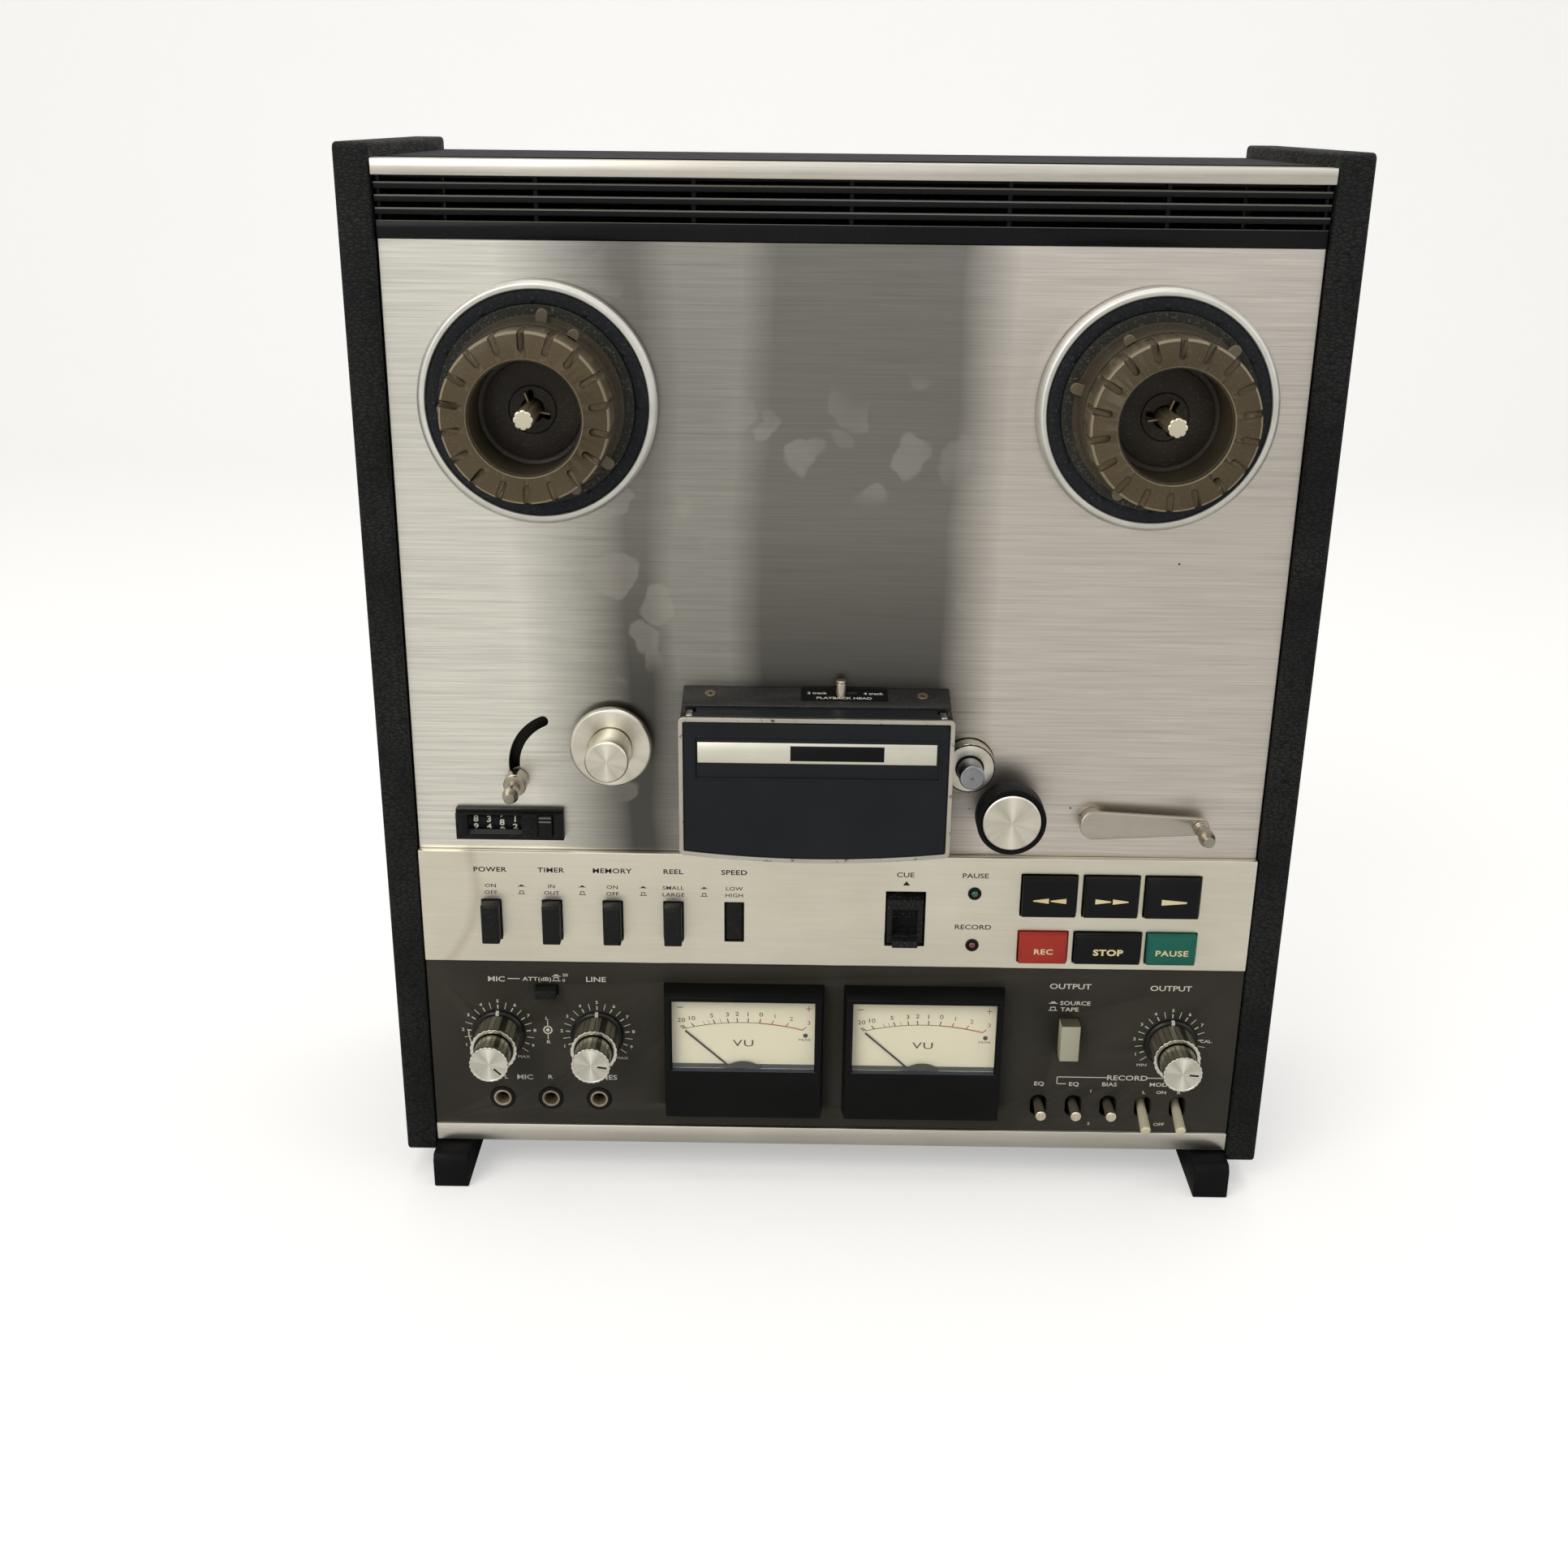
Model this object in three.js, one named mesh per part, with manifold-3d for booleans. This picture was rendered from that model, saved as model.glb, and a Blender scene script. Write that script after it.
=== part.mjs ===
// A reel-to-reel tape deck: two side boards carry a case, a set of front plates, the tape path
// and the controls. Millimetres, +Z up, the front looks along -Y and +X is to the right.
// Inside the deck group y = 0 is the front plane of the side boards and z = 0 their lower edge.
// A "reach" is how far something stands in front of that plane, so its y is minus the reach.
import * as THREE from 'three';
import { mergeVertices } from 'three/addons/utils/BufferGeometryUtils.js';
import Module from 'manifold-3d';

// Clearances shared by all pieces
const fitGap = 0.3;
const sideGap = 0.8;
const runGap = 0.3;
const cutOver = 2;
const weldDistance = 0.0001;

// Case: side boards, rear cover, feet
const deckWidth = 445;
const boardThickness = 15.4;
const boardDepth = 172;
const boardHeight = 499;
const boardCornerRadius = 3;
const boardEdgeRound = 1.5;
const coverSheet = 1.2;
const coverTopDrop = 6;
const coverBottom = 5.2;
const coverFront = 20;
const coverInset = 7;
const coverFlange = 9;
const ventSlotWidth = 32;
const ventSlotHeight = 3;
const ventSlotPitch = 40;
const ventRowPitch = 8;
const ventTopDrop = 63;
const footWidth = 18;
const footDrop = 14;
const footReach = 12.5;
const footLength = 168;
const footChamferDepth = 2.4;
const footChamferHeight = 3.4;

// Back: socket field and mains inlet
const socketRadius = 4.2;
const socketLength = 5;
const socketPitchX = 18;
const socketPitchZ = 16;
const socketFieldInset = 87.1;
const socketFieldZ = 70;
const socketPlateMargin = 9;
const socketPlateThickness = 1.5;
const inletWidth = 28;
const inletHeight = 22;
const inletWall = 2;
const inletDepth = 14;
const inletInset = 67.1;

// Front plates and bars
const topBarDrop = 6.3;
const topBarHeight = 7;
const topBarDepth = 12;
const grilleRecess = 3;
const grilleDepth = 9;
const grilleBandHeight = 7.3;
const slatHeight = 2.5;
const slatPitch = 5;
const ribWidth = 2;
const ribSetback = 3;
const grilleOpening = 26.2;
const deckPlateRecess = 4;
const deckPlateThickness = 2;
const plateTuck = 3;
const controlTop = 171.5;
const controlHeight = 60;
const controlThickness = 3.6;
const lowerPanelRecess = 1.5;
const lowerPanelThickness = 2;
const bottomBarBottom = 6.9;
const bottomBarHeight = 9.8;
const bottomBarDepth = 6;

// Chassis behind the deck plate
const chassisSetback = 14;
const chassisSheet = 1.6;
const chassisBottom = 174;
const chassisFlange = 40;
const chassisBoardGap = 0.4;
const postRadius = 4;
const postInset = 14;
const reelMotorRadius = 46;
const reelMotorLength = 60;
const capstanMotorRadius = 30;
const capstanMotorLength = 56;
const capstanMotorX = -30;
const capstanMotorZ = 215;

// Reel tables, spindles and hub adapters
const reelInset = 68.8;
const reelDrop = 69.8;
const tableRadius = 53.7;
const tableReach = 5;
const tableBackReach = -2.5;
const tableRimWidth = 4.2;
const tableRimBevel = 1.4;
const padWidth = 5.8;
const padDrop = 0.8;
const tableStepReach = 7.5;
const motorShaftRadius = 4;
const motorShaftLength = 66;
const shaftHoleRadius = 14;
const spindleRadius = 4.2;
const spindleFluteDepth = 0.5;
const spindleReach = 46.5;
const adapterFlangeRadius = 39.5;
const adapterFlangeThickness = 3.5;
const adapterBarrelRadius = 37.4;
const adapterFloorReach = 17.5;
const adapterBoreRadius = 5.2;
const bowlRadius = 24;
const bowlWall = 2.2;
const ringBackReach = 25;
const ringReach = 44;
const ringRadius = 36.6;
const ringFaceRadius = 35.6;
const ringBevel = 1.6;
const ringLip = 1.6;
const ringHoleRadius = 24.8;
const notchWidth = 3.2;
const notchDepth = 0.9;
const notchLength = 8.5;
const tabWidth = 5;
const tabProud = 3.4;
const tabThickness = 2.6;

// Left tension arm
const leftArmInset = 73.5;
const leftArmZ = 216.1;
const leftArmRadius = 23.7;
const leftArmRestAngle = 198.7;
const leftArmSweep = 86;
const leftArmPlate = 2;
const armSlotWidth = 5.2;
const armHubRadius = 6;
const armStudRadius = 3;
const armWidth = 9;
const armSetback = 8;
const leftPostRadius = 2.2;
const leftCollarRadius = 5.6;
const leftCollarLength = 10.5;
const guideWaistRadius = 2.9;
const guideWaistLength = 7.4;
const guideNoseRadius = 3.9;
const guideTipRadius = 2.4;
const guideTipReach = 24;

// Impedance roller
const rollerInset = 97.6;
const rollerZ = 228;
const rollerFlangeRadius = 19.7;
const rollerFlangeReach = 5;
const rollerFlangeThickness = 4;
const rollerBossRadius = 10;
const rollerHubRadius = 10.3;
const rollerHubReach = 25;
const rollerShaftRadius = 3;
const rollerGrooveWidth = 0.7;
const rollerGrooveDepth = 1.4;
const rollerBevel = 0.8;

// Head cover: fixed housing, door and head block
const headLeft = -74.8;
const headRight = 51.6;
const headTop = 257;
const headRoofFrontReach = 11.5;
const headRoofFrontDrop = 4.4;
const headRoofSheet = 2;
const cheekWidth = 2.2;
const cheekDepthBelow = 20;
const hingeReach = 16;
const hingeDrop = 7.4;
const hingePinRadius = 1.1;
const hingeLugRadius = 2.1;
const hingePinLength = 5;
const doorOverlap = 1;
const doorReach = 25;
const doorThickness = 2.5;
const doorTopRise = 1.2;
const doorCornerBottom = 181.8;
const doorBow = 3.4;
const doorCornerRadius = 2.4;
const doorLipBackReach = 12.5;
const doorLipRise = 2.3;
const doorLipSheet = 1.6;
const doorLipNotch = 4.6;
const doorFlangeDepth = 7;
const doorFlangeDrop = 6.6;
const doorKnuckleWidth = 5;
const headBaseThickness = 2.5;
const headBaseMargin = 7;
const headBaseDrop = 19;
const headBaseFoot = 26.6;
const tapeDrop = 40.4;
const headHeight = 16;
const headWidth = 14;
const headNoseRadius = 9;
const headReach = 19.5;
const headPitch = 20;
const headGuideRadius = 3;
const headGuideInset = 12;
const shieldHeight = 3;
const leverRadius = 2.5;
const leverX = -0.1;
const leverReach = 2.6;
const leverProud = 5.8;
const leverSlotLength = 12.6;
const leverSlotLeft = -3.9;

// Capstan, pinch roller and its arm
const capstanX = 62.2;
const capstanZ = 220.2;
const capstanRadius = 6;
const capstanReach = 18.5;
const capstanTipHoleRadius = 0.9;
const capstanTipHoleDepth = 1.5;
const bearingRadius = 12.2;
const bearingReach = 5.5;
const flywheelRadius = 38;
const flywheelThickness = 16;
const flywheelSetback = 3;
const pinchX = 82.2;
const pinchZ = 197.7;
const pinchRadius = 16.6;
const pinchBackReach = 6;
const pinchReach = 18.4;
const pinchCapRadius = 13.9;
const pinchCapProud = 0.8;
const pinchRound = 1.6;
const pinchAxleRadius = 2.9;
const pinchArmLength = 45;
const pinchArmThickness = 3;
const pinchArmWidth = 11;
const pinchCloseGap = 0.35;

// Right tension arm
const rightArmInset = 82.9;
const rightArmZ = 191;
const rightArmLength = 51.3;
const rightArmReach = 4.3;
const rightArmThickness = 2.6;
const rightArmRootRadius = 7.1;
const rightArmEndRadius = 4.3;
const rightArmBossRadius = 6.6;
const rightArmShaftRadius = 3.5;
const rightCollarRadius = 3.9;
const rightCollarLength = 4;

// Tape counter
const counterInset = 46.8;
const counterZ = 185.9;
const counterWidth = 52.6;
const counterHeight = 15.3;
const counterReach = 1;
const counterDepth = 24;
const counterBevel = 1.6;
const counterWindowShift = -7.3;
const counterWindowWidth = 26.4;
const counterWindowHeight = 10.4;
const counterDrumRadius = 6.4;
const counterDrumSetback = 8.5;
const resetShift = 17.6;
const resetWidth = 6.6;
const resetHeight = 10.8;
const resetReach = 2.4;
const resetDepth = 12;

// Push switches
const switchInset = 96.1;
const switchZ = 134.9;
const switchPitch = 30.2;
const switchOpeningWidth = 9.7;
const switchOpeningHeight = 21.7;
const switchGap = 0.5;
const switchReach = 8.2;
const switchTravel = 9.2;
const switchDepth = 30;
const switchBevel = 1.8;

// Cue lever and lamps
const cueX = 34.5;
const cueZ = 137.9;
const cueOpeningWidth = 19.8;
const cueOpeningHeight = 29.8;
const cuePivotSetback = 16;
const cuePinRadius = 1.6;
const cueFaceSetback = 1.6;
const cueLedgeSetback = 9;
const cueLedgeHeight = 4.6;
const cueBrowHeight = 5.4;
const cuePocketWidth = 12.6;
const cuePocketHeight = 14;
const cuePocketSetback = 8;
const cueLipReach = 4;
const cueLipHeight = 3.6;
const cueLugWidth = 3;
const cueGap = 0.8;
const lampX = 68.4;
const lampHigh = 152.3;
const lampLow = 124.1;
const lampHoleRadius = 2.9;

// Transport keys
const keyTopRowZ = 151.9;
const keyLowRowZ = 123.8;
const keyTopHeight = 21.4;
const keyLowHeight = 16.2;
const keyReach = 4;
const keyDepth = 16;
const keyGap = 0.6;
const keyBevel = 1.1;
const rewindInset = 102;
const forwardInset = 71.4;
const playInset = 41.1;
const keyWide = 26.6;
const recordInset = 103.5;
const recordWidth = 23.8;
const stopInset = 71.3;
const stopWidth = 32.8;
const pauseInset = 39.5;
const pauseWidth = 24.2;

// Twin knobs
const knobZ = 69.6;
const micKnobInset = 35.8;
const lineKnobInset = 86.4;
const outputKnobInset = 34.5;
const knobSkirtRadius = 13.3;
const knobSkirtThickness = 2.4;
const knobSkirtBevel = 0.9;
const knobBarrelRadius = 11.3;
const knobRingRadius = 11.8;
const knobRingWidth = 1.6;
const knobOuterReach = 17;
const knobCapRadius = 9.7;
const knobCapBarrelRadius = 9.2;
const knobCapReach = 31;
const knobTubeRadius = 4.4;
const knobShaftRadius = 3;
const knobTubeLength = 12;
const knobShaftLength = 20;

// Attenuator and output buttons
const attInset = 61.3;
const attZ = 95.1;
const attOpeningWidth = 11.6;
const attOpeningHeight = 5.8;
const attReach = 5.3;
const outputInset = 87.1;
const outputZ = 72.5;
const outputOpeningWidth = 10.6;
const outputOpeningHeight = 21;
const outputReach = 7;
const buttonDepth = 18;
const buttonGap = 0.5;

// Jacks
const jackZ = 31.8;
const jackInset = 61.1;
const jackPitch = 25.1;
const jackNutRadius = 6.2;
const jackSleeveRadius = 4.6;
const jackBoreRadius = 3.4;
const jackNutReach = 0.4;
const jackDepth = 26;
const jackBodyRadius = 8;
const jackBracketHeight = 18;
const jackBracketSheet = 2;

// Toggle levers
const toggleInset = 99.7;
const toggleZ = 31.6;
const togglePitch = 18.05;
const toggleSlotWidth = 8.6;
const toggleSlotHeight = 12.6;
const togglePivotSetback = 13;
const toggleRootRadius = 2.2;
const toggleTipRadius = 2.7;
const toggleBallRadius = 3.4;
const togglePinRadius = 1.3;
const togglePinOverhang = 2;
const shortToggleReach = 9.5;
const longToggleLength = 25.5;
const longToggleTilt = 16;
const cradleWall = 3;

// Level meters
const meterX = 45.7;
const meterZ = 63.7;
const meterWidth = 81.4;
const meterHeight = 73;
const meterReach = 10;
const meterTaperSide = 1.2;
const meterTaperTop = 2.9;
const meterTaperBottom = 1.4;
const meterDepth = 28;
const meterBodyInset = 3;
const meterWindowWidth = 73.6;
const meterWindowTop = 96;
const meterWindowBottom = 55.4;
const meterDialReach = 4;
const needlePivotZ = 49.4;
const needleLength = 40;
const needleRestAngle = 47.7;
const needleWidth = 0.8;
const needleThickness = 0.5;
const needleHubRadius = 2.6;
const needleHubLength = 2.4;
const needleLift = 0.6;
const meterPocketTop = 56.5;
const meterPocketBottom = 44;
const meterPocketWidth = 16;

// Counts of sides and copies, which carry no length
const largeSides = 30;
const mediumSides = 20;
const smallSides = 12;
const tinySides = 8;
const holeSides = 16;
const spindleFlutes = 8;
const notchCount = 18;
const tabCount = 3;
const leftLowerTabAngle = 83;
const leftUpperTabAngle = 59;
const rightLowerTabAngle = 44;
const rightUpperTabAngle = 0;
const ribCount = 7;
const slatCount = 3;
const ventColumns = 8;
const ventRows = 3;
const switchCount = 5;
const jackCount = 3;
const toggleCount = 5;
const headCount = 4;

// Places that follow from the sizes above
const innerHalf = deckWidth / 2 - boardThickness;
const plateHalf = innerHalf - sideGap;
const coverHalf = innerHalf - fitGap;
const backPlane = boardDepth - coverInset;
const coverTop = boardHeight - coverTopDrop;
const topBarTop = boardHeight - topBarDrop;
const deckPlateTop = topBarTop - topBarHeight - grilleOpening;
const reelHeight = deckPlateTop - reelDrop;
const deckPlateBack = deckPlateRecess + deckPlateThickness;
const deckFaceReach = -deckPlateRecess;
const deckPlateBottom = controlTop - plateTuck;
const controlBottom = controlTop - controlHeight;
const grilleTop = topBarTop - topBarHeight - fitGap;
const bandTop = deckPlateTop + fitGap + grilleBandHeight;
const lowerPanelTop = controlBottom - fitGap;
const lowerPanelBottom = bottomBarBottom + bottomBarHeight + fitGap;
const lowerPanelBack = lowerPanelRecess + lowerPanelThickness;
const ventRowHeight = coverTop - ventTopDrop;
const hingeHeight = headTop - hingeDrop;
const doorTop = hingeHeight + doorTopRise;
const doorLipTop = hingeHeight + doorLipRise;
const doorFlangeTop = hingeHeight - doorFlangeDrop;
const headBaseTop = headTop - headBaseDrop;
const tapeLineZ = headTop - tapeDrop;
const headBaseBottom = tapeLineZ - headBaseFoot;
const leverTop = headTop + leverProud;
const doorLeft = headLeft - doorOverlap;
const doorRight = headRight + doorOverlap;
const radians = THREE.MathUtils.degToRad;

// Groups that keep to the left or the right edge of the front
const reelX = innerHalf - reelInset;
const socketFieldX = innerHalf - socketFieldInset;
const inletX = inletInset - innerHalf;
const leftArmX = leftArmInset - innerHalf;
const rollerX = rollerInset - innerHalf;
const rightArmX = innerHalf - rightArmInset;
const counterX = counterInset - innerHalf;
const counterWindowX = counterX + counterWindowShift;
const resetX = counterX + resetShift;
const switchX = switchInset - innerHalf;
const switchFirstX = switchX - switchPitch * (switchCount - 1) / 2;
const rewindX = innerHalf - rewindInset;
const forwardX = innerHalf - forwardInset;
const playX = innerHalf - playInset;
const recordX = innerHalf - recordInset;
const stopX = innerHalf - stopInset;
const pauseX = innerHalf - pauseInset;
const micKnobX = micKnobInset - innerHalf;
const lineKnobX = lineKnobInset - innerHalf;
const outputKnobX = innerHalf - outputKnobInset;
const attX = attInset - innerHalf;
const outputX = innerHalf - outputInset;
const jackX = jackInset - innerHalf;
const toggleX = innerHalf - toggleInset;

const wasm = await Module();
wasm.setup();

// Closed three.js geometry to a solid, with its faces turned outwards
function solid(geometry) {
  const plain = geometry.clone();
  plain.deleteAttribute('normal');
  plain.deleteAttribute('uv');
  const merged = mergeVertices(plain, weldDistance);
  const vertProperties = merged.attributes.position.array;
  const triVerts = new Uint32Array(merged.index.array);
  const made = new wasm.Manifold(new wasm.Mesh({ numProp: 3, vertProperties, triVerts }));
  if (made.volume() > 0) return made;
  for (let i = 0; i < triVerts.length; i += 3) {
    [triVerts[i + 1], triVerts[i + 2]] = [triVerts[i + 2], triVerts[i + 1]];
  }
  return new wasm.Manifold(new wasm.Mesh({ numProp: 3, vertProperties, triVerts }));
}

function join(...solids) {
  return solids.reduce((whole, next) => whole.add(next));
}

function cut(body, ...tools) {
  return tools.reduce((rest, tool) => rest.subtract(tool), body);
}

// A block given by its limits on each axis
function block(x0, x1, y0, y1, z0, z1) {
  const geometry = new THREE.BoxGeometry(x1 - x0, y1 - y0, z1 - z0);
  geometry.translate((x0 + x1) / 2, (y0 + y1) / 2, (z0 + z1) / 2);
  return solid(geometry);
}

// A block round the y axis, given by its width, its height and the reaches of its ends
function stub(width, height, backReach, frontReach, x = 0, z = 0) {
  return block(x - width / 2, x + width / 2, -frontReach, -backReach, z - height / 2, z + height / 2);
}

// A turned piece round the y axis: pairs of radius and reach, from back to front
function turned(profile, sides, x = 0, z = 0) {
  const points = profile.map(([radius, reach]) => new THREE.Vector2(radius, reach));
  const geometry = new THREE.LatheGeometry(points, sides);
  geometry.rotateX(Math.PI);
  geometry.translate(x, 0, z);
  return solid(geometry);
}

function disc(radius, backReach, frontReach, sides, x = 0, z = 0) {
  return turned([[0, backReach], [radius, backReach], [radius, frontReach], [0, frontReach]], sides, x, z);
}

// A round bar along x
function crossBar(radius, x0, x1, y, z, sides) {
  const geometry = new THREE.CylinderGeometry(radius, radius, x1 - x0, sides);
  geometry.rotateZ(Math.PI / 2);
  geometry.translate((x0 + x1) / 2, y, z);
  return solid(geometry);
}

// A flat slab: a closed outline in x and z, from its back plane towards the front
function slab(points, backReach, frontReach) {
  const depth = frontReach - backReach;
  const geometry = new THREE.ExtrudeGeometry(new THREE.Shape(points), { depth, bevelEnabled: false });
  geometry.rotateX(Math.PI / 2);
  geometry.translate(0, -backReach, 0);
  return solid(geometry);
}

// A flat piece cut from sheet, with its holes cut right through
function sheet(shape, backReach, frontReach, curveSegments = 6) {
  const holes = shape.holes.map((hole) => (
    slab(hole.getPoints(curveSegments), backReach - cutOver, frontReach + cutOver)
  ));
  return cut(slab(shape.getPoints(curveSegments), backReach, frontReach), ...holes);
}

// A bar of one section: an outline in y and z, carried along x
function section(shape, x0, x1, options = { bevelEnabled: false }) {
  const geometry = new THREE.ExtrudeGeometry(shape, { depth: x1 - x0, curveSegments: 3, ...options });
  const along = new THREE.Matrix4().makeBasis(
    new THREE.Vector3(0, 1, 0),
    new THREE.Vector3(0, 0, 1),
    new THREE.Vector3(1, 0, 0),
  );
  geometry.applyMatrix4(along);
  geometry.translate(x0, 0, 0);
  return solid(geometry);
}

function outline(points) {
  return new THREE.Shape(points.map(([a, b]) => new THREE.Vector2(a, b)));
}

function rectangle(left, right, bottom, top, radius = 0, path = new THREE.Shape()) {
  if (radius === 0) {
    path.moveTo(left, bottom).lineTo(right, bottom).lineTo(right, top).lineTo(left, top).closePath();
    return path;
  }
  path.moveTo(left + radius, bottom).lineTo(right - radius, bottom);
  path.absarc(right - radius, bottom + radius, radius, -Math.PI / 2, 0);
  path.absarc(right - radius, top - radius, radius, 0, Math.PI / 2);
  path.absarc(left + radius, top - radius, radius, Math.PI / 2, Math.PI);
  path.absarc(left + radius, bottom + radius, radius, Math.PI, Math.PI * 3 / 2);
  return path;
}

function holeRectangle(x, z, width, height, radius = 0) {
  return rectangle(x - width / 2, x + width / 2, z - height / 2, z + height / 2, radius, new THREE.Path());
}

// A round hole as a polygon whose flats lie at the radius
function holeCircle(x, z, radius) {
  const points = [];
  const corner = radius / Math.cos(Math.PI / holeSides);
  for (let i = 0; i < holeSides; i += 1) {
    const angle = i * Math.PI * 2 / holeSides;
    points.push(new THREE.Vector2(x + corner * Math.cos(angle), z + corner * Math.sin(angle)));
  }
  return new THREE.Path(points);
}

// The outline round a straight stretch with half-round ends of two radii
function capsule(x0, z0, radius0, x1, z1, radius1, path = new THREE.Shape()) {
  const direction = Math.atan2(z1 - z0, x1 - x0);
  const lean = Math.asin((radius0 - radius1) / Math.hypot(x1 - x0, z1 - z0));
  const open = Math.PI / 2 - lean;
  path.absarc(x1, z1, radius1, direction - open, direction + open);
  path.absarc(x0, z0, radius0, direction + open, direction - open + Math.PI * 2);
  path.closePath();
  return path;
}

// The outline of a slot that follows an arc, with half-round ends
function arcSlot(x, z, radius, width, fromAngle, toAngle) {
  const path = new THREE.Path();
  const half = width / 2;
  const ends = [fromAngle, toAngle].map((angle) => [
    x + radius * Math.cos(angle),
    z + radius * Math.sin(angle),
  ]);
  path.absarc(x, z, radius + half, fromAngle, toAngle, false);
  path.absarc(...ends[1], half, toAngle, toAngle + Math.PI, false);
  path.absarc(x, z, radius - half, toAngle, fromAngle, true);
  path.absarc(...ends[0], half, fromAngle + Math.PI, fromAngle + Math.PI * 2, false);
  return path;
}

// Finishes
function finish(color, roughness, metalness) {
  return new THREE.MeshStandardMaterial({ color, roughness, metalness });
}
const blackVinyl = finish(0x262628, 0.62, 0);
const darkSteel = finish(0x2b2b2d, 0.5, 0.6);
const greySteel = finish(0x8b8b88, 0.45, 0.8);
const satinAluminium = finish(0xcfcbbf, 0.32, 0.9);
const brushedAluminium = finish(0xa9a6a2, 0.3, 0.95);
const brightMetal = finish(0xc9c7c0, 0.18, 1);
const glossBlack = finish(0x0f0f12, 0.25, 0);
const mattBlack = finish(0x1c1c1e, 0.55, 0);
const panelBrown = finish(0x3a3632, 0.5, 0.2);
const hubBrown = finish(0x5a4e3a, 0.45, 0);
const blackRubber = finish(0x1e2126, 0.85, 0);
const keyRed = finish(0xaf3c32, 0.4, 0);
const keyGreen = finish(0x2d6e5f, 0.4, 0);
const buttonGrey = finish(0x96988c, 0.4, 0);

const deck = new THREE.Group();

function place(name, body, material, x = 0, y = 0, z = 0, parent = deck) {
  const { vertProperties, triVerts } = body.getMesh();
  const geometry = new THREE.BufferGeometry();
  geometry.setAttribute('position', new THREE.BufferAttribute(new Float32Array(vertProperties), 3));
  geometry.setIndex(new THREE.BufferAttribute(new Uint32Array(triVerts), 1));
  geometry.computeVertexNormals();
  const mesh = new THREE.Mesh(geometry, material);
  mesh.name = name;
  mesh.position.set(x, y, z);
  parent.add(mesh);
  return mesh;
}

// Side boards: a rounded outline seen from the side, with rounded faces
function sideBoard(outerX, innerX) {
  const shape = rectangle(0, boardDepth, 0, boardHeight, boardCornerRadius);
  const left = Math.min(outerX, innerX);
  return section(shape, left + boardEdgeRound, left + boardThickness - boardEdgeRound, {
    bevelEnabled: true,
    bevelThickness: boardEdgeRound,
    bevelSize: boardEdgeRound,
    bevelOffset: -boardEdgeRound,
    bevelSegments: 2,
    curveSegments: 2,
  });
}
place('left_side_board', sideBoard(-deckWidth / 2, -innerHalf), blackVinyl);
place('right_side_board', sideBoard(innerHalf, deckWidth / 2), blackVinyl);

// Feet: long runners with a chamfered front edge
function foot() {
  const top = coverBottom - fitGap;
  const shape = outline([
    [-footReach, -footDrop],
    [footLength - footReach, -footDrop],
    [footLength - footReach, top],
    [-footReach + footChamferDepth, top],
    [-footReach, top - footChamferHeight],
  ]);
  return section(shape, -footWidth / 2, footWidth / 2);
}
const footX = coverHalf - footWidth / 2;
place('left_foot', foot(), mattBlack, -footX);
place('right_foot', foot(), mattBlack, footX);

// Rear cover: top, back and base bent from one sheet, with vent slots, sockets and the mains inlet
function rearCover() {
  const shape = outline([
    [coverFront, coverTop],
    [coverFront, coverTop - coverFlange],
    [coverFront + coverSheet, coverTop - coverFlange],
    [coverFront + coverSheet, coverTop - coverSheet],
    [backPlane - coverSheet, coverTop - coverSheet],
    [backPlane - coverSheet, coverBottom + coverSheet],
    [bottomBarDepth + fitGap, coverBottom + coverSheet],
    [bottomBarDepth + fitGap, coverBottom],
    [backPlane, coverBottom],
    [backPlane, coverTop],
  ]);
  let body = section(shape, -coverHalf, coverHalf);
  const plateBack = backPlane + socketPlateThickness;
  const fieldWidth = socketPitchX + 2 * socketPlateMargin;
  const fieldHeight = socketPitchZ + 2 * socketPlateMargin;
  body = body.add(stub(fieldWidth, fieldHeight, -plateBack, -backPlane, socketFieldX, socketFieldZ));
  for (const sideX of [-1, 1]) {
    for (const sideZ of [-1, 1]) {
      const x = socketFieldX + sideX * socketPitchX / 2;
      const z = socketFieldZ + sideZ * socketPitchZ / 2;
      body = body.add(disc(socketRadius, -plateBack - socketLength, -backPlane, smallSides, x, z));
    }
  }
  const inletFront = backPlane - inletDepth;
  body = body.add(stub(inletWidth, inletHeight, -plateBack, -inletFront, inletX, socketFieldZ));
  const wallTwice = 2 * inletWall;
  const pocket = stub(
    inletWidth - wallTwice,
    inletHeight - wallTwice,
    -plateBack - cutOver,
    -inletFront - inletWall,
    inletX,
    socketFieldZ,
  );
  body = body.subtract(pocket);
  for (let row = 0; row < ventRows; row += 1) {
    for (let column = 0; column < ventColumns; column += 1) {
      const x = (column - (ventColumns - 1) / 2) * ventSlotPitch;
      const z = ventRowHeight - row * ventRowPitch;
      const slot = stub(
        ventSlotWidth,
        ventSlotHeight,
        -backPlane - cutOver,
        -backPlane + coverSheet + cutOver,
        x,
        z,
      );
      body = body.subtract(slot);
    }
  }
  return body;
}
place('rear_cover', rearCover(), darkSteel);

// Chassis: a steel plate with side flanges, posts for the deck plate, motor cans and bearing seats
const chassisReach = -chassisSetback;
const chassisBackReach = chassisReach - chassisSheet;
const chassisHalf = innerHalf - chassisBoardGap;
const chassisTop = deckPlateTop - fitGap;
const armReach = -armSetback;
const pinchLine = Math.atan2(capstanZ - pinchZ, capstanX - pinchX);
const pinchPivotX = pinchX + pinchArmLength * Math.sin(pinchLine);
const pinchPivotZ = pinchZ - pinchArmLength * Math.cos(pinchLine);
const postSpots = [-1, 1].flatMap((side) => [
  [side * (plateHalf - postInset), deckPlateTop - postInset],
  [side * (plateHalf - postInset), chassisBottom + postInset],
]);
postSpots.push([0, deckPlateTop - postInset], [0, (deckPlateTop + headTop) / 2]);
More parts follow.
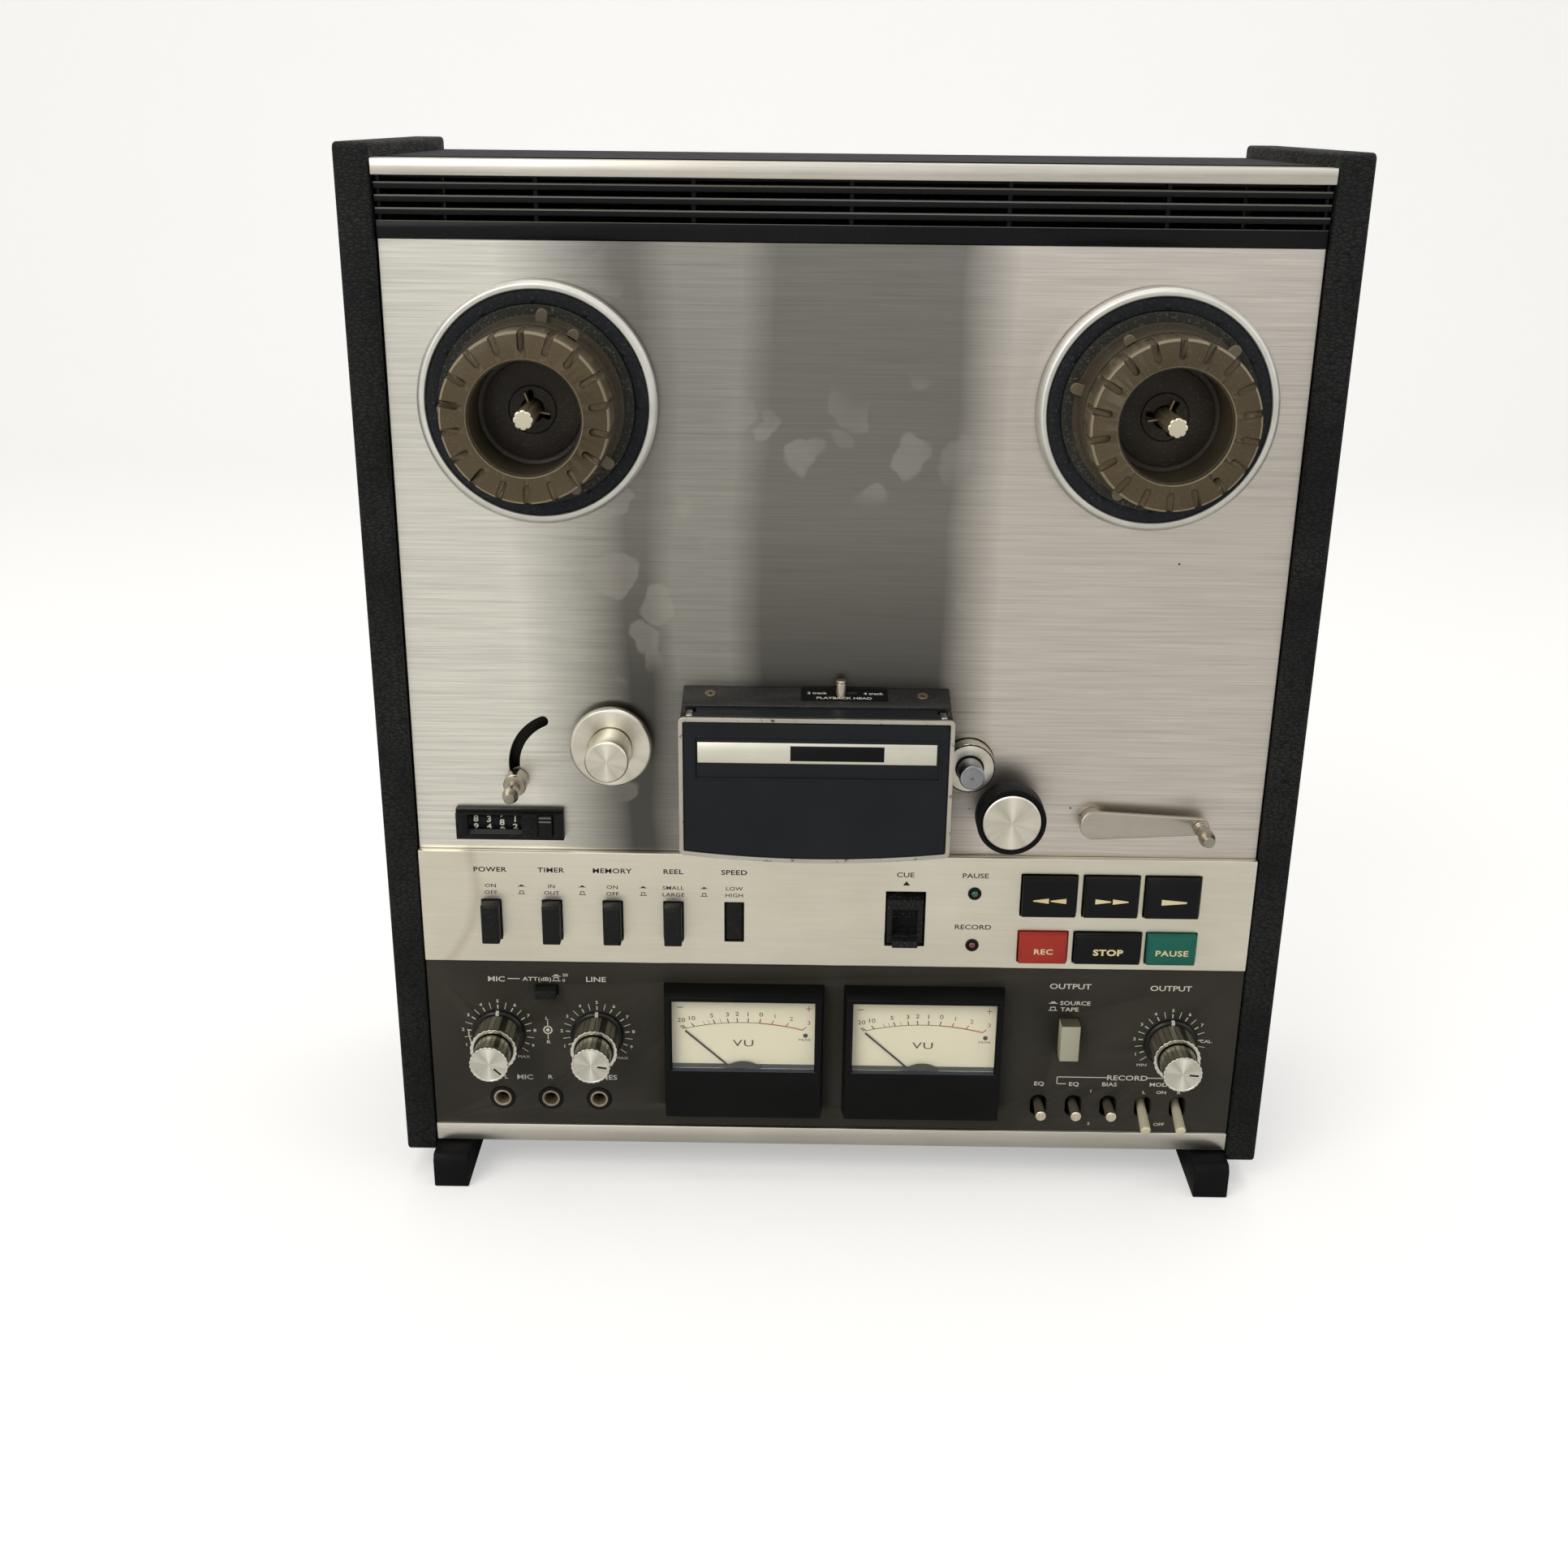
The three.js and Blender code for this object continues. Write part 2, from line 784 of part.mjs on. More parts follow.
function chassis() {
  const face = rectangle(-chassisHalf, chassisHalf, chassisBottom, chassisTop);
  let body = sheet(face, chassisBackReach, chassisReach);
  for (const side of [-1, 1]) {
    const outer = side * chassisHalf;
    const inner = side * (chassisHalf - chassisSheet);
    const flange = block(
      Math.min(outer, inner),
      Math.max(outer, inner),
      chassisSetback,
      chassisSetback + chassisFlange,
      chassisBottom,
      chassisTop,
    );
    const motorX = side * reelX;
    const motorBack = chassisReach - reelMotorLength;
    const motor = disc(reelMotorRadius, motorBack, chassisReach, mediumSides, motorX, reelHeight);
    const bore = disc(
      motorShaftRadius + runGap,
      motorBack - cutOver,
      chassisReach + cutOver,
      smallSides,
      motorX,
      reelHeight,
    );
    body = body.add(flange).add(motor).subtract(bore);
  }
  const capstanMotorBack = chassisReach - capstanMotorLength;
  body = body.add(
    disc(capstanMotorRadius, capstanMotorBack, chassisReach, mediumSides, capstanMotorX, capstanMotorZ),
  );
  for (const [x, z] of postSpots) {
    body = body.add(disc(postRadius, chassisReach, -deckPlateBack - fitGap, tinySides, x, z));
  }
  body = body.add(disc(bearingRadius, chassisReach, bearingReach, mediumSides, capstanX, capstanZ));
  const shaftSeats = [
    [rollerX, rollerZ, rollerShaftRadius, rollerBossRadius, -deckPlateBack - fitGap],
    [rightArmX, rightArmZ, rightArmShaftRadius, rightArmBossRadius, -deckPlateBack - fitGap],
  ];
  for (const [x, z, shaftRadius, bossRadius, reach] of shaftSeats) {
    body = body.add(disc(bossRadius, chassisReach, reach, smallSides, x, z));
    body = body.subtract(
      disc(shaftRadius + runGap, chassisBackReach - cutOver, reach + cutOver, smallSides, x, z),
    );
  }
  const capstanBore = disc(
    capstanRadius + runGap,
    chassisBackReach - cutOver,
    bearingReach + cutOver,
    mediumSides,
    capstanX,
    capstanZ,
  );
  body = body.subtract(capstanBore);
  const counterRoom = counterWidth + 2 * sideGap;
  const counterTop = counterZ + counterHeight / 2 + sideGap;
  body = body.subtract(
    block(
      counterX - counterRoom / 2,
      counterX + counterRoom / 2,
      chassisSetback - cutOver,
      chassisSetback + chassisSheet + cutOver,
      chassisBottom - cutOver,
      counterTop,
    ),
  );
  const studs = [[leftArmX, leftArmZ], [pinchPivotX, pinchPivotZ]];
  for (const [x, z] of studs) {
    body = body.add(disc(armStudRadius, chassisReach, -deckPlateBack - fitGap, smallSides, x, z));
  }
  return body;
}
place('chassis', chassis(), greySteel);

// Top trim bar, vent grille and bottom trim bar
place(
  'top_trim_bar',
  block(-coverHalf, coverHalf, 0, topBarDepth, topBarTop - topBarHeight, topBarTop),
  satinAluminium,
);
function ventGrille() {
  const front = grilleRecess;
  const back = grilleRecess + grilleDepth;
  const bottom = deckPlateTop + fitGap;
  let body = block(-plateHalf, plateHalf, front, back, bottom, bandTop);
  for (let i = 0; i < slatCount; i += 1) {
    const top = bandTop + (i + 1) * slatPitch;
    body = body.add(block(-plateHalf, plateHalf, front, back, top - slatHeight, top));
  }
  for (let i = 0; i < ribCount; i += 1) {
    const x = (i / (ribCount - 1) - 0.5) * (2 * plateHalf - ribWidth);
    const rib = block(0, ribWidth, front + ribSetback, back + ribSetback, bottom, grilleTop);
    body = body.add(rib.translate([x - ribWidth / 2, 0, 0]));
  }
  return body;
}
place('vent_grille', ventGrille(), glossBlack);
place(
  'bottom_trim_bar',
  block(-plateHalf, plateHalf, 0, bottomBarDepth, bottomBarBottom, bottomBarBottom + bottomBarHeight),
  satinAluminium,
);

// Deck plate with its openings
const leftArmStart = radians(leftArmRestAngle - leftArmSweep);
const leftArmEnd = radians(leftArmRestAngle);
const pinchAway = Math.hypot(capstanX - pinchX, capstanZ - pinchZ);
const pinchTravel = pinchAway - pinchRadius - capstanRadius - pinchCloseGap;
const pinchSlotRadius = pinchAxleRadius + runGap + fitGap;
function deckPlate() {
  const shape = rectangle(-plateHalf, plateHalf, deckPlateBottom, deckPlateTop);
  const counterLess = 2 * (counterBevel - fitGap);
  shape.holes.push(
    holeCircle(-reelX, reelHeight, shaftHoleRadius),
    holeCircle(reelX, reelHeight, shaftHoleRadius),
    arcSlot(leftArmX, leftArmZ, leftArmRadius, armSlotWidth, leftArmStart, leftArmEnd),
    holeCircle(rollerX, rollerZ, rollerBossRadius),
    holeCircle(capstanX, capstanZ, bearingRadius + fitGap),
    capsule(
      pinchX,
      pinchZ,
      pinchSlotRadius,
      pinchX + pinchTravel * Math.cos(pinchLine),
      pinchZ + pinchTravel * Math.sin(pinchLine),
      pinchSlotRadius,
      new THREE.Path(),
    ),
    holeCircle(rightArmX, rightArmZ, rightArmShaftRadius + sideGap),
    holeRectangle(counterX, counterZ, counterWidth - counterLess, counterHeight - counterLess),
  );
  return sheet(shape, -deckPlateBack, -deckPlateRecess, 6);
}
place('deck_plate', deckPlate(), brushedAluminium);

// Control plate with the openings of switches, cue lever, lamps and keys
const keys = [
  ['rewind_key', rewindX, keyTopRowZ, keyWide, keyTopHeight, mattBlack],
  ['fast_forward_key', forwardX, keyTopRowZ, keyWide, keyTopHeight, mattBlack],
  ['play_key', playX, keyTopRowZ, keyWide, keyTopHeight, mattBlack],
  ['record_key', recordX, keyLowRowZ, recordWidth, keyLowHeight, keyRed],
  ['stop_key', stopX, keyLowRowZ, stopWidth, keyLowHeight, mattBlack],
  ['pause_key', pauseX, keyLowRowZ, pauseWidth, keyLowHeight, keyGreen],
];
function controlPlate() {
  const shape = rectangle(-plateHalf, plateHalf, controlBottom, controlTop);
  for (let i = 0; i < switchCount; i += 1) {
    const x = switchFirstX + i * switchPitch;
    shape.holes.push(holeRectangle(x, switchZ, switchOpeningWidth, switchOpeningHeight));
  }
  shape.holes.push(holeRectangle(cueX, cueZ, cueOpeningWidth, cueOpeningHeight));
  shape.holes.push(holeCircle(lampX, lampHigh, lampHoleRadius));
  shape.holes.push(holeCircle(lampX, lampLow, lampHoleRadius));
  for (const [, x, z, width, height] of keys) {
    shape.holes.push(holeRectangle(x, z, width + 2 * keyGap, height + 2 * keyGap));
  }
  let body = sheet(shape, -controlThickness, 0, 4);
  // two lugs behind the plate hold the pin of the cue lever
  for (const side of [-1, 1]) {
    const inner = cueX + side * (cueOpeningWidth / 2);
    const outer = cueX + side * (cueOpeningWidth / 2 + cueLugWidth);
    const lug = block(
      Math.min(inner, outer),
      Math.max(inner, outer),
      controlThickness / 2,
      cuePivotSetback + 2 * cuePinRadius,
      cueZ - 2 * cuePinRadius,
      cueZ + 2 * cuePinRadius,
    );
    const hole = crossBar(
      cuePinRadius + runGap,
      Math.min(inner, outer) - cutOver,
      Math.max(inner, outer) + cutOver,
      cuePivotSetback,
      cueZ,
      tinySides,
    );
    body = body.add(lug).subtract(hole);
  }
  return body;
}
place('control_plate', controlPlate(), satinAluminium);

// Lower panel with its openings, and the cradle of the toggle levers behind it
const panelReach = -lowerPanelRecess;
const knobXs = [micKnobX, lineKnobX, outputKnobX];
const toggleLastX = toggleX + togglePitch * (toggleCount - 1);
function lowerPanel() {
  const shape = rectangle(-plateHalf, plateHalf, lowerPanelBottom, lowerPanelTop);
  for (const x of knobXs) {
    shape.holes.push(holeCircle(x, knobZ, knobTubeRadius + runGap));
  }
  for (let i = 0; i < jackCount; i += 1) {
    const x = jackX + (i - (jackCount - 1) / 2) * jackPitch;
    shape.holes.push(holeCircle(x, jackZ, jackNutRadius + fitGap));
  }
  shape.holes.push(holeRectangle(attX, attZ, attOpeningWidth, attOpeningHeight));
  shape.holes.push(holeRectangle(outputX, outputZ, outputOpeningWidth, outputOpeningHeight));
  for (const side of [-1, 1]) {
    const width = meterWidth - 2 * meterBodyInset + 2 * fitGap;
    const height = meterHeight - 2 * meterBodyInset + 2 * fitGap;
    shape.holes.push(holeRectangle(side * meterX, meterZ, width, height));
  }
  const slotRound = toggleSlotWidth / 2 - fitGap;
  for (let i = 0; i < toggleCount; i += 1) {
    const x = toggleX + i * togglePitch;
    shape.holes.push(holeRectangle(x, toggleZ, toggleSlotWidth, toggleSlotHeight, slotRound));
  }
  let body = sheet(shape, -lowerPanelBack, panelReach, 4);
  const cradleTop = toggleZ + toggleSlotHeight / 2;
  const cradleBottom = toggleZ - toggleSlotHeight / 2;
  const cradleFront = lowerPanelRecess + lowerPanelThickness / 2;
  const cradleBack = togglePivotSetback + 2 * togglePinRadius;
  const cradleLeft = toggleX - toggleSlotWidth / 2 - cradleWall;
  const cradleRight = toggleLastX + toggleSlotWidth / 2 + cradleWall;
  for (let i = 0; i <= toggleCount; i += 1) {
    const left = i === 0 ? cradleLeft : toggleX + (i - 1) * togglePitch + toggleSlotWidth / 2;
    const right = i === toggleCount ? cradleRight : toggleX + i * togglePitch - toggleSlotWidth / 2;
    body = body.add(block(left, right, cradleFront, cradleBack, cradleBottom, cradleTop));
  }
  const pinBore = crossBar(
    togglePinRadius + runGap,
    cradleLeft - cutOver,
    cradleRight + cutOver,
    togglePivotSetback,
    toggleZ,
    tinySides,
  );
  return body.subtract(pinBore);
}
place('lower_panel', lowerPanel(), panelBrown);

// Reel tables: bright rim, rubber pad ring, raised disc, fluted spindle and the motor's shaft
function flutedBar(radius, fluteDepth, flutes, backReach, frontReach) {
  const points = [];
  for (let i = 0; i < 2 * flutes; i += 1) {
    const angle = i * Math.PI / flutes;
    const r = i % 2 ? radius - fluteDepth : radius;
    points.push([r * Math.cos(angle), r * Math.sin(angle)]);
  }
  return sheet(outline(points), backReach, frontReach);
}
function reelTable() {
  const padOuter = tableRadius - tableRimWidth;
  const padInner = padOuter - padWidth;
  const padReach = tableReach - padDrop;
  const shaftBack = tableBackReach - motorShaftLength;
  const body = turned([
    [0, shaftBack],
    [motorShaftRadius, shaftBack],
    [motorShaftRadius, tableBackReach],
    [tableRadius, tableBackReach],
    [tableRadius, tableReach - tableRimBevel],
    [tableRadius - tableRimBevel, tableReach],
    [padOuter, tableReach],
    [padOuter, padReach],
    [padInner, padReach],
    [padInner, tableStepReach],
    [0, tableStepReach],
  ], largeSides);
  const spindleBack = tableStepReach - fitGap;
  const spindle = flutedBar(spindleRadius, spindleFluteDepth, spindleFlutes, spindleBack, spindleReach);
  return body.add(spindle);
}

// Hub adapters: a flanged barrel with a bowl in front, and tabs that grip a large reel's hub
function tabs(firstAngle, bodyRadius, backReach, frontReach) {
  const radius = bodyRadius - tabProud;
  const made = [];
  for (let i = 0; i < tabCount; i += 1) {
    const angle = radians(firstAngle + i * 360 / tabCount);
    const geometry = new THREE.BoxGeometry(2 * tabProud, frontReach - backReach, tabWidth);
    geometry.translate(radius + tabProud, -(backReach + frontReach) / 2, 0);
    geometry.rotateY(-angle);
    made.push(solid(geometry));
  }
  return made;
}
function hubAdapter(lowerTabAngle, upperTabAngle) {
  const back = tableStepReach + fitGap;
  const flangeFront = back + adapterFlangeThickness;
  const barrelFront = ringBackReach - fitGap;
  const sleeveFront = ringReach - ringLip - fitGap;
  const body = turned([
    [adapterBoreRadius, back],
    [adapterFlangeRadius, back],
    [adapterFlangeRadius, flangeFront],
    [adapterBarrelRadius, flangeFront],
    [adapterBarrelRadius, barrelFront],
    [bowlRadius + bowlWall, barrelFront],
    [bowlRadius + bowlWall, sleeveFront],
    [bowlRadius, sleeveFront],
    [bowlRadius, adapterFloorReach],
    [adapterBoreRadius, adapterFloorReach],
    [adapterBoreRadius, back],
  ], largeSides);
  const upperBack = barrelFront - tabThickness;
  return join(
    body,
    ...tabs(lowerTabAngle, adapterFlangeRadius, flangeFront, flangeFront + tabThickness),
    ...tabs(upperTabAngle, adapterBarrelRadius, upperBack, barrelFront),
  );
}
function lockRing() {
  const bore = bowlRadius + bowlWall + runGap;
  const body = turned([
    [bore, ringBackReach],
    [ringRadius, ringBackReach],
    [ringRadius, ringReach - ringBevel],
    [ringFaceRadius, ringReach],
    [ringHoleRadius, ringReach],
    [ringHoleRadius, ringReach - ringLip],
    [bore, ringReach - ringLip],
    [bore, ringBackReach],
  ], 2 * notchCount);
  const notches = [];
  for (let i = 0; i < notchCount; i += 1) {
    const geometry = new THREE.BoxGeometry(notchLength + cutOver, notchDepth + cutOver, notchWidth);
    const middle = ringRadius + cutOver - (notchLength + cutOver) / 2;
    geometry.translate(middle, -(ringReach - notchDepth + (notchDepth + cutOver) / 2), 0);
    geometry.rotateY(-(i + 0.5) * Math.PI * 2 / notchCount);
    notches.push(solid(geometry));
  }
  return cut(body, ...notches);
}
const hubs = [
  ['left', -reelX, leftLowerTabAngle, leftUpperTabAngle],
  ['right', reelX, rightLowerTabAngle, rightUpperTabAngle],
];
for (const [name, x, lowerTabAngle, upperTabAngle] of hubs) {
  place(name + '_reel_table', reelTable(), brightMetal, x, 0, reelHeight);
  place(name + '_hub_adapter', hubAdapter(lowerTabAngle, upperTabAngle), hubBrown, x, 0, reelHeight);
  place(name + '_hub_lock_ring', lockRing(), hubBrown, x, 0, reelHeight);
}

// Guide post of a tension arm: collar, waist for the tape, nose
function guidePost(backReach, collarRadius, collarLength) {
  const collarFront = backReach + collarLength;
  const waistFront = collarFront + guideWaistLength;
  const noseMiddle = (waistFront + guideTipReach) / 2;
  return turned([
    [0, backReach],
    [collarRadius, backReach],
    [collarRadius, collarFront],
    [guideWaistRadius, collarFront],
    [guideWaistRadius, waistFront],
    [guideNoseRadius, waistFront],
    [guideNoseRadius, noseMiddle],
    [guideTipRadius, guideTipReach],
    [0, guideTipReach],
  ], smallSides);
}

// Left tension arm: a lever behind the deck plate, its post passing through the curved slot
function leftTensionArm() {
  const postX = leftArmRadius * Math.cos(leftArmEnd);
  const postZ = leftArmRadius * Math.sin(leftArmEnd);
  const lever = capsule(0, 0, armHubRadius, postX, postZ, armWidth / 2);
  lever.holes.push(holeCircle(0, 0, armStudRadius + runGap));
  const plate = sheet(lever, armReach - leftArmPlate, armReach, 5);
  const collarBack = deckFaceReach + sideGap;
  const post = disc(leftPostRadius, armReach - fitGap, collarBack + fitGap, tinySides, postX, postZ);
  const guide = guidePost(collarBack, leftCollarRadius, leftCollarLength).translate([postX, 0, postZ]);
  return join(plate, post, guide);
}
place('left_tension_arm', leftTensionArm(), brightMetal, leftArmX, 0, leftArmZ);

// Impedance roller: a flange, a hub set in a groove, and a shaft in the chassis boss
function impedanceRoller() {
  const flangeBack = rollerFlangeReach - rollerFlangeThickness;
  const shaftBack = chassisBackReach - fitGap;
  const bossBack = deckFaceReach + fitGap;
  const grooveRadius = rollerHubRadius + rollerGrooveWidth;
  const grooveReach = rollerFlangeReach - rollerGrooveDepth;
  return turned([
    [0, shaftBack],
    [rollerShaftRadius, shaftBack],
    [rollerShaftRadius, bossBack],
    [rollerBossRadius, bossBack],
    [rollerBossRadius, flangeBack],
    [rollerFlangeRadius, flangeBack],
    [rollerFlangeRadius, rollerFlangeReach - rollerBevel],
    [rollerFlangeRadius - rollerBevel, rollerFlangeReach],
    [grooveRadius, rollerFlangeReach],
    [grooveRadius, grooveReach],
    [rollerHubRadius, grooveReach],
    [rollerHubRadius, rollerHubReach - rollerBevel],
    [rollerHubRadius - rollerBevel, rollerHubReach],
    [0, rollerHubReach],
  ], mediumSides);
}
place('impedance_roller', impedanceRoller(), satinAluminium, rollerX, 0, rollerZ);

// Head housing: a sloping roof on two cheeks and a back wall, with pins for the door
const headBack = deckPlateRecess - fitGap;
const roofFront = -headRoofFrontReach;
function headHousing() {
  const roof = outline([
    [headBack, headTop],
    [headBack, headTop - cheekDepthBelow],
    [headBack - headRoofSheet, headTop - cheekDepthBelow],
    [headBack - headRoofSheet, headTop - 2 * headRoofSheet],
    [roofFront, headTop - headRoofFrontDrop - headRoofSheet],
    [roofFront, headTop - headRoofFrontDrop],
  ]);
  let body = section(roof, headLeft, headRight);
  const slopeAtHinge = headTop - headRoofFrontDrop - headRoofSheet;
  for (const side of [-1, 1]) {
    const outer = side < 0 ? headLeft : headRight;
    const inner = outer - side * cheekWidth;
    const left = Math.min(outer, inner);
    const cheek = outline([
      [headBack, headTop - headRoofSheet],
      [headBack, headTop - cheekDepthBelow],
      [roofFront, headTop - cheekDepthBelow],
      [-hingeReach - hingeLugRadius, hingeHeight - hingeLugRadius],
      [-hingeReach - hingeLugRadius, hingeHeight],
      [-hingeReach, hingeHeight + hingeLugRadius],
      [roofFront, hingeHeight + hingeLugRadius],
      [roofFront, slopeAtHinge + headRoofSheet / 2],
    ]);
    body = body.add(section(cheek, left, left + cheekWidth));
    const pinEnd = inner - side * hingePinLength;
    const pinLeft = Math.min(outer, pinEnd);
    const pinRight = Math.max(outer, pinEnd);
    body = body.add(crossBar(hingePinRadius, pinLeft, pinRight, -hingeReach, hingeHeight, tinySides));
  }
  const slotHalf = leverRadius + fitGap;
  const slot = block(
    leverSlotLeft,
    leverSlotLeft + leverSlotLength,
    -leverReach - slotHalf,
    -leverReach + slotHalf,
    headTop - 3 * headRoofSheet,
    headTop + cutOver,
  );
  return body.subtract(slot);
}
place('head_housing', headHousing(), mattBlack);

// Head door: front panel with a bowed lower edge, side flanges, a top lip and two knuckles
function headDoor() {
  const front = new THREE.Shape();
  const middle = (doorLeft + doorRight) / 2;
  const bowPull = doorCornerBottom - 2 * doorBow;
  front.moveTo(doorLeft, doorCornerBottom + doorCornerRadius);
  front.quadraticCurveTo(doorLeft, doorCornerBottom, doorLeft + doorCornerRadius, doorCornerBottom);
  front.quadraticCurveTo(middle, bowPull, doorRight - doorCornerRadius, doorCornerBottom);
  front.quadraticCurveTo(doorRight, doorCornerBottom, doorRight, doorCornerBottom + doorCornerRadius);
  front.lineTo(doorRight, doorTop - doorCornerRadius);
  front.quadraticCurveTo(doorRight, doorTop, doorRight - doorCornerRadius, doorTop);
  front.lineTo(doorLeft + doorCornerRadius, doorTop);
  front.quadraticCurveTo(doorLeft, doorTop, doorLeft, doorTop - doorCornerRadius);
  const panelBack = doorReach - doorThickness;
  let body = sheet(front, panelBack, doorReach, 8);
  const lip = outline([
    [-doorLipBackReach, doorLipTop],
    [-panelBack - doorThickness / 2, doorTop],
    [-panelBack - doorThickness / 2, doorTop - doorLipSheet],
    [-doorLipBackReach, doorLipTop - doorLipSheet],
  ]);
  const notch = cheekWidth + doorLipNotch;
  body = body.add(section(lip, headLeft + notch, headRight - notch));
  const lipFront = outline([
    [-hingeReach - hingeLugRadius - fitGap, doorLipTop - doorLipSheet],
    [-hingeReach - hingeLugRadius - fitGap, (doorLipTop + doorTop) / 2],
    [-panelBack - doorThickness / 2, doorTop],
    [-panelBack - doorThickness / 2, doorTop - doorLipSheet],
  ]);
  body = body.add(section(lipFront, headLeft, headRight));
  for (const side of [-1, 1]) {
    const outer = side < 0 ? doorLeft : doorRight;
    const left = Math.min(outer, outer - side * doorThickness);
    const flange = block(
      left,
      left + doorThickness,
      -panelBack - fitGap,
      -panelBack + doorFlangeDepth - doorThickness,
      doorCornerBottom + doorCornerRadius,
      doorFlangeTop,
    );
    body = body.add(flange);
    const cheekInner = (side < 0 ? headLeft : headRight) - side * (cheekWidth + runGap);
    const knuckleEnd = cheekInner - side * doorKnuckleWidth;
    const knuckle = block(
      Math.min(cheekInner, knuckleEnd),
      Math.max(cheekInner, knuckleEnd),
      -panelBack - doorThickness / 2,
      -hingeReach + hingeLugRadius,
      hingeHeight - hingeLugRadius,
      doorTop - doorLipSheet / 2,
    );
    const bore = crossBar(
      hingePinRadius + runGap,
      Math.min(cheekInner, knuckleEnd) - cutOver,
      Math.max(cheekInner, knuckleEnd) + cutOver,
      -hingeReach,
      hingeHeight,
      tinySides,
    );
    body = body.add(knuckle).subtract(bore);
  }
  return body;
}
place('head_door', headDoor(), mattBlack);

// Head block: base plate, four heads with rounded faces, a shield and two tape guides
function headBlock() {
  const baseFront = fitGap - deckPlateRecess + headBaseThickness;
  const baseBack = fitGap - deckPlateRecess;
  const left = headLeft + headBaseMargin;
  const right = headRight - headBaseMargin;
  const base = rectangle(left, right, headBaseBottom, headBaseTop - headBaseMargin);
  let body = sheet(base, baseBack, baseFront);
  const middle = (left + right) / 2;
  for (let i = 0; i < headCount; i += 1) {
    const x = middle + (i - (headCount - 1) / 2) * headPitch;
    const rise = headNoseRadius - Math.sqrt(headNoseRadius ** 2 - (headWidth / 2) ** 2);
    const shape = new THREE.Shape();
    const half = Math.asin(headWidth / 2 / headNoseRadius);
    shape.moveTo(x + headWidth / 2, tapeLineZ + rise);
    shape.lineTo(x + headWidth / 2, tapeLineZ + headHeight);
    shape.lineTo(x - headWidth / 2, tapeLineZ + headHeight);
    shape.lineTo(x - headWidth / 2, tapeLineZ + rise);
    shape.absarc(x, tapeLineZ + headNoseRadius, headNoseRadius, -Math.PI / 2 - half, -Math.PI / 2 + half);
    body = body.add(sheet(shape, baseBack, headReach, 4));
  }
  const shieldBottom = tapeLineZ + headHeight - fitGap;
  const backing = deckPlateRecess - headBaseThickness - fitGap;
  body = body.add(block(left, right, backing, headBack, headBaseBottom, shieldBottom));
  const shield = block(
    left + headGuideInset,
    right - headGuideInset,
    -headReach / 2,
    headBack,
    shieldBottom,
    shieldBottom + shieldHeight,
  );
  body = body.add(shield);
  for (const x of [left + headGuideRadius, right - headGuideRadius]) {
    body = body.add(disc(headGuideRadius, baseBack, headReach, smallSides, x, tapeLineZ - headGuideRadius));
  }
  return body;
}
place('head_block', headBlock(), brightMetal);

// Head select lever: a pin through the roof's slot that stands on the head block's shield
function headSelectLever() {
  const bottom = tapeLineZ + headHeight + shieldHeight;
  const geometry = new THREE.CylinderGeometry(leverRadius, leverRadius, leverTop - bottom, smallSides);
  geometry.rotateX(Math.PI / 2);
  geometry.translate(0, 0, (leverTop + bottom) / 2);
  return solid(geometry);
}
place('head_select_lever', headSelectLever(), brightMetal, leverX, -leverReach, 0);

// Capstan: one shaft with its flywheel behind the chassis
function capstan() {
  const flyFront = chassisBackReach - flywheelSetback;
  const flyBack = flyFront - flywheelThickness;
  return turned([
    [0, flyBack],
    [flywheelRadius, flyBack],
    [flywheelRadius, flyFront],
    [capstanRadius, flyFront],
    [capstanRadius, capstanReach],
    [capstanTipHoleRadius, capstanReach],
    [capstanTipHoleRadius, capstanReach - capstanTipHoleDepth],
    [0, capstanReach - capstanTipHoleDepth],
  ], mediumSides);
}
place('capstan', capstan(), brightMetal, capstanX, 0, capstanZ);

// Pinch roller arm and pinch roller
function pinchArm() {
  const shape = capsule(0, 0, armHubRadius, pinchX - pinchPivotX, pinchZ - pinchPivotZ, pinchArmWidth / 2);
  shape.holes.push(holeCircle(0, 0, armStudRadius + runGap));
  const plate = sheet(shape, armReach - pinchArmThickness, armReach, 5);
  const axle = disc(
    pinchAxleRadius,
    armReach - fitGap,
    pinchReach - 2 * pinchRound,
    smallSides,
    pinchX - pinchPivotX,
    pinchZ - pinchPivotZ,
  );
  return plate.add(axle);
}
function pinchRoller() {
  const bore = pinchAxleRadius + runGap;
  return turned([
    [bore, pinchBackReach],
    [pinchRadius - pinchRound, pinchBackReach],
    [pinchRadius, pinchBackReach + pinchRound],
    [pinchRadius, pinchReach - pinchRound],
    [pinchRadius - pinchRound, pinchReach],
    [pinchCapRadius, pinchReach],
    [pinchCapRadius, pinchReach + pinchCapProud],
    [0, pinchReach + pinchCapProud],
    [0, pinchReach - pinchRound],
    [bore, pinchReach - pinchRound],
    [bore, pinchBackReach],
  ], mediumSides);
}
place('pinch_roller_arm', pinchArm(), greySteel, pinchPivotX, 0, pinchPivotZ);
place('pinch_roller', pinchRoller(), blackRubber, pinchX, 0, pinchZ);

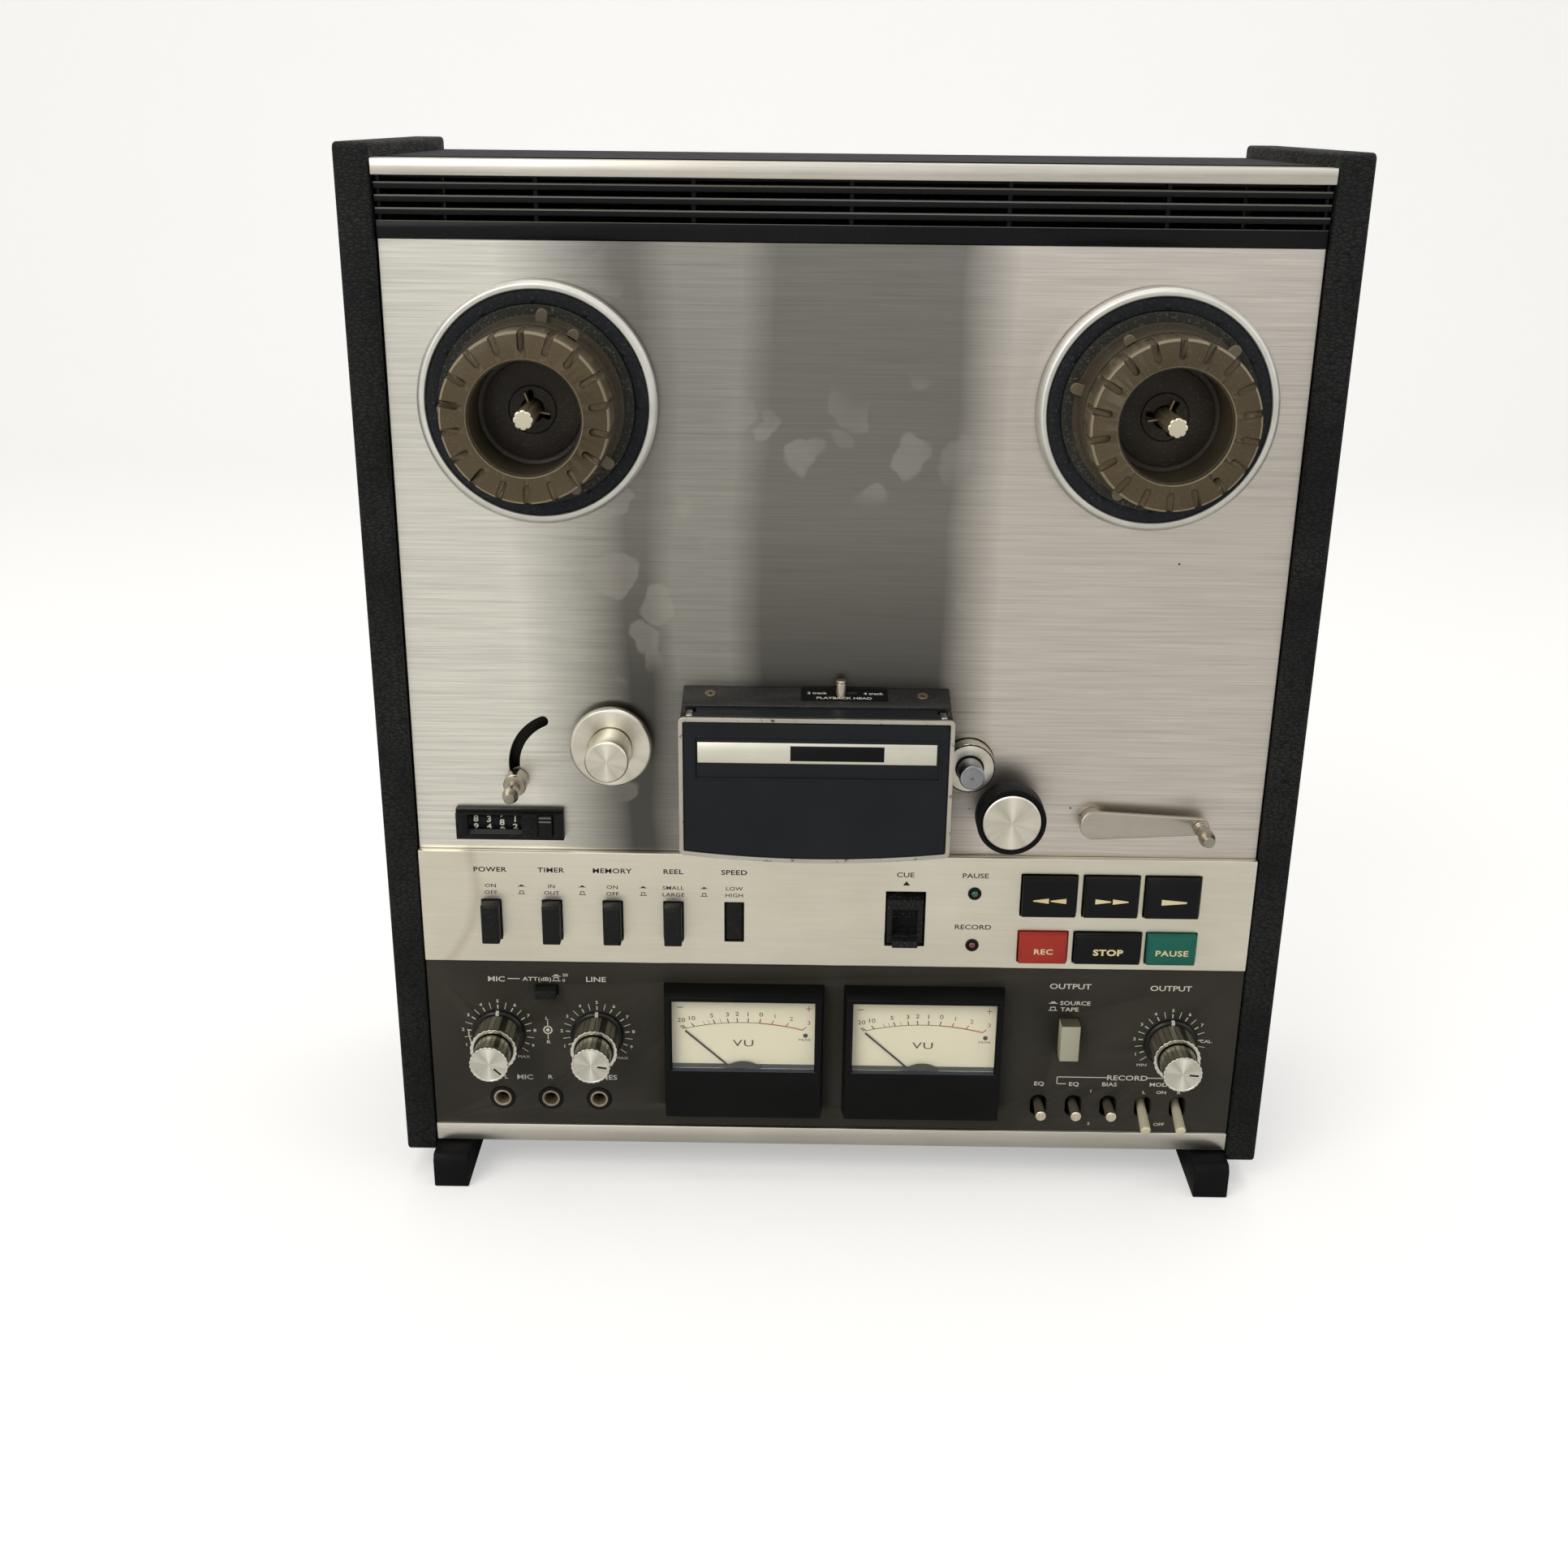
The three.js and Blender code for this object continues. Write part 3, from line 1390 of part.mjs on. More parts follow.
// Right tension arm: a tapered lever in front of the deck plate
function rightTensionArm() {
  const lever = sheet(
    capsule(0, 0, rightArmRootRadius, rightArmLength, 0, rightArmEndRadius),
    rightArmReach - rightArmThickness,
    rightArmReach,
    8,
  );
  const boss = disc(rightArmBossRadius, deckFaceReach + fitGap, rightArmReach - fitGap, mediumSides);
  const shaft = disc(rightArmShaftRadius, chassisBackReach - fitGap, rightArmReach - fitGap, smallSides);
  const guide = guidePost(rightArmReach - fitGap, rightCollarRadius, rightCollarLength);
  return join(lever, boss, shaft, guide.translate([rightArmLength, 0, 0]));
}
place('right_tension_arm', rightTensionArm(), brightMetal, rightArmX, 0, rightArmZ);

// Tape counter: housing with a window over the number drums, and its reset button
function counterHousing() {
  const bodyWidth = counterWidth - 2 * counterBevel;
  const bodyHeight = counterHeight - 2 * counterBevel;
  const rimBack = deckFaceReach + fitGap;
  let body = stub(counterWidth, counterHeight, rimBack, counterReach - counterBevel);
  const bevelled = outline([
    [-counterWidth / 2, -counterHeight / 2],
    [counterWidth / 2, -counterHeight / 2],
    [counterWidth / 2, counterHeight / 2 - counterBevel],
    [-counterWidth / 2, counterHeight / 2 - counterBevel],
  ]);
  body = body.add(sheet(bevelled, rimBack, counterReach));
  body = body.add(stub(bodyWidth, bodyHeight, -counterDepth, rimBack + fitGap));
  const windowX = counterWindowX - counterX;
  body = body.subtract(
    stub(counterWindowWidth, counterWindowHeight, -counterDrumSetback, counterReach + cutOver, windowX),
  );
  const drumHalf = counterWindowWidth / 2 + fitGap;
  body = body.add(
    crossBar(counterDrumRadius, windowX - drumHalf, windowX + drumHalf, counterDrumSetback, 0, smallSides),
  );
  const openWidth = resetWidth + 2 * runGap;
  const openHeight = resetHeight + 2 * runGap;
  return body.subtract(
    stub(openWidth, openHeight, -resetDepth - counterBevel, counterReach + cutOver, resetX - counterX),
  );
}
place('counter_housing', counterHousing(), mattBlack, counterX, 0, counterZ);
const resetButton = stub(resetWidth, resetHeight, 2 * counterBevel - resetDepth, resetReach);
place('counter_reset_button', resetButton, mattBlack, resetX, 0, counterZ);

// Push switches: four stand out, the last one is pressed in
function bevelledKey(width, height, backReach, frontReach, bevel) {
  const back = stub(width, height, backReach, frontReach - bevel);
  const shape = rectangle(-width / 2, width / 2, -height / 2, height / 2);
  const crown = new THREE.ExtrudeGeometry(shape, {
    depth: 0,
    bevelEnabled: true,
    bevelThickness: bevel,
    bevelSize: bevel,
    bevelOffset: -bevel,
    bevelSegments: 1,
  });
  crown.rotateX(Math.PI / 2);
  crown.translate(0, -(frontReach - bevel), 0);
  return back.add(solid(crown));
}
const switchNames = ['power_switch', 'timer_switch', 'memory_switch', 'reel_size_switch', 'speed_switch'];
switchNames.forEach((name, i) => {
  const pressed = i === switchCount - 1 ? switchTravel : 0;
  const width = switchOpeningWidth - 2 * switchGap;
  const height = switchOpeningHeight - 2 * switchGap;
  const body = bevelledKey(width, height, switchReach - switchDepth, switchReach, switchBevel / 2);
  place(name, body, mattBlack, switchFirstX + i * switchPitch, pressed, switchZ);
});

// Cue lever: a finger pocket between two side walls, a ledge above it and a lip below it
function cueLever() {
  const width = cueOpeningWidth - 2 * cueGap;
  const top = cueOpeningHeight / 2 - cueGap;
  const browTop = top - cueLedgeHeight;
  const pocketTop = browTop - cueBrowHeight;
  const pocketBottom = pocketTop - cuePocketHeight;
  const back = cuePivotSetback + 2 * cuePinRadius;
  const shape = outline([
    [cueFaceSetback, -top],
    [cueFaceSetback, browTop],
    [cueLedgeSetback, top],
    [back, 2 * cuePinRadius],
    [back, -2 * cuePinRadius],
    [cueLedgeSetback, -top],
  ]);
  const lip = outline([
    [-cueLipReach, -top],
    [-cueLipReach, cueLipHeight - top],
    [cuePocketSetback, cueLipHeight - top],
    [cuePocketSetback, -top],
  ]);
  const body = section(shape, -width / 2, width / 2);
  const pocketHalf = cuePocketWidth / 2;
  const pocket = block(-pocketHalf, pocketHalf, -cutOver, cuePocketSetback, pocketBottom, pocketTop);
  const pinHalf = cueOpeningWidth / 2 + cueLugWidth;
  return join(
    body.subtract(pocket),
    section(lip, -pocketHalf, pocketHalf),
    crossBar(cuePinRadius, -pinHalf, pinHalf, cuePivotSetback, 0, tinySides),
  );
}
place('cue_lever', cueLever(), mattBlack, cueX, 0, cueZ);

// Transport keys
for (const [name, x, z, width, height, material] of keys) {
  place(name, bevelledKey(width, height, keyReach - keyDepth, keyReach, keyBevel), material, x, 0, z);
}

// Twin knobs: an outer knob with a skirt, and an inner knob whose shaft runs through it
function outerKnob() {
  const skirtBack = panelReach + fitGap;
  const skirtFront = skirtBack + knobSkirtThickness;
  const tubeBack = skirtBack - knobTubeLength;
  const bore = knobShaftRadius + runGap;
  return turned([
    [bore, tubeBack],
    [knobTubeRadius, tubeBack],
    [knobTubeRadius, skirtBack],
    [knobSkirtRadius, skirtBack],
    [knobSkirtRadius, skirtFront - knobSkirtBevel],
    [knobSkirtRadius - knobSkirtBevel, skirtFront],
    [knobBarrelRadius, skirtFront],
    [knobBarrelRadius, knobOuterReach - knobRingWidth],
    [knobRingRadius, knobOuterReach - knobRingWidth],
    [knobRingRadius, knobOuterReach],
    [bore, knobOuterReach],
    [bore, tubeBack],
  ], mediumSides);
}
function innerKnob() {
  const shaftBack = panelReach - knobShaftLength;
  const barrelBack = knobOuterReach + fitGap;
  return turned([
    [0, shaftBack],
    [knobShaftRadius, shaftBack],
    [knobShaftRadius, barrelBack],
    [knobCapBarrelRadius, barrelBack],
    [knobCapBarrelRadius, knobCapReach - knobRingWidth],
    [knobCapRadius, knobCapReach - knobRingWidth],
    [knobCapRadius, knobCapReach],
    [0, knobCapReach],
  ], mediumSides);
}
for (const [name, x] of [['mic', micKnobX], ['line', lineKnobX], ['output', outputKnobX]]) {
  place(name + '_outer_knob', outerKnob(), brightMetal, x, 0, knobZ);
  place(name + '_inner_knob', innerKnob(), brightMetal, x, 0, knobZ);
}

// Attenuator and output buttons
place(
  'attenuator_button',
  stub(attOpeningWidth - 2 * buttonGap, attOpeningHeight - 2 * buttonGap, attReach - buttonDepth, attReach),
  mattBlack,
  attX,
  0,
  attZ,
);
const outputWidth = outputOpeningWidth - 2 * buttonGap;
const outputHeight = outputOpeningHeight - 2 * buttonGap;
place(
  'output_button',
  stub(outputWidth, outputHeight, outputReach - buttonDepth, outputReach),
  buttonGrey,
  outputX,
  0,
  outputZ,
);

// Jacks: three sockets on one bracket behind the lower panel
function jackBracket() {
  const bracketFront = -lowerPanelBack - fitGap;
  const bracketBack = bracketFront - jackBracketSheet;
  const span = (jackCount - 1) * jackPitch;
  const halfWidth = span / 2 + jackBodyRadius;
  const halfHeight = jackBracketHeight / 2;
  let body = sheet(rectangle(-halfWidth, halfWidth, -halfHeight, halfHeight), bracketBack, bracketFront);
  for (let i = 0; i < jackCount; i += 1) {
    const x = (i - (jackCount - 1) / 2) * jackPitch;
    body = body.add(disc(jackBodyRadius, bracketFront - jackDepth, bracketBack + fitGap, smallSides, x));
    body = body.add(disc(jackNutRadius, bracketBack, panelReach + jackNutReach, smallSides, x));
    body = body.add(disc(jackSleeveRadius, bracketBack, panelReach + 2 * jackNutReach, smallSides, x));
    body = body.subtract(disc(jackBoreRadius, bracketFront - jackDepth - cutOver, cutOver, smallSides, x));
  }
  return body;
}
place('jack_bracket', jackBracket(), mattBlack, jackX, 0, jackZ);

// Toggle levers: three short ones stand straight out, two longer ones rest tilted down
function toggleLever(length) {
  const rod = turned([
    [0, 0],
    [toggleRootRadius, 0],
    [toggleTipRadius, length - fitGap],
    [toggleTipRadius - fitGap, length],
    [0, length],
  ], smallSides);
  const ball = solid(new THREE.SphereGeometry(toggleBallRadius, tinySides, tinySides / 2));
  const pinHalf = toggleSlotWidth / 2 + togglePinOverhang;
  const pin = crossBar(togglePinRadius, -pinHalf, pinHalf, 0, 0, tinySides);
  return join(rod, ball, pin);
}
const toggleNames = [
  'equaliser_lever',
  'record_equaliser_lever',
  'bias_lever',
  'left_record_lever',
  'right_record_lever',
];
toggleNames.forEach((name, i) => {
  const long = i > 2;
  const body = toggleLever(long ? longToggleLength : shortToggleReach + togglePivotSetback);
  const mesh = place(name, body, brightMetal, toggleX + i * togglePitch, togglePivotSetback, toggleZ);
  mesh.rotation.x = long ? radians(longToggleTilt) : 0;
});

// Level meters: a tapered case with an open window, and a needle on a pivot behind its sill
function meterCase() {
  const half = meterWidth / 2;
  const tall = meterHeight / 2;
  const back = panelReach + fitGap;
  const flangeGeometry = new THREE.BoxGeometry(meterWidth, meterReach - back, meterHeight);
  const corners = flangeGeometry.attributes.position;
  for (let i = 0; i < corners.count; i += 1) {
    if (corners.getY(i) < 0) {
      const top = corners.getZ(i) > 0;
      corners.setX(i, Math.sign(corners.getX(i)) * (half - meterTaperSide));
      corners.setZ(i, top ? tall - meterTaperTop : meterTaperBottom - tall);
    }
  }
  flangeGeometry.translate(0, -(meterReach + back) / 2, meterZ);
  let body = solid(flangeGeometry);
  const bodyWidth = meterWidth - 2 * meterBodyInset;
  const bodyHeight = meterHeight - 2 * meterBodyInset;
  body = body.add(stub(bodyWidth, bodyHeight, -meterDepth, back + fitGap, 0, meterZ));
  const windowCut = block(
    -meterWindowWidth / 2,
    meterWindowWidth / 2,
    -meterReach - cutOver,
    -meterDialReach,
    meterWindowBottom,
    meterWindowTop,
  );
  const pocketCut = block(
    -meterPocketWidth / 2,
    meterPocketWidth / 2,
    -meterReach + meterBodyInset,
    -meterDialReach,
    meterPocketBottom,
    meterPocketTop,
  );
  return cut(body, windowCut, pocketCut);
}
function meterNeedle() {
  const back = meterDialReach + fitGap;
  const bladeBack = back + needleLift;
  const bladeFront = bladeBack + needleThickness;
  const blade = stub(needleWidth, needleLength, bladeBack, bladeFront, 0, needleLength / 2);
  const hub = disc(needleHubRadius, back, back + needleHubLength, tinySides);
  return blade.add(hub);
}
for (const [side, name] of [[-1, 'left'], [1, 'right']]) {
  place(name + '_meter_case', meterCase(), mattBlack, side * meterX);
  const needle = place(name + '_meter_needle', meterNeedle(), mattBlack, side * meterX, 0, needlePivotZ);
  needle.rotation.y = -radians(needleRestAngle);
}

// The part's origin: under the middle of the whole deck, on the surface it stands on
deck.position.set(0, (spindleReach - boardDepth) / 2, footDrop);
const part = new THREE.Group();
part.add(deck);

export default part;
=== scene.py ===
# The looks of a reel-to-reel tape deck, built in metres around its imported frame.
# Places are written as the deck's maker would measure them, in millimetres: x from the middle,
# reach forward of the side boards' front plane, z above the boards' lower edge.
import math

import bmesh
import bpy
from mathutils import Matrix, Vector


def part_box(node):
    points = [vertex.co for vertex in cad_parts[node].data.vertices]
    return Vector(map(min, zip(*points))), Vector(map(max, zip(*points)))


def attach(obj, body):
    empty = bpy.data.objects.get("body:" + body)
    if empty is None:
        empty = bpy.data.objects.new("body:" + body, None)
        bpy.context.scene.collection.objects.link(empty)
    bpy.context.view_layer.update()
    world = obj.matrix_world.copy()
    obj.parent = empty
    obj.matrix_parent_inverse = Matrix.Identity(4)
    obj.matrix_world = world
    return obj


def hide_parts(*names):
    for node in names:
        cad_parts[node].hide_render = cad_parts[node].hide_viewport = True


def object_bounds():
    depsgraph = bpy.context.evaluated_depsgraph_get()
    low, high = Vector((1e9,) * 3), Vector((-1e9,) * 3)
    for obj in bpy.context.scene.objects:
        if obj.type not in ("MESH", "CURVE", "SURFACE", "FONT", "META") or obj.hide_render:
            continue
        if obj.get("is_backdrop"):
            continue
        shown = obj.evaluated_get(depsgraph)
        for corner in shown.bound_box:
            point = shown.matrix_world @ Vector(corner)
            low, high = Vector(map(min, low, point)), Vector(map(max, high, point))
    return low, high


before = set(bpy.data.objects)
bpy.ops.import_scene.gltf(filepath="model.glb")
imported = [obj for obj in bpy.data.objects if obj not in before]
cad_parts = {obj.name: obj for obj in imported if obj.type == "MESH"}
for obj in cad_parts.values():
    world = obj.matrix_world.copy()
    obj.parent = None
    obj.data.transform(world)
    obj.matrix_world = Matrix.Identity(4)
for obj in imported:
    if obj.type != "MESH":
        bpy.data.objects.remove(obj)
cad_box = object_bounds()

# Camera: it stands in front of the deck a little above its top, looks down at it, and is turned
# and rolled by a fraction of a degree.
camera_place = (-0.02105, -0.85687, 0.52644)
camera_turn = math.radians(0.3955)
camera_tilt = math.radians(20.909)
camera_roll = math.radians(0.6244)
camera_lens = 40.364


def placed(name, data):
    """A new object in the scene."""
    made = bpy.data.objects.new(name, data)
    bpy.context.scene.collection.objects.link(made)
    return made


camera_data = bpy.data.cameras.new("camera")
camera_data.lens = camera_lens
camera = placed("camera", camera_data)
turn = Matrix.Rotation(camera_turn, 4, "Z")
tilt = Matrix.Rotation(math.pi / 2 - camera_tilt, 4, "X")
roll = Matrix.Rotation(camera_roll, 4, "Z")
camera.matrix_world = Matrix.Translation(camera_place) @ turn @ tilt @ roll
bpy.context.scene.camera = camera
bpy.context.scene.view_settings.view_transform = "Standard"

# Studio: three soft panels and a pale world, at a level where a colour renders as it is written.
# The world looks white to the camera and in metal and glass.
world_light = 0.42
world_seen = 0.93
world_tone = (1.0, 0.99, 0.97, 1)
lamp_panels = {
    "key_panel": ((-1.3, -1.7, 1.9), 1.6, 26.0, (1.0, 0.97, 0.92)),
    "side_panel": ((1.9, -0.7, 1.3), 1.2, 4.0, (0.93, 0.96, 1.0)),
    "top_panel": ((0.1, 0.3, 2.3), 1.8, 14.0, (1.0, 0.98, 0.95)),
}
lamp_target = Vector((0, 0, 0.22))


class Sketch:
    """The nodes of one material, world or shape tree."""

    def __init__(self, tree):
        self.tree = tree

    def node(self, kind, settings=None, **inputs):
        """A new node. An input is named, or i and its number, and takes a value or a socket."""
        made = self.tree.nodes.new(kind)
        for name, value in (settings or {}).items():
            setattr(made, name, value)
        for name, value in inputs.items():
            number = name[1:]
            key = int(number) if name[0] == "i" and number.isdigit() else name.replace("_", " ")
            if isinstance(value, bpy.types.NodeSocket):
                self.tree.links.new(value, made.inputs[key])
            else:
                made.inputs[key].default_value = value
        return made

    def math(self, operation, *values):
        inputs = {f"i{i}": value for i, value in enumerate(values)}
        return self.node("ShaderNodeMath", {"operation": operation}, **inputs).outputs[0]

    def times(self, first, *others):
        for value in others:
            first = self.math("MULTIPLY", first, value)
        return first

    def between(self, value, low, high, to_low=0.0, to_high=1.0):
        """A value's place in a span, carried over to another span."""
        span = {"From_Min": low, "From_Max": high, "To_Min": to_low, "To_Max": to_high}
        return self.node("ShaderNodeMapRange", Value=value, **span).outputs[0]

    def mix(self, share, first, second):
        return self.node("ShaderNodeMix", {"data_type": "RGBA"}, i0=share, i6=first, i7=second).outputs[2]

    def part(self, vector, axis):
        return self.node("ShaderNodeSeparateXYZ", Vector=vector).outputs[axis]

    def facing(self, axis, kind="True Normal"):
        """How far a face looks along an axis."""
        return self.part(self.node("ShaderNodeNewGeometry").outputs[kind], axis)


world = bpy.data.worlds.new("studio_world")
world.use_nodes = True
bpy.context.scene.world = world
sky = Sketch(world.node_tree)
path = sky.node("ShaderNodeLightPath").outputs
seen = sky.math("MAXIMUM", path["Is Camera Ray"], path["Is Transmission Ray"])
seen = sky.math("MAXIMUM", seen, path["Is Glossy Ray"])
backdrop = world.node_tree.nodes["Background"]
backdrop.inputs["Color"].default_value = world_tone
world.node_tree.links.new(sky.between(seen, 0, 1, world_light, world_seen), backdrop.inputs["Strength"])
for name, (place, size, watts, tint) in lamp_panels.items():
    panel = bpy.data.lights.new(name, "AREA")
    panel.size = size
    panel.energy = watts
    panel.color = tint
    facing = (lamp_target - Vector(place)).to_track_quat("-Z", "Y").to_matrix().to_4x4()
    placed(name, panel).matrix_world = Matrix.Translation(place) @ facing

# Floor: a plain pale sheet of paper under the deck that curves up behind it. It has a faint mottle,
# and it is whitened where the camera sees it.
floor_half = 4.0
floor_front = -4.0
floor_back = 1.9
floor_bend = 0.8
floor_top = 3.2
bend_steps = 24
paper_rough = 0.75
paper_whitening = 0.42


def link(sketch, value, socket):
    sketch.tree.links.new(value, sketch.shader.inputs[socket])


def finish(name, tone, rough, metal=0.0, specular=0.5, **sockets):
    """A material with one shader, its plain values set, and the sketch to draw on it."""
    made = bpy.data.materials.new(name)
    made.use_nodes = True
    sketch = Sketch(made.node_tree)
    sketch.made = made
    sketch.shader = made.node_tree.nodes["Principled BSDF"]
    plain = {"Base Color": tone, "Roughness": rough, "Metallic": metal, "Specular IOR Level": specular}
    for socket, value in (plain | sockets).items():
        sketch.shader.inputs[socket.replace("_", " ")].default_value = value
    sketch.spot = sketch.node("ShaderNodeTexCoord").outputs["Object"]
    return sketch


floor_line = [(floor_front, 0.0)]
for step in range(bend_steps + 1):
    angle = step / bend_steps * math.pi / 2
    floor_line.append((floor_back + floor_bend * math.sin(angle), floor_bend * (1 - math.cos(angle))))
floor_line.append((floor_back + floor_bend, floor_top))
floor_points = [(side * floor_half, y, z) for y, z in floor_line for side in (-1, 1)]
floor_faces = [(2 * i, 2 * i + 1, 2 * i + 3, 2 * i + 2) for i in range(len(floor_line) - 1)]
floor_mesh = bpy.data.meshes.new("floor")
floor_mesh.from_pydata(floor_points, [], floor_faces)
floor_mesh.shade_smooth()
floor = placed("floor", floor_mesh)
paper = finish("floor_paper", (0.8, 0.8, 0.8, 1), paper_rough, Emission_Color=(1, 1, 1, 1))
mottle = paper.node("ShaderNodeTexNoise", Vector=paper.spot, Scale=3.0, Detail=3.0).outputs["Fac"]
link(paper, paper.mix(mottle, (0.81, 0.80, 0.78, 1), (0.83, 0.82, 0.80, 1)), "Base Color")
seen_paper = paper.node("ShaderNodeLightPath").outputs["Is Camera Ray"]
link(paper, paper.times(seen_paper, paper_whitening), "Emission Strength")
floor_mesh.materials.append(paper.made)
floor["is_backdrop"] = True

# Side boards: particle board covered in black grained vinyl, with rounded corners and edges.
# They carry everything between them.
mm = 0.001
front_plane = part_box("left_side_board")[0].y
board_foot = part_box("left_side_board")[0].z
board_corner = 3.0
board_round = 1.5
dust_tone = (150, 146, 136)
side_names = ("left", "right")


def at(x, reach, z):
    """A place on the deck, in the scene's metres."""
    return Vector((x * mm, front_plane - reach * mm, board_foot + z * mm))


def srgb(red, green, blue):
    """A colour as it is seen, 0 to 255, turned into the light it stands for."""
    parts = [value / 255 for value in (red, green, blue)]
    light = [v / 12.92 if v <= 0.04045 else ((v + 0.055) / 1.055) ** 2.4 for v in parts]
    return (*light, 1.0)


def stretched(sketch, scale, stretch=(1, 1, 1), detail=3.0, blur=0.5):
    """Noise on the object's own coordinates, with its grain drawn out along an axis."""
    vector = sketch.node("ShaderNodeMapping", Vector=sketch.spot, Scale=stretch).outputs[0]
    inputs = {"Vector": vector, "Scale": scale, "Detail": detail, "Roughness": blur}
    return sketch.node("ShaderNodeTexNoise", **inputs).outputs["Fac"]


def emboss(sketch, height, strength, depth):
    """Relief: the depth is in millimetres."""
    bump = sketch.node("ShaderNodeBump", Strength=strength, Distance=depth * mm, Height=height)
    link(sketch, bump.outputs[0], "Normal")


def tinted(sketch, share, tone):
    """Another tone laid over the colour that the material already has."""
    under = sketch.shader.inputs["Base Color"].links[0].from_socket
    link(sketch, sketch.mix(share, under, tone), "Base Color")


def moulded(name, tone, dark, rough, grain=1400.0, depth=0.05, specular=0.2, metal=0.0, dust=0.0):
    """Moulded or painted stuff: cloudy tone, an even fine grain, and a little dust or handling."""
    sketch = finish(name, tone, rough, metal, specular)
    cloud = stretched(sketch, 22.0, detail=5.0)
    link(sketch, sketch.mix(sketch.between(cloud, 0.3, 0.7), dark, tone), "Base Color")
    if dust:
        speck = stretched(sketch, 900.0, detail=2.0)
        veil = stretched(sketch, 60.0, detail=4.0, blur=0.65)
        tinted(sketch, sketch.times(sketch.between(speck, 0.56, 0.72, 0, dust), veil), srgb(*dust_tone))
    worn = stretched(sketch, 130.0, detail=6.0, blur=0.6)
    link(sketch, sketch.between(worn, 0.25, 0.75, rough - 0.07, rough + 0.09), "Roughness")
    emboss(sketch, stretched(sketch, grain, detail=2.0), 0.35, depth)
    return sketch


def show(name, mesh, paint, body="deck_body", slot="matt_black", replaced=None):
    """One finished piece: its mesh, its material and what it stands for in the frame."""
    piece = placed(name, mesh)
    mesh.materials.clear()
    mesh.materials.append(paint.made)
    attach(piece, body)
    if replaced:
        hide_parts(replaced)


def plain_mesh(piece):
    """The piece's evaluated shape as a mesh of its own, and the piece itself removed."""
    shape = bpy.data.meshes.new_from_object(piece.evaluated_get(bpy.context.evaluated_depsgraph_get()))
    bpy.data.objects.remove(piece)
    return shape


def faceted(mesh, angle=34):
    """The mesh, shaded smooth between its sharp edges."""
    mesh.shade_smooth()
    mesh.set_sharp_from_angle(angle=math.radians(angle))
    return mesh


def softened(mesh, width, segments=3, angle=30):
    """The mesh with all its edges rounded by a bevel."""
    piece = placed("draft", mesh)
    bevel = piece.modifiers.new("round", "BEVEL")
    bevel.width = width * mm
    bevel.segments = segments
    bevel.limit_method = "ANGLE"
    bevel.angle_limit = math.radians(angle)
    bevel.harden_normals = True
    return plain_mesh(piece)


def smooth(mesh, width, segments=3, angle=30, sharp=34):
    return faceted(softened(mesh, width, segments, angle), sharp)


def meshed(build):
    mesh = bpy.data.meshes.new("shape")
    bmesh.ops.recalc_face_normals(build, faces=build.faces)
    build.to_mesh(mesh)
    build.free()
    return mesh


def dressed(name, node, width, paint, body="deck_body", slot="matt_black", segments=3):
    """A piece that copies a frame node, with its flat faces joined and its edges rounded."""
    build = bmesh.new()
    build.from_mesh(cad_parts[node].data)
    bmesh.ops.remove_doubles(build, verts=build.verts, dist=0.01 * mm)
    flat = math.radians(0.5)
    bmesh.ops.dissolve_limit(build, angle_limit=flat, verts=build.verts, edges=build.edges)
    show(name, smooth(meshed(build), width, segments), paint, body, slot, node)


def repainted(node, paint):
    """A frame node that is shown itself, in another material."""
    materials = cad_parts[node].data.materials
    materials.clear()
    materials.append(paint.made)


def lofted(rows):
    """A closed solid through rows of places, with a face on its first and on its last row."""
    build = bmesh.new()
    rings = [[build.verts.new(place) for place in row] for row in rows]
    build.faces.new(rings[0])
    build.faces.new(rings[-1])
    for low, high in zip(rings, rings[1:]):
        for i in range(len(low)):
            following = (i + 1) % len(low)
            build.faces.new((low[i], low[following], high[following], high[i]))
    return meshed(build)


def slab(points, back, front):
    """A solid between two reaches over an outline of x and z."""
    return lofted([[at(x, reach, z) for x, z in points] for reach in (back, front)])


def on_circle(x, z, radius, angle):
    return x + radius * math.cos(math.radians(angle)), z + radius * math.sin(math.radians(angle))


def arc(x, z, radius, start, end, steps=8):
    """Points on an arc from one angle to another, in degrees."""
    return [on_circle(x, z, radius, start + (end - start) * i / steps) for i in range(steps + 1)]


def rounded(left, right, bottom, top, radius, steps=6):
    """A rectangle's outline with rounded corners."""
    corners = [
        (right - radius, bottom + radius, -90),
        (right - radius, top - radius, 0),
        (left + radius, top - radius, 90),
        (left + radius, bottom + radius, 180),
    ]
    points = []
    for x, z, start in corners:
        points += arc(x, z, radius, start, start + 90, steps)
    return points


def merged(meshes):
    """Several meshes as one."""
    build = bmesh.new()
    for mesh in meshes:
        build.from_mesh(mesh)
    whole = bpy.data.meshes.new("shape")
    build.to_mesh(whole)
    build.free()
    return whole


vinyl = finish("vinyl_board_grain", srgb(34, 34, 36), 0.5, specular=0.1)
lying = vinyl.node("ShaderNodeMapping", Vector=vinyl.spot, Scale=(0.45, 0.45, 1.0)).outputs[0]
pebble = {"Vector": lying, "Scale": 700.0, "Randomness": 1.0}
creases = vinyl.node("ShaderNodeTexVoronoi", {"feature": "DISTANCE_TO_EDGE"}, **pebble).outputs[0]
ripple = stretched(vinyl, 380.0, (0.5, 0.5, 1), detail=4.0)
relief = vinyl.math("ADD", vinyl.between(creases, 0.0, 0.35), vinyl.times(ripple, 0.9))
rubbed = vinyl.between(stretched(vinyl, 26.0, detail=5.0), 0.35, 0.75)
worn_tone = vinyl.mix(rubbed, srgb(28, 29, 29), srgb(48, 48, 48))
link(vinyl, vinyl.mix(vinyl.between(creases, 0.0, 0.18), srgb(15, 15, 16), worn_tone), "Base Color")
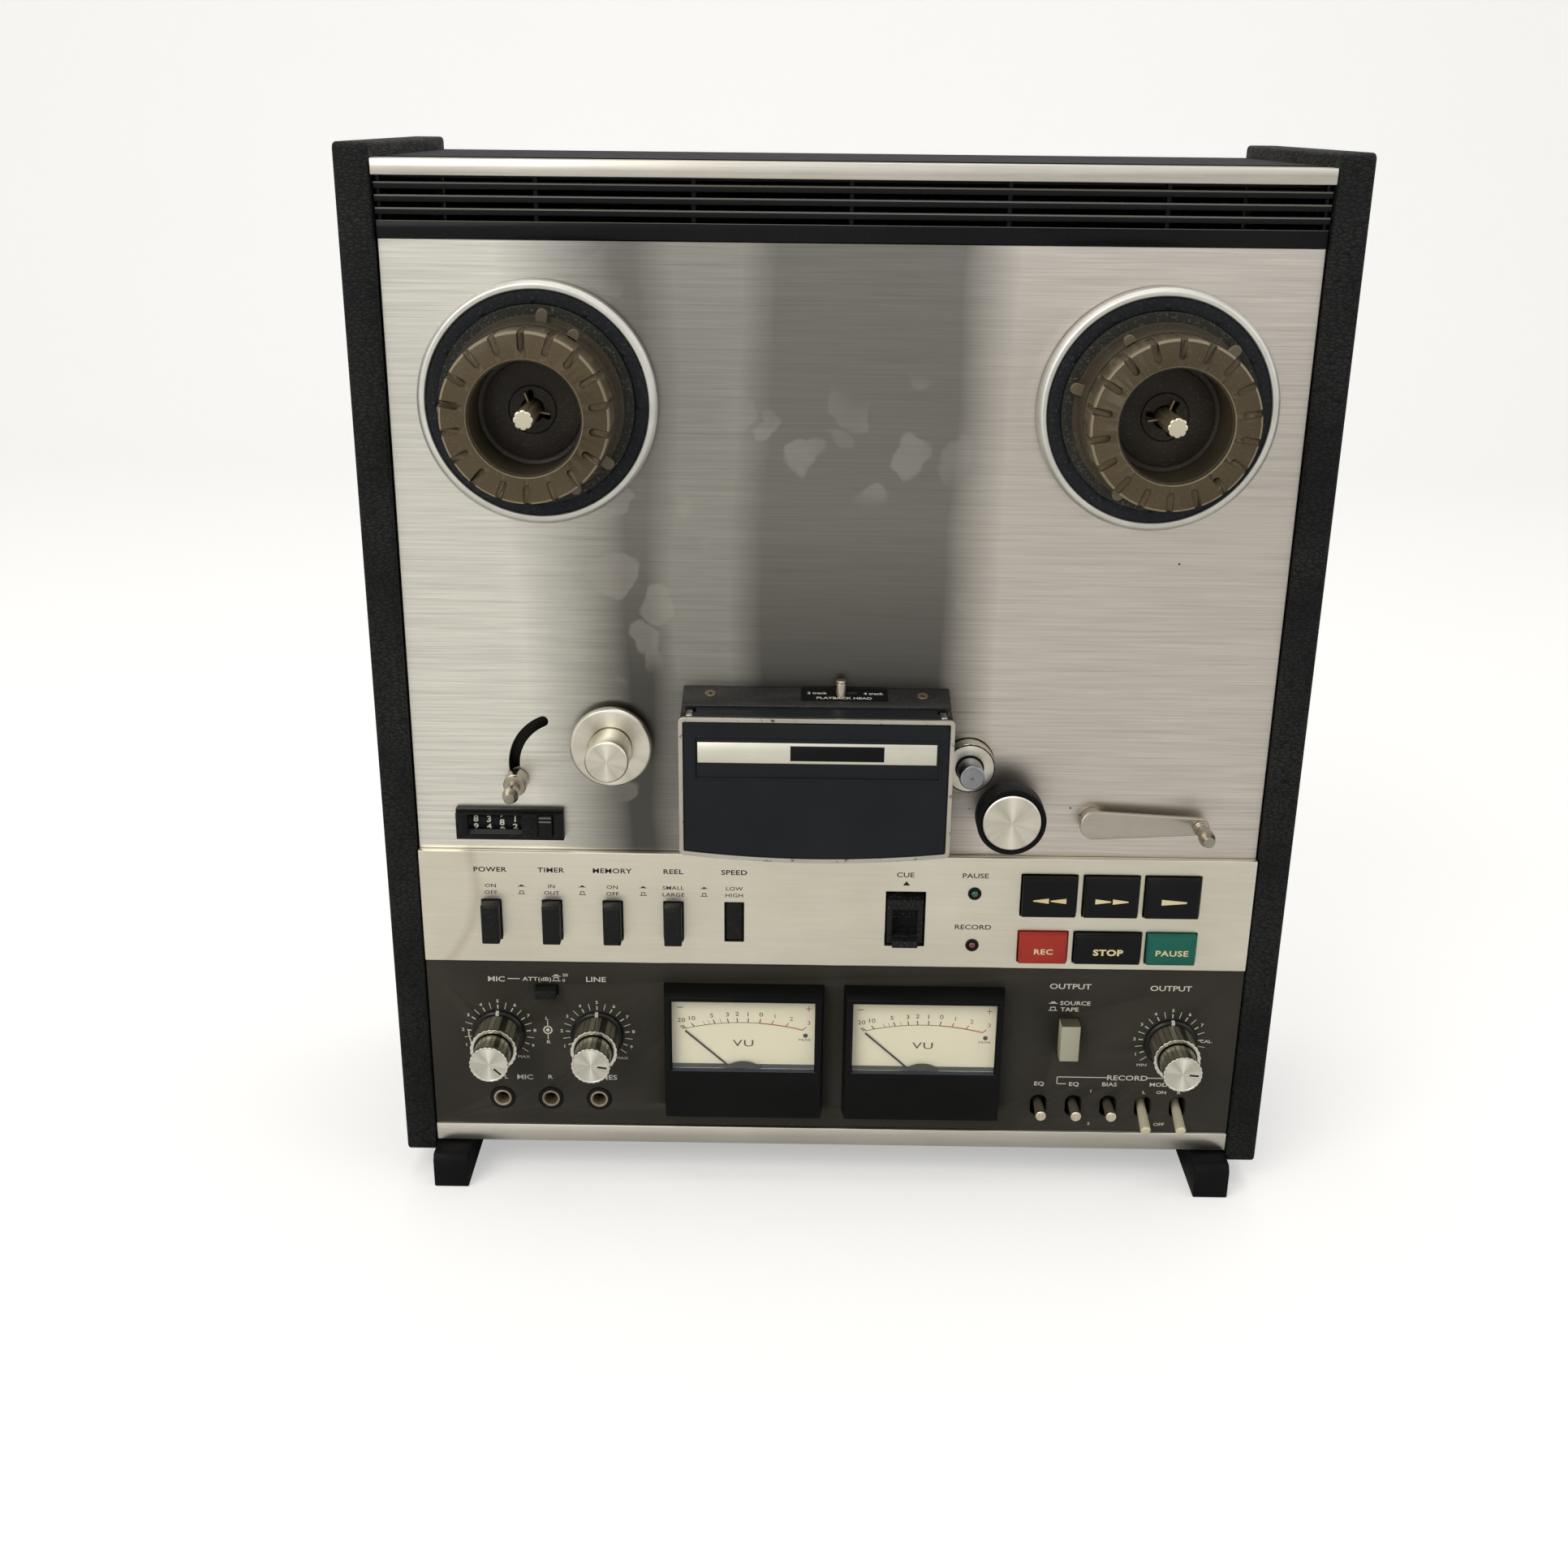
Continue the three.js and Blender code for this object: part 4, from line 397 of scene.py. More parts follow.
link(vinyl, vinyl.between(ripple, 0.3, 0.7, 0.42, 0.6), "Roughness")
emboss(vinyl, relief, 0.9, 0.3)
for side in side_names:
    node = side + "_side_board"
    low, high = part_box(node)
    outline = rounded(low.y, high.y, low.z, high.z, board_corner * mm)
    board = lofted([[(x, y, z) for y, z in outline] for x in (low.x, high.x)])
    show(side + "_board", smooth(board, board_round, 5, 60), vinyl, slot="vinyl_board", replaced=node)

# Feet: two long runners of black moulded plastic, chamfered at the front. They are screwed under
# the case.
foot_edge = 0.9
foot_plastic = moulded("foot_plastic", srgb(24, 24, 25), srgb(17, 17, 18), 0.5, specular=0.08)
for side in side_names:
    dressed(side + "_runner_foot", side + "_foot", foot_edge, foot_plastic)

# Rear cover: one bent steel sheet with an even satin black enamel, vent slots, a socket field with
# four phono sockets and a mains inlet. Screws hold it along its edges.
cover_enamel = moulded("dark_cover_enamel", srgb(36, 37, 41), srgb(29, 30, 34), 0.55, 2600.0, 0.03, 0.1)
repainted("rear_cover", cover_enamel)

# Chassis: a plated steel plate with folded flanges, the motor cans and the bearing seats. Only a
# little of it shows, through the slots of the deck plate.
# Plated steel, its tone painted darker as the shade seen through the deck plate's slots.
chassis_plate = moulded("plated_steel_sheet", srgb(62, 60, 56), srgb(44, 43, 41), 0.45, metal=0.7)
repainted("chassis", chassis_plate)

# Trim bars: two extruded aluminium bars, satin anodised in pale champagne and brushed along their
# length. They close the case above the grille and below the lower panel.
bar_edge = 0.5


def brushed(name, tone, dark, rough, along="x", lines=2400.0, depth=0.02, anisotropic=0.5, smear=0.5):
    """Brushed and anodised metal: fine lines along one axis, broader streaks and a soft cloud."""
    sketch = finish(name, tone, rough, 1.0, 0.5, Anisotropic=anisotropic)
    fine_stretch = {"x": (0.012, 1, 1), "z": (1, 1, 0.012)}[along]
    wide_stretch = {"x": (0.05, 1, 1), "z": (1, 1, 0.05)}[along]
    fine = stretched(sketch, lines, fine_stretch, detail=2.0)
    wide = stretched(sketch, lines / 8, wide_stretch, detail=4.0, blur=0.6)
    cloud = stretched(sketch, 14.0, detail=5.0, blur=0.6)
    streak = sketch.math("ADD", sketch.times(fine, 0.6), sketch.times(wide, 0.4))
    share = sketch.math("MULTIPLY_ADD", cloud, smear, sketch.times(streak, 1 - smear))
    link(sketch, sketch.mix(sketch.between(share, 0.34, 0.62), dark, tone), "Base Color")
    link(sketch, sketch.between(streak, 0.35, 0.65, rough - 0.06, rough + 0.1), "Roughness")
    emboss(sketch, streak, 0.25, depth)
    return sketch


champagne = brushed("satin_aluminium_bar", srgb(214, 210, 200), srgb(196, 191, 180), 0.36)
for name in ("top", "bottom"):
    dressed(name + "_bar", name + "_trim_bar", bar_edge, champagne, slot="satin_aluminium")

# Vent grille: a gloss black moulding behind the top bar. Three slats and a band run right across,
# and seven ribs behind them tie it together.
plate_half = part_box("deck_plate")[1].x / mm
grille_front = -3.0
grille_depth = 9.0
grille_top = 485.4
band_bottom = 459.8
band_height = 7.3
band_round = 0.6
slat_height = 3.0
slat_pitch = 5.3
slat_count = 3
slat_round = 0.7
rib_width = 2.0
rib_setback = 3.0
rib_count = 7
rib_round = 0.4


def grown(name, sizes, draw, paint):
    """A mesh made by a shape tree: named sizes go in, and its geometry comes out as a plain mesh."""
    tree = bpy.data.node_groups.new(name, "GeometryNodeTree")
    tree.interface.new_socket("Geometry", in_out="OUTPUT", socket_type="NodeSocketGeometry")
    kinds = {int: "NodeSocketInt", float: "NodeSocketFloat", tuple: "NodeSocketVector"}
    keys = {}
    for size, value in sizes.items():
        made = tree.interface.new_socket(size, in_out="INPUT", socket_type=kinds[type(value)])
        keys[size] = made.identifier
    sketch = Sketch(tree)
    shape = draw(sketch, tree.nodes.new("NodeGroupInput").outputs)
    real = sketch.node("GeometryNodeRealizeInstances", Geometry=shape).outputs[0]
    painted = sketch.node("GeometryNodeSetMaterial", Geometry=real, Material=paint.made).outputs[0]
    tree.links.new(painted, tree.nodes.new("NodeGroupOutput").inputs[0])
    piece = placed(name, bpy.data.meshes.new(name))
    growth = piece.modifiers.new("growth", "NODES")
    growth.node_group = tree
    for size, value in sizes.items():
        growth[keys[size]] = value
    return faceted(plain_mesh(piece))


def on_points(sketch, points, instance):
    return sketch.node("GeometryNodeInstanceOnPoints", Points=points, Instance=instance).outputs[0]


def bars(sketch, size):
    """Bars of a rounded section, one beside the other from a first place."""
    shape = {"Width": size["Width"], "Height": size["Height"]}
    section = sketch.node("GeometryNodeCurvePrimitiveQuadrilateral", **shape)
    inputs = {"Curve": section.outputs[0], "Radius": size["Round"], "Count": 3}
    eased_section = sketch.node("GeometryNodeFilletCurve", {"mode": "POLY"}, **inputs)
    run = sketch.node("GeometryNodeCurvePrimitiveLine", Start=size["Start"], End=size["End"])
    caps = {"Curve": run.outputs[0], "Profile_Curve": eased_section.outputs[0], "Fill_Caps": True}
    bar = sketch.node("GeometryNodeCurveToMesh", **caps)
    row = sketch.node("GeometryNodeMeshLine", Count=size["Count"], Offset=size["Pitch"])
    return on_points(sketch, row.outputs[0], bar.outputs[0])


def bar_row(name, width, height, ease, start, end, count, pitch):
    """Bars with their section, ends and pitch in millimetres."""
    section = {"Width": width * mm, "Height": height * mm, "Round": ease * mm}
    ends = {"Start": tuple(at(*start)), "End": tuple(at(*end))}
    row = {"Count": count, "Pitch": tuple(step * mm for step in pitch)}
    return grown(name, section | ends | row, bars, grille_gloss)


grille_gloss = moulded("gloss_black_grille", srgb(25, 26, 28), srgb(19, 20, 22), 0.24, 1900.0, 0.012, 0.12)
# Painted light: the slats' rounded upper edges are painted light grey as highlights, their flat tops near
# black as shade.
grille_up = grille_gloss.facing(2)
edge_highlight = grille_gloss.between(grille_up, 0.15, 0.25)
below_top = grille_gloss.between(grille_up, 0.98, 0.96)
tinted(grille_gloss, grille_gloss.times(edge_highlight, below_top), srgb(118, 117, 110))
tinted(grille_gloss, grille_gloss.between(grille_up, 0.97, 0.99), srgb(6, 6, 7))
first_slat = band_bottom + band_height + slat_pitch - slat_height / 2
slat_middle = grille_front - grille_depth / 2
slat_ends = ((-plate_half, slat_middle, first_slat), (plate_half, slat_middle, first_slat))
slat_step = (0.0, 0.0, slat_pitch)
slats = bar_row("grille_slats", grille_depth, slat_height, slat_round, *slat_ends, slat_count, slat_step)
rib_middle = grille_front - rib_setback - grille_depth / 2
first_rib = rib_width / 2 - plate_half
rib_ends = ((first_rib, rib_middle, band_bottom), (first_rib, rib_middle, grille_top))
rib_pitch = (2 * plate_half - rib_width) / (rib_count - 1)
rib_step = (rib_pitch, 0.0, 0.0)
ribs = bar_row("grille_ribs", rib_width, grille_depth, rib_round, *rib_ends, rib_count, rib_step)
band_points = rounded(-plate_half, plate_half, band_bottom, band_bottom + band_height, 0.3, 2)
band = smooth(slab(band_points, grille_front - grille_depth, grille_front), band_round)
grille_mesh = merged((slats, ribs, band))
show("grille_moulding", grille_mesh, grille_gloss, slot="gloss_black", replaced="vent_grille")

# Deck plate: a brushed and anodised aluminium sheet with round and curved openings for the reel
# shafts, the arms and the rollers. It has water marks and a few pits from its years of use.
plate_bottom = 168.5
plate_top = 459.5
deck_back = -6.0
deck_front = -4.0
deck_edge = 0.3
reel_half = 138.3
reel_height = 389.7
reel_places = {"left": -reel_half, "right": reel_half}
shaft_hole = 14.0
left_arm = (-133.6, 216.1)
left_arm_radius = 23.7
left_arm_rest = 198.7
left_arm_sweep = 86.0
arm_slot = 5.2
roller = (-109.5, 228.0)
roller_boss = 10.0
capstan = (62.2, 220.2)
bearing_radius = 12.2
bearing_gap = 0.3
pinch = (82.2, 197.7)
pinch_slot = 3.9
pinch_travel = 7.15
right_arm = (124.2, 191.0)
right_arm_hole = 4.3
counter = (-160.3, 185.9)
counter_opening = (50.0, 12.7)
pit_places = {
    (155.2, 319.0): 0.55,
    (81.8, 207.4): 0.6,
    (64.0, 196.0): 0.35,
    (113.2, 197.0): 0.5,
    (117.8, 193.5): 0.3,
}
pit_sides = 7
ink_depth = 0.03


def plate(outline, holes, back, front, edge=0.25):
    """A flat sheet over an outline, with holes, between two reaches and with its edges broken."""
    draft = bpy.data.curves.new("draft", "CURVE")
    draft.dimensions = "2D"
    draft.fill_mode = "BOTH"
    draft.extrude = (front - back) * mm / 2 - edge * mm
    draft.bevel_depth = edge * mm
    draft.bevel_resolution = 1
    draft.offset = -edge * mm
    for points in (outline, *holes):
        spline = draft.splines.new("POLY")
        spline.points.add(len(points) - 1)
        for point, (x, z) in zip(spline.points, points):
            point.co = (x * mm, z * mm, 0, 1)
        spline.use_cyclic_u = True
    mesh = plain_mesh(placed("draft", draft))
    stood = Matrix.Rotation(math.pi / 2, 4, "X")
    mesh.transform(Matrix.Translation(at(0, (back + front) / 2, 0)) @ stood)
    return faceted(mesh)


def printed(points, reach):
    """A printed or worn patch, a hair thick."""
    return slab(points, reach, reach + ink_depth)


def circle(x, z, radius, steps=64):
    return arc(x, z, radius, 0, 360 - 360 / steps, steps - 1)


def hole(x, z, width, height, radius=0.25, steps=3):
    return rounded(x - width / 2, x + width / 2, z - height / 2, z + height / 2, radius, steps)


def slot_outline(x0, z0, x1, z1, radius):
    """A straight slot with half-round ends."""
    lean = math.degrees(math.atan2(z1 - z0, x1 - x0))
    return arc(x1, z1, radius, lean - 90, lean + 90) + arc(x0, z0, radius, lean + 90, lean + 270)


def curved_slot(centre, radius, width, start, end):
    """A slot that follows an arc, with half-round ends."""
    outer = arc(*centre, radius + width / 2, start, end, 30)
    inner = arc(*centre, radius - width / 2, end, start, 30)
    far_end = arc(*on_circle(*centre, radius, end), width / 2, end, end + 180)[1:-1]
    near_end = arc(*on_circle(*centre, radius, start), width / 2, start + 180, start + 360)[1:-1]
    return outer + far_end + inner + near_end


deck = finish("brushed_deck_aluminium", srgb(176, 172, 168), 0.36, 1.0, Anisotropic=0.6)
fine_lines = stretched(deck, 2300.0, (0.010, 1, 1), detail=2.0)
broad_lines = stretched(deck, 700.0, (0.02, 1, 1), detail=5.0, blur=0.6)
scratch = deck.math("MULTIPLY_ADD", fine_lines, 0.5, deck.times(broad_lines, 0.5))
# Painted reflections: bright bands at left and right and a pale strip, laid in along x; painted shade low
# down.
wander = stretched(deck, 5.0, (1, 1, 0.6), detail=4.0)
across = deck.math("MULTIPLY_ADD", wander, 0.05, deck.part(deck.spot, 0))
left_reflection_band = deck.between(across, -0.126, -0.078, 1, 0)
right_reflection_band = deck.between(across, 0.070, 0.097, 0, 1)
outside_reflection_bands = deck.math("SUBTRACT", 1.0, deck.math("MAXIMUM", left_reflection_band, right_reflection_band))
low_shade = deck.between(deck.part(deck.spot, 2), 0.35, 0.27)
shaded_tone = deck.mix(low_shade, srgb(131, 129, 123), srgb(84, 83, 78))
reflection_strip_offset = deck.math("ABSOLUTE", deck.math("ADD", across, 0.042))
strip_reflection_tone = deck.mix(deck.between(reflection_strip_offset, 0.012, 0.026, 0.5, 0), shaded_tone, srgb(190, 188, 180))
left_reflection_tone = deck.mix(left_reflection_band, strip_reflection_tone, srgb(238, 236, 226))
right_reflection_tone = deck.mix(right_reflection_band, left_reflection_tone, srgb(217, 210, 201))
lined_tone = deck.mix(deck.between(scratch, 0.40, 0.66, 0, 0.3), right_reflection_tone, srgb(84, 82, 79))
warp = deck.node("ShaderNodeTexNoise", Vector=deck.spot, Scale=42.0, Detail=2.0)
bent = deck.node("ShaderNodeVectorMath", {"operation": "SCALE"}, Vector=warp.outputs["Color"], Scale=0.03)
moved = deck.node("ShaderNodeVectorMath", {"operation": "ADD"}, i0=deck.spot, i1=bent.outputs[0])
blot_inputs = {"Vector": moved.outputs[0], "Scale": 38.0, "Randomness": 1.0}
blot = deck.node("ShaderNodeTexVoronoi", {"feature": "F1"}, **blot_inputs).outputs[0]
field = deck.between(stretched(deck, 9.0, detail=2.0), 0.52, 0.58)
mark = deck.times(field, deck.between(blot, 0.30, 0.36, 1, 0), outside_reflection_bands)
link(deck, deck.mix(deck.times(mark, 0.3), lined_tone, srgb(186, 182, 172)), "Base Color")
slick = deck.between(scratch, 0.35, 0.65, 0.28, 0.42)
link(deck, deck.math("MULTIPLY_ADD", mark, 0.14, slick), "Roughness")
emboss(deck, scratch, 0.12, 0.01)
pinch_lean = math.degrees(math.atan2(capstan[1] - pinch[1], capstan[0] - pinch[0]))
deck_holes = [circle(x, reel_height, shaft_hole) for x in reel_places.values()]
deck_holes += [
    curved_slot(left_arm, left_arm_radius, arm_slot, left_arm_rest - left_arm_sweep, left_arm_rest),
    circle(*roller, roller_boss),
    circle(*capstan, bearing_radius + bearing_gap),
    slot_outline(*pinch, *on_circle(*pinch, pinch_travel, pinch_lean), pinch_slot),
    circle(*right_arm, right_arm_hole),
    hole(*counter, *counter_opening, 0.8, 6),
]
deck_outline = rounded(-plate_half, plate_half, plate_bottom, plate_top, 0.4, 3)
deck_mesh = plate(deck_outline, deck_holes, deck_back, deck_front, deck_edge)
show("deck_sheet", deck_mesh, deck, slot="brushed_aluminium", replaced="deck_plate")
pits = [printed(circle(*place, radius, pit_sides), deck_front) for place, radius in pit_places.items()]
pit_rust = moulded("pit_corrosion", srgb(58, 44, 34), srgb(34, 27, 22), 0.8)
show("deck_plate_pits", merged(pits), pit_rust, slot="brushed_aluminium")

# Reel tables: a turned aluminium disc on each motor's shaft, with a bright rim. A dark rubber ring
# with small nubs and a raised disc keep a reel from slipping.
table_radius = 53.7
table_back = -2.5
table_front = 5.0
pad_outer = 49.4
pad_inner = 43.8
pad_front = 4.2
pad_bed = 1.2
step_front = 7.5
step_radius = 43.6
shaft_radius = 4.0
shaft_length = 66.0
nub_count = 12
nub_radius = 1.5
nub_ring = 45.6
nub_sunk = 0.1


def eased_line(profile, ease, ring):
    """A profile with its corners drawn as short curves."""
    line = []
    for i, (radius, reach) in enumerate(profile):
        if ease == 0 or not ring and i in (0, len(profile) - 1):
            line.append((radius, reach))
            continue
        here = Vector((radius, reach))
        before = Vector(profile[i - 1]) - here
        after = Vector(profile[(i + 1) % len(profile)]) - here
        cut = min(ease, before.length * 0.45, after.length * 0.45)
        start = here + before.normalized() * cut
        end = here + after.normalized() * cut
        for share in (0.0, 0.35, 0.65, 1.0):
            point = start.lerp(here, share).lerp(here.lerp(end, share), share)
            line.append((max(point.x, 0), point.y))
    return line + line[:1] if ring else line


def turned(profile, x, z, sides=96, ease=0.0, ring=False):
    """A turned piece round an axis from front to back: pairs of radius and reach. Its map's U runs
    round the axis and its V along the profile."""
    line = eased_line(profile, ease, ring)
    travel = [0.0]
    for i in range(1, len(line)):
        travel.append(travel[-1] + math.dist(line[i - 1], line[i]))
    build = bmesh.new()
    rows = []
    for radius, reach in line:
        if radius < 1e-6:
            rows.append([build.verts.new(at(x, reach, z))] * sides)
            continue
        angles = [2 * math.pi * k / sides for k in range(sides)]
        places = [at(x + radius * math.cos(a), reach, z + radius * math.sin(a)) for a in angles]
        rows.append([build.verts.new(place) for place in places])
    uv = build.loops.layers.uv.new("round")
    for j in range(len(line) - 1):
        for k in range(sides):
            following = (k + 1) % sides
            corners = {}
            four = ((j, k, k), (j, following, k + 1), (j + 1, following, k + 1), (j + 1, k, k))
            for row, column, u in four:
                corners.setdefault(rows[row][column], (u / sides, travel[row] * mm))
            if len(corners) < 3:
                continue
            face = build.faces.new(tuple(corners))
            for loop, value in zip(face.loops, corners.values()):
                loop[uv].uv = value
    bmesh.ops.remove_doubles(build, verts=build.verts, dist=1e-7)
    return faceted(meshed(build), 28)


def spun(name, tone, dark, rough, anisotropic=0.75, lines=2600.0, fan=0.0):
    """Turned bright metal: fine rings round the axis, and, where asked, a painted fan of highlights across
    them.
    """
    sketch = finish(name, tone, rough, 1.0, Anisotropic=anisotropic)
    around = sketch.node("ShaderNodeTangent", {"direction_type": "UV_MAP", "uv_map": "round"})
    link(sketch, around.outputs[0], "Tangent")
    uv = sketch.node("ShaderNodeUVMap", {"uv_map": "round"}).outputs[0]
    rings = sketch.node("ShaderNodeMapping", Vector=uv, Scale=(0.4, 1, 1)).outputs[0]
    fine = sketch.node("ShaderNodeTexNoise", Vector=rings, Scale=lines, Detail=3.0).outputs["Fac"]
    cloud = stretched(sketch, 60.0, detail=5.0, blur=0.6)
    share = sketch.between(sketch.math("MULTIPLY_ADD", cloud, 0.6, sketch.times(fine, 0.4)), 0.35, 0.62)
    # Painted highlights: two bright lobes and a cloud of sheen round the axis, laid into the colour.
    if fan:
        turned_by = sketch.times(sketch.part(uv, 0), 2 * math.pi)
        cosine, sine = sketch.math("COSINE", turned_by), sketch.math("SINE", turned_by)
        wheel = sketch.node("ShaderNodeCombineXYZ", X=cosine, Y=sine).outputs[0]
        gleam = sketch.node("ShaderNodeTexNoise", Vector=wheel, Scale=1.7, Detail=4.0).outputs["Fac"]
        lobe = sketch.math("POWER", sketch.math("ABSOLUTE", sine), 14.0)
        painted_sheen = sketch.math("MULTIPLY_ADD", lobe, 0.75, sketch.between(gleam, 0.35, 0.7, 0, 0.6))
        share = sketch.math("MULTIPLY_ADD", painted_sheen, fan, sketch.times(share, 1 - fan))
    link(sketch, sketch.mix(share, dark, tone), "Base Color")
    link(sketch, sketch.between(fine, 0.3, 0.7, rough - 0.05, rough + 0.07), "Roughness")
    emboss(sketch, fine, 0.12, 0.01)
    return sketch


def upright(sketch, shape, size):
    """A shape that was drawn lying, stood up at a place."""
    stood = {"Rotation": (math.pi / 2, 0.0, 0.0), "Translation": size["Place"]}
    return sketch.node("GeometryNodeTransform", Geometry=shape, **stood).outputs[0]


def nubs(sketch, size):
    """Small domes on a ring."""
    ring = sketch.node("GeometryNodeMeshCircle", Vertices=size["Count"], Radius=size["Ring"])
    dome = sketch.node("GeometryNodeMeshIcoSphere", Radius=size["Radius"], Subdivisions=2)
    flat = sketch.node("GeometryNodeTransform", Geometry=dome.outputs[0], Scale=(1.0, 1.0, 0.5))
    return upright(sketch, on_points(sketch, ring.outputs[0], flat.outputs[0]), size)


rim_metal = spun("spun_reel_table", srgb(218, 217, 210), srgb(196, 195, 188), 0.46, 0.5)
pad_tones = (srgb(31, 34, 39), srgb(22, 25, 29))
pad_rubber = moulded("reel_pad_rubber", *pad_tones, 0.62, 1200.0, 0.05, 0.2, dust=0.2)
step_tones = (srgb(48, 48, 42), srgb(32, 32, 28))
step_plastic = moulded("table_step_plastic", *step_tones, 0.6, 1100.0, 0.05, 0.2, dust=0.6)
table_profile = [
    (0, table_back - shaft_length),
    (shaft_radius, table_back - shaft_length),
    (shaft_radius, table_back),
    (table_radius, table_back),
    (table_radius, table_front - 1.6),
    (table_radius - 1.3, table_front - 0.35),
    (table_radius - 1.9, table_front),
    (pad_outer + 0.7, table_front),
    (pad_outer + 0.1, table_front - 0.6),
    (pad_outer + 0.1, pad_bed - 0.6),
    (0, pad_bed - 0.6),
]
pad_foot = pad_bed - 0.4
pad_profile = [(pad_inner, pad_foot), (pad_outer, pad_foot), (pad_outer, pad_front), (pad_inner, pad_front)]
step_profile = [(0, pad_foot), (step_radius, pad_foot), (step_radius, step_front), (0, step_front)]
for name, x in reel_places.items():
    body = name + "_reel"
    table = turned(table_profile, x, reel_height, 128, 0.25)
    show(name + "_table_disc", table, rim_metal, body, "bright_metal", name + "_reel_table")
    nub_sizes = {
        "Count": nub_count,
        "Ring": nub_ring * mm,
        "Radius": nub_radius * mm,
        "Place": tuple(at(x, pad_front - nub_sunk, reel_height)),
    }
    pad_ring = turned(pad_profile, x, reel_height, 96, 0.5, ring=True)
    pad = (pad_ring, grown("pad_nubs", nub_sizes, nubs, pad_rubber))
    show(name + "_reel_pad", merged(pad), pad_rubber, body, "black_rubber")
    show(name + "_table_step", turned(step_profile, x, reel_height, 96, 0.7), step_plastic, body)

# Spindles: a steel bar with eight flutes that ends in a scalloped, chamfered tip. Three thin wings
# at its root drive a small reel.
spindle_radius = 4.2
spindle_reach = 46.5
flute_depth = 0.6
flute_count = 8
flute_steps = 10
tip_height = 0.7
tip_collar = 0.4
tip_chamfer = 0.49
wing_size = (8.2, 3, 0.9)
wing_reach = 19.5
wing_round = 0.25
wing_angles = {"left": 110, "right": 70}
spindle_steel = moulded("spindle_steel", srgb(178, 164, 130), srgb(108, 96, 70), 0.3, 900.0, 0.02, 0.5, 0.4)
tip_tones = (srgb(232, 226, 208), srgb(206, 196, 170))
tip_steel = moulded("spindle_tip_steel", *tip_tones, 0.32, 700.0, 0.02, metal=1.0)


def fluted(x, levels):
    """A stretch of a spindle: its section at each level is given as a reach and how far it is drawn in."""
    rows = []
    for reach, inset in levels:
        row = []
        for i in range(flute_count * flute_steps):
            angle = 2 * math.pi * i / (flute_count * flute_steps)
            wave = abs(math.cos(flute_count * angle / 2)) ** 0.7
            radius = spindle_radius - inset - flute_depth * (1 - wave)
            row.append(at(x + radius * math.cos(angle), reach, reel_height + radius * math.sin(angle)))
        rows.append(row)
    return faceted(lofted(rows), 30)


for name, x in reel_places.items():
    body = name + "_reel"
    flank_end = spindle_reach - tip_height
    flank = fluted(x, [(step_front, 0), (flank_end, 0)])
    show(name + "_spindle", flank, spindle_steel, body, "bright_metal")
    tip = fluted(x, [(flank_end, 0), (flank_end + tip_collar, 0), (spindle_reach, tip_chamfer)])
    show(name + "_spindle_tip", tip, tip_steel, body, "bright_metal")
    wings = []
    for i in range(3):
        build = bmesh.new()
        bmesh.ops.create_cube(build, size=1)
        wing_scale = Matrix.Diagonal((*(measure * mm for measure in wing_size), 1))
        sized = Matrix.Translation((wing_size[0] / 2 * mm, 0, 0)) @ wing_scale
        swung = Matrix.Rotation(-math.radians(wing_angles[name] + 120 * i), 4, "Y")
        put = Matrix.Translation(at(x, wing_reach, reel_height)) @ swung @ sized
        bmesh.ops.transform(build, matrix=put, verts=build.verts)
        wings.append(meshed(build))
    show(name + "_spindle_wings", softened(merged(wings), wing_round), spindle_steel, body, "bright_metal")

# Hub adapters: brown moulded plastic drums pushed onto the spindles for large reels. Each has a
# flange, rounded tabs that grip the reel's hub, and a bowl with a dark floor and a star hole.
flange_back = 7.8
flange_front = 11.3
flange_radius = 39.5
drum_radius = 37.4
drum_front = 24.7
bowl_radius = 24.0
bowl_wall = 2.2
sleeve_front = 42.1
bowl_floor = 17.5
floor_groove = 21.6
boss_radius = 10.25
boss_edge = 0.2
star_bore = 5.2
star_reach = 8.6
star_slot = 2.3
star_angles = {"left": 95, "right": 50}
tab_width = 5.0
tab_proud = 3.4
tab_thickness = 2.6
tab_round = 0.5
tab_angles = {"left": (83, 59), "right": (44, 0)}
drum_brown = moulded("hub_drum_brown", srgb(70, 62, 47), srgb(53, 47, 36), 0.4, 800.0, 0.04, 0.25, dust=0.25)
tab_brown = moulded("hub_tab_brown", srgb(116, 106, 84), srgb(92, 83, 64), 0.25, 800.0, 0.02, 0.4)
bowl_tones = (srgb(54, 47, 37), srgb(42, 36, 28))
bowl_brown = moulded("bowl_plastic_dark", *bowl_tones, 0.42, 900.0, 0.04, 0.25, dust=0.25)


def star(x, z, bore, reach, width, turned_by):
    """The outline of a round hole with three slots."""
    points = []
    half = width / 2
    open_angle = math.degrees(math.asin(half / bore))
    for i in range(3):
        angle = turned_by + 120 * i
        points += arc(x, z, bore, angle - 120 + open_angle, angle - open_angle, 10)
        points += arc(*on_circle(x, z, reach - half, angle), half, angle - 90, angle + 90, 6)
    return points


def tab(x, z, radius, angle, back, front):
    """A rounded tab that stands out of a drum."""
    inner = on_circle(x, z, radius - tab_proud, angle)
    outer = on_circle(x, z, radius + tab_proud - tab_width / 2, angle)
    return softened(slab(slot_outline(*inner, *outer, tab_width / 2), back, front), tab_round)


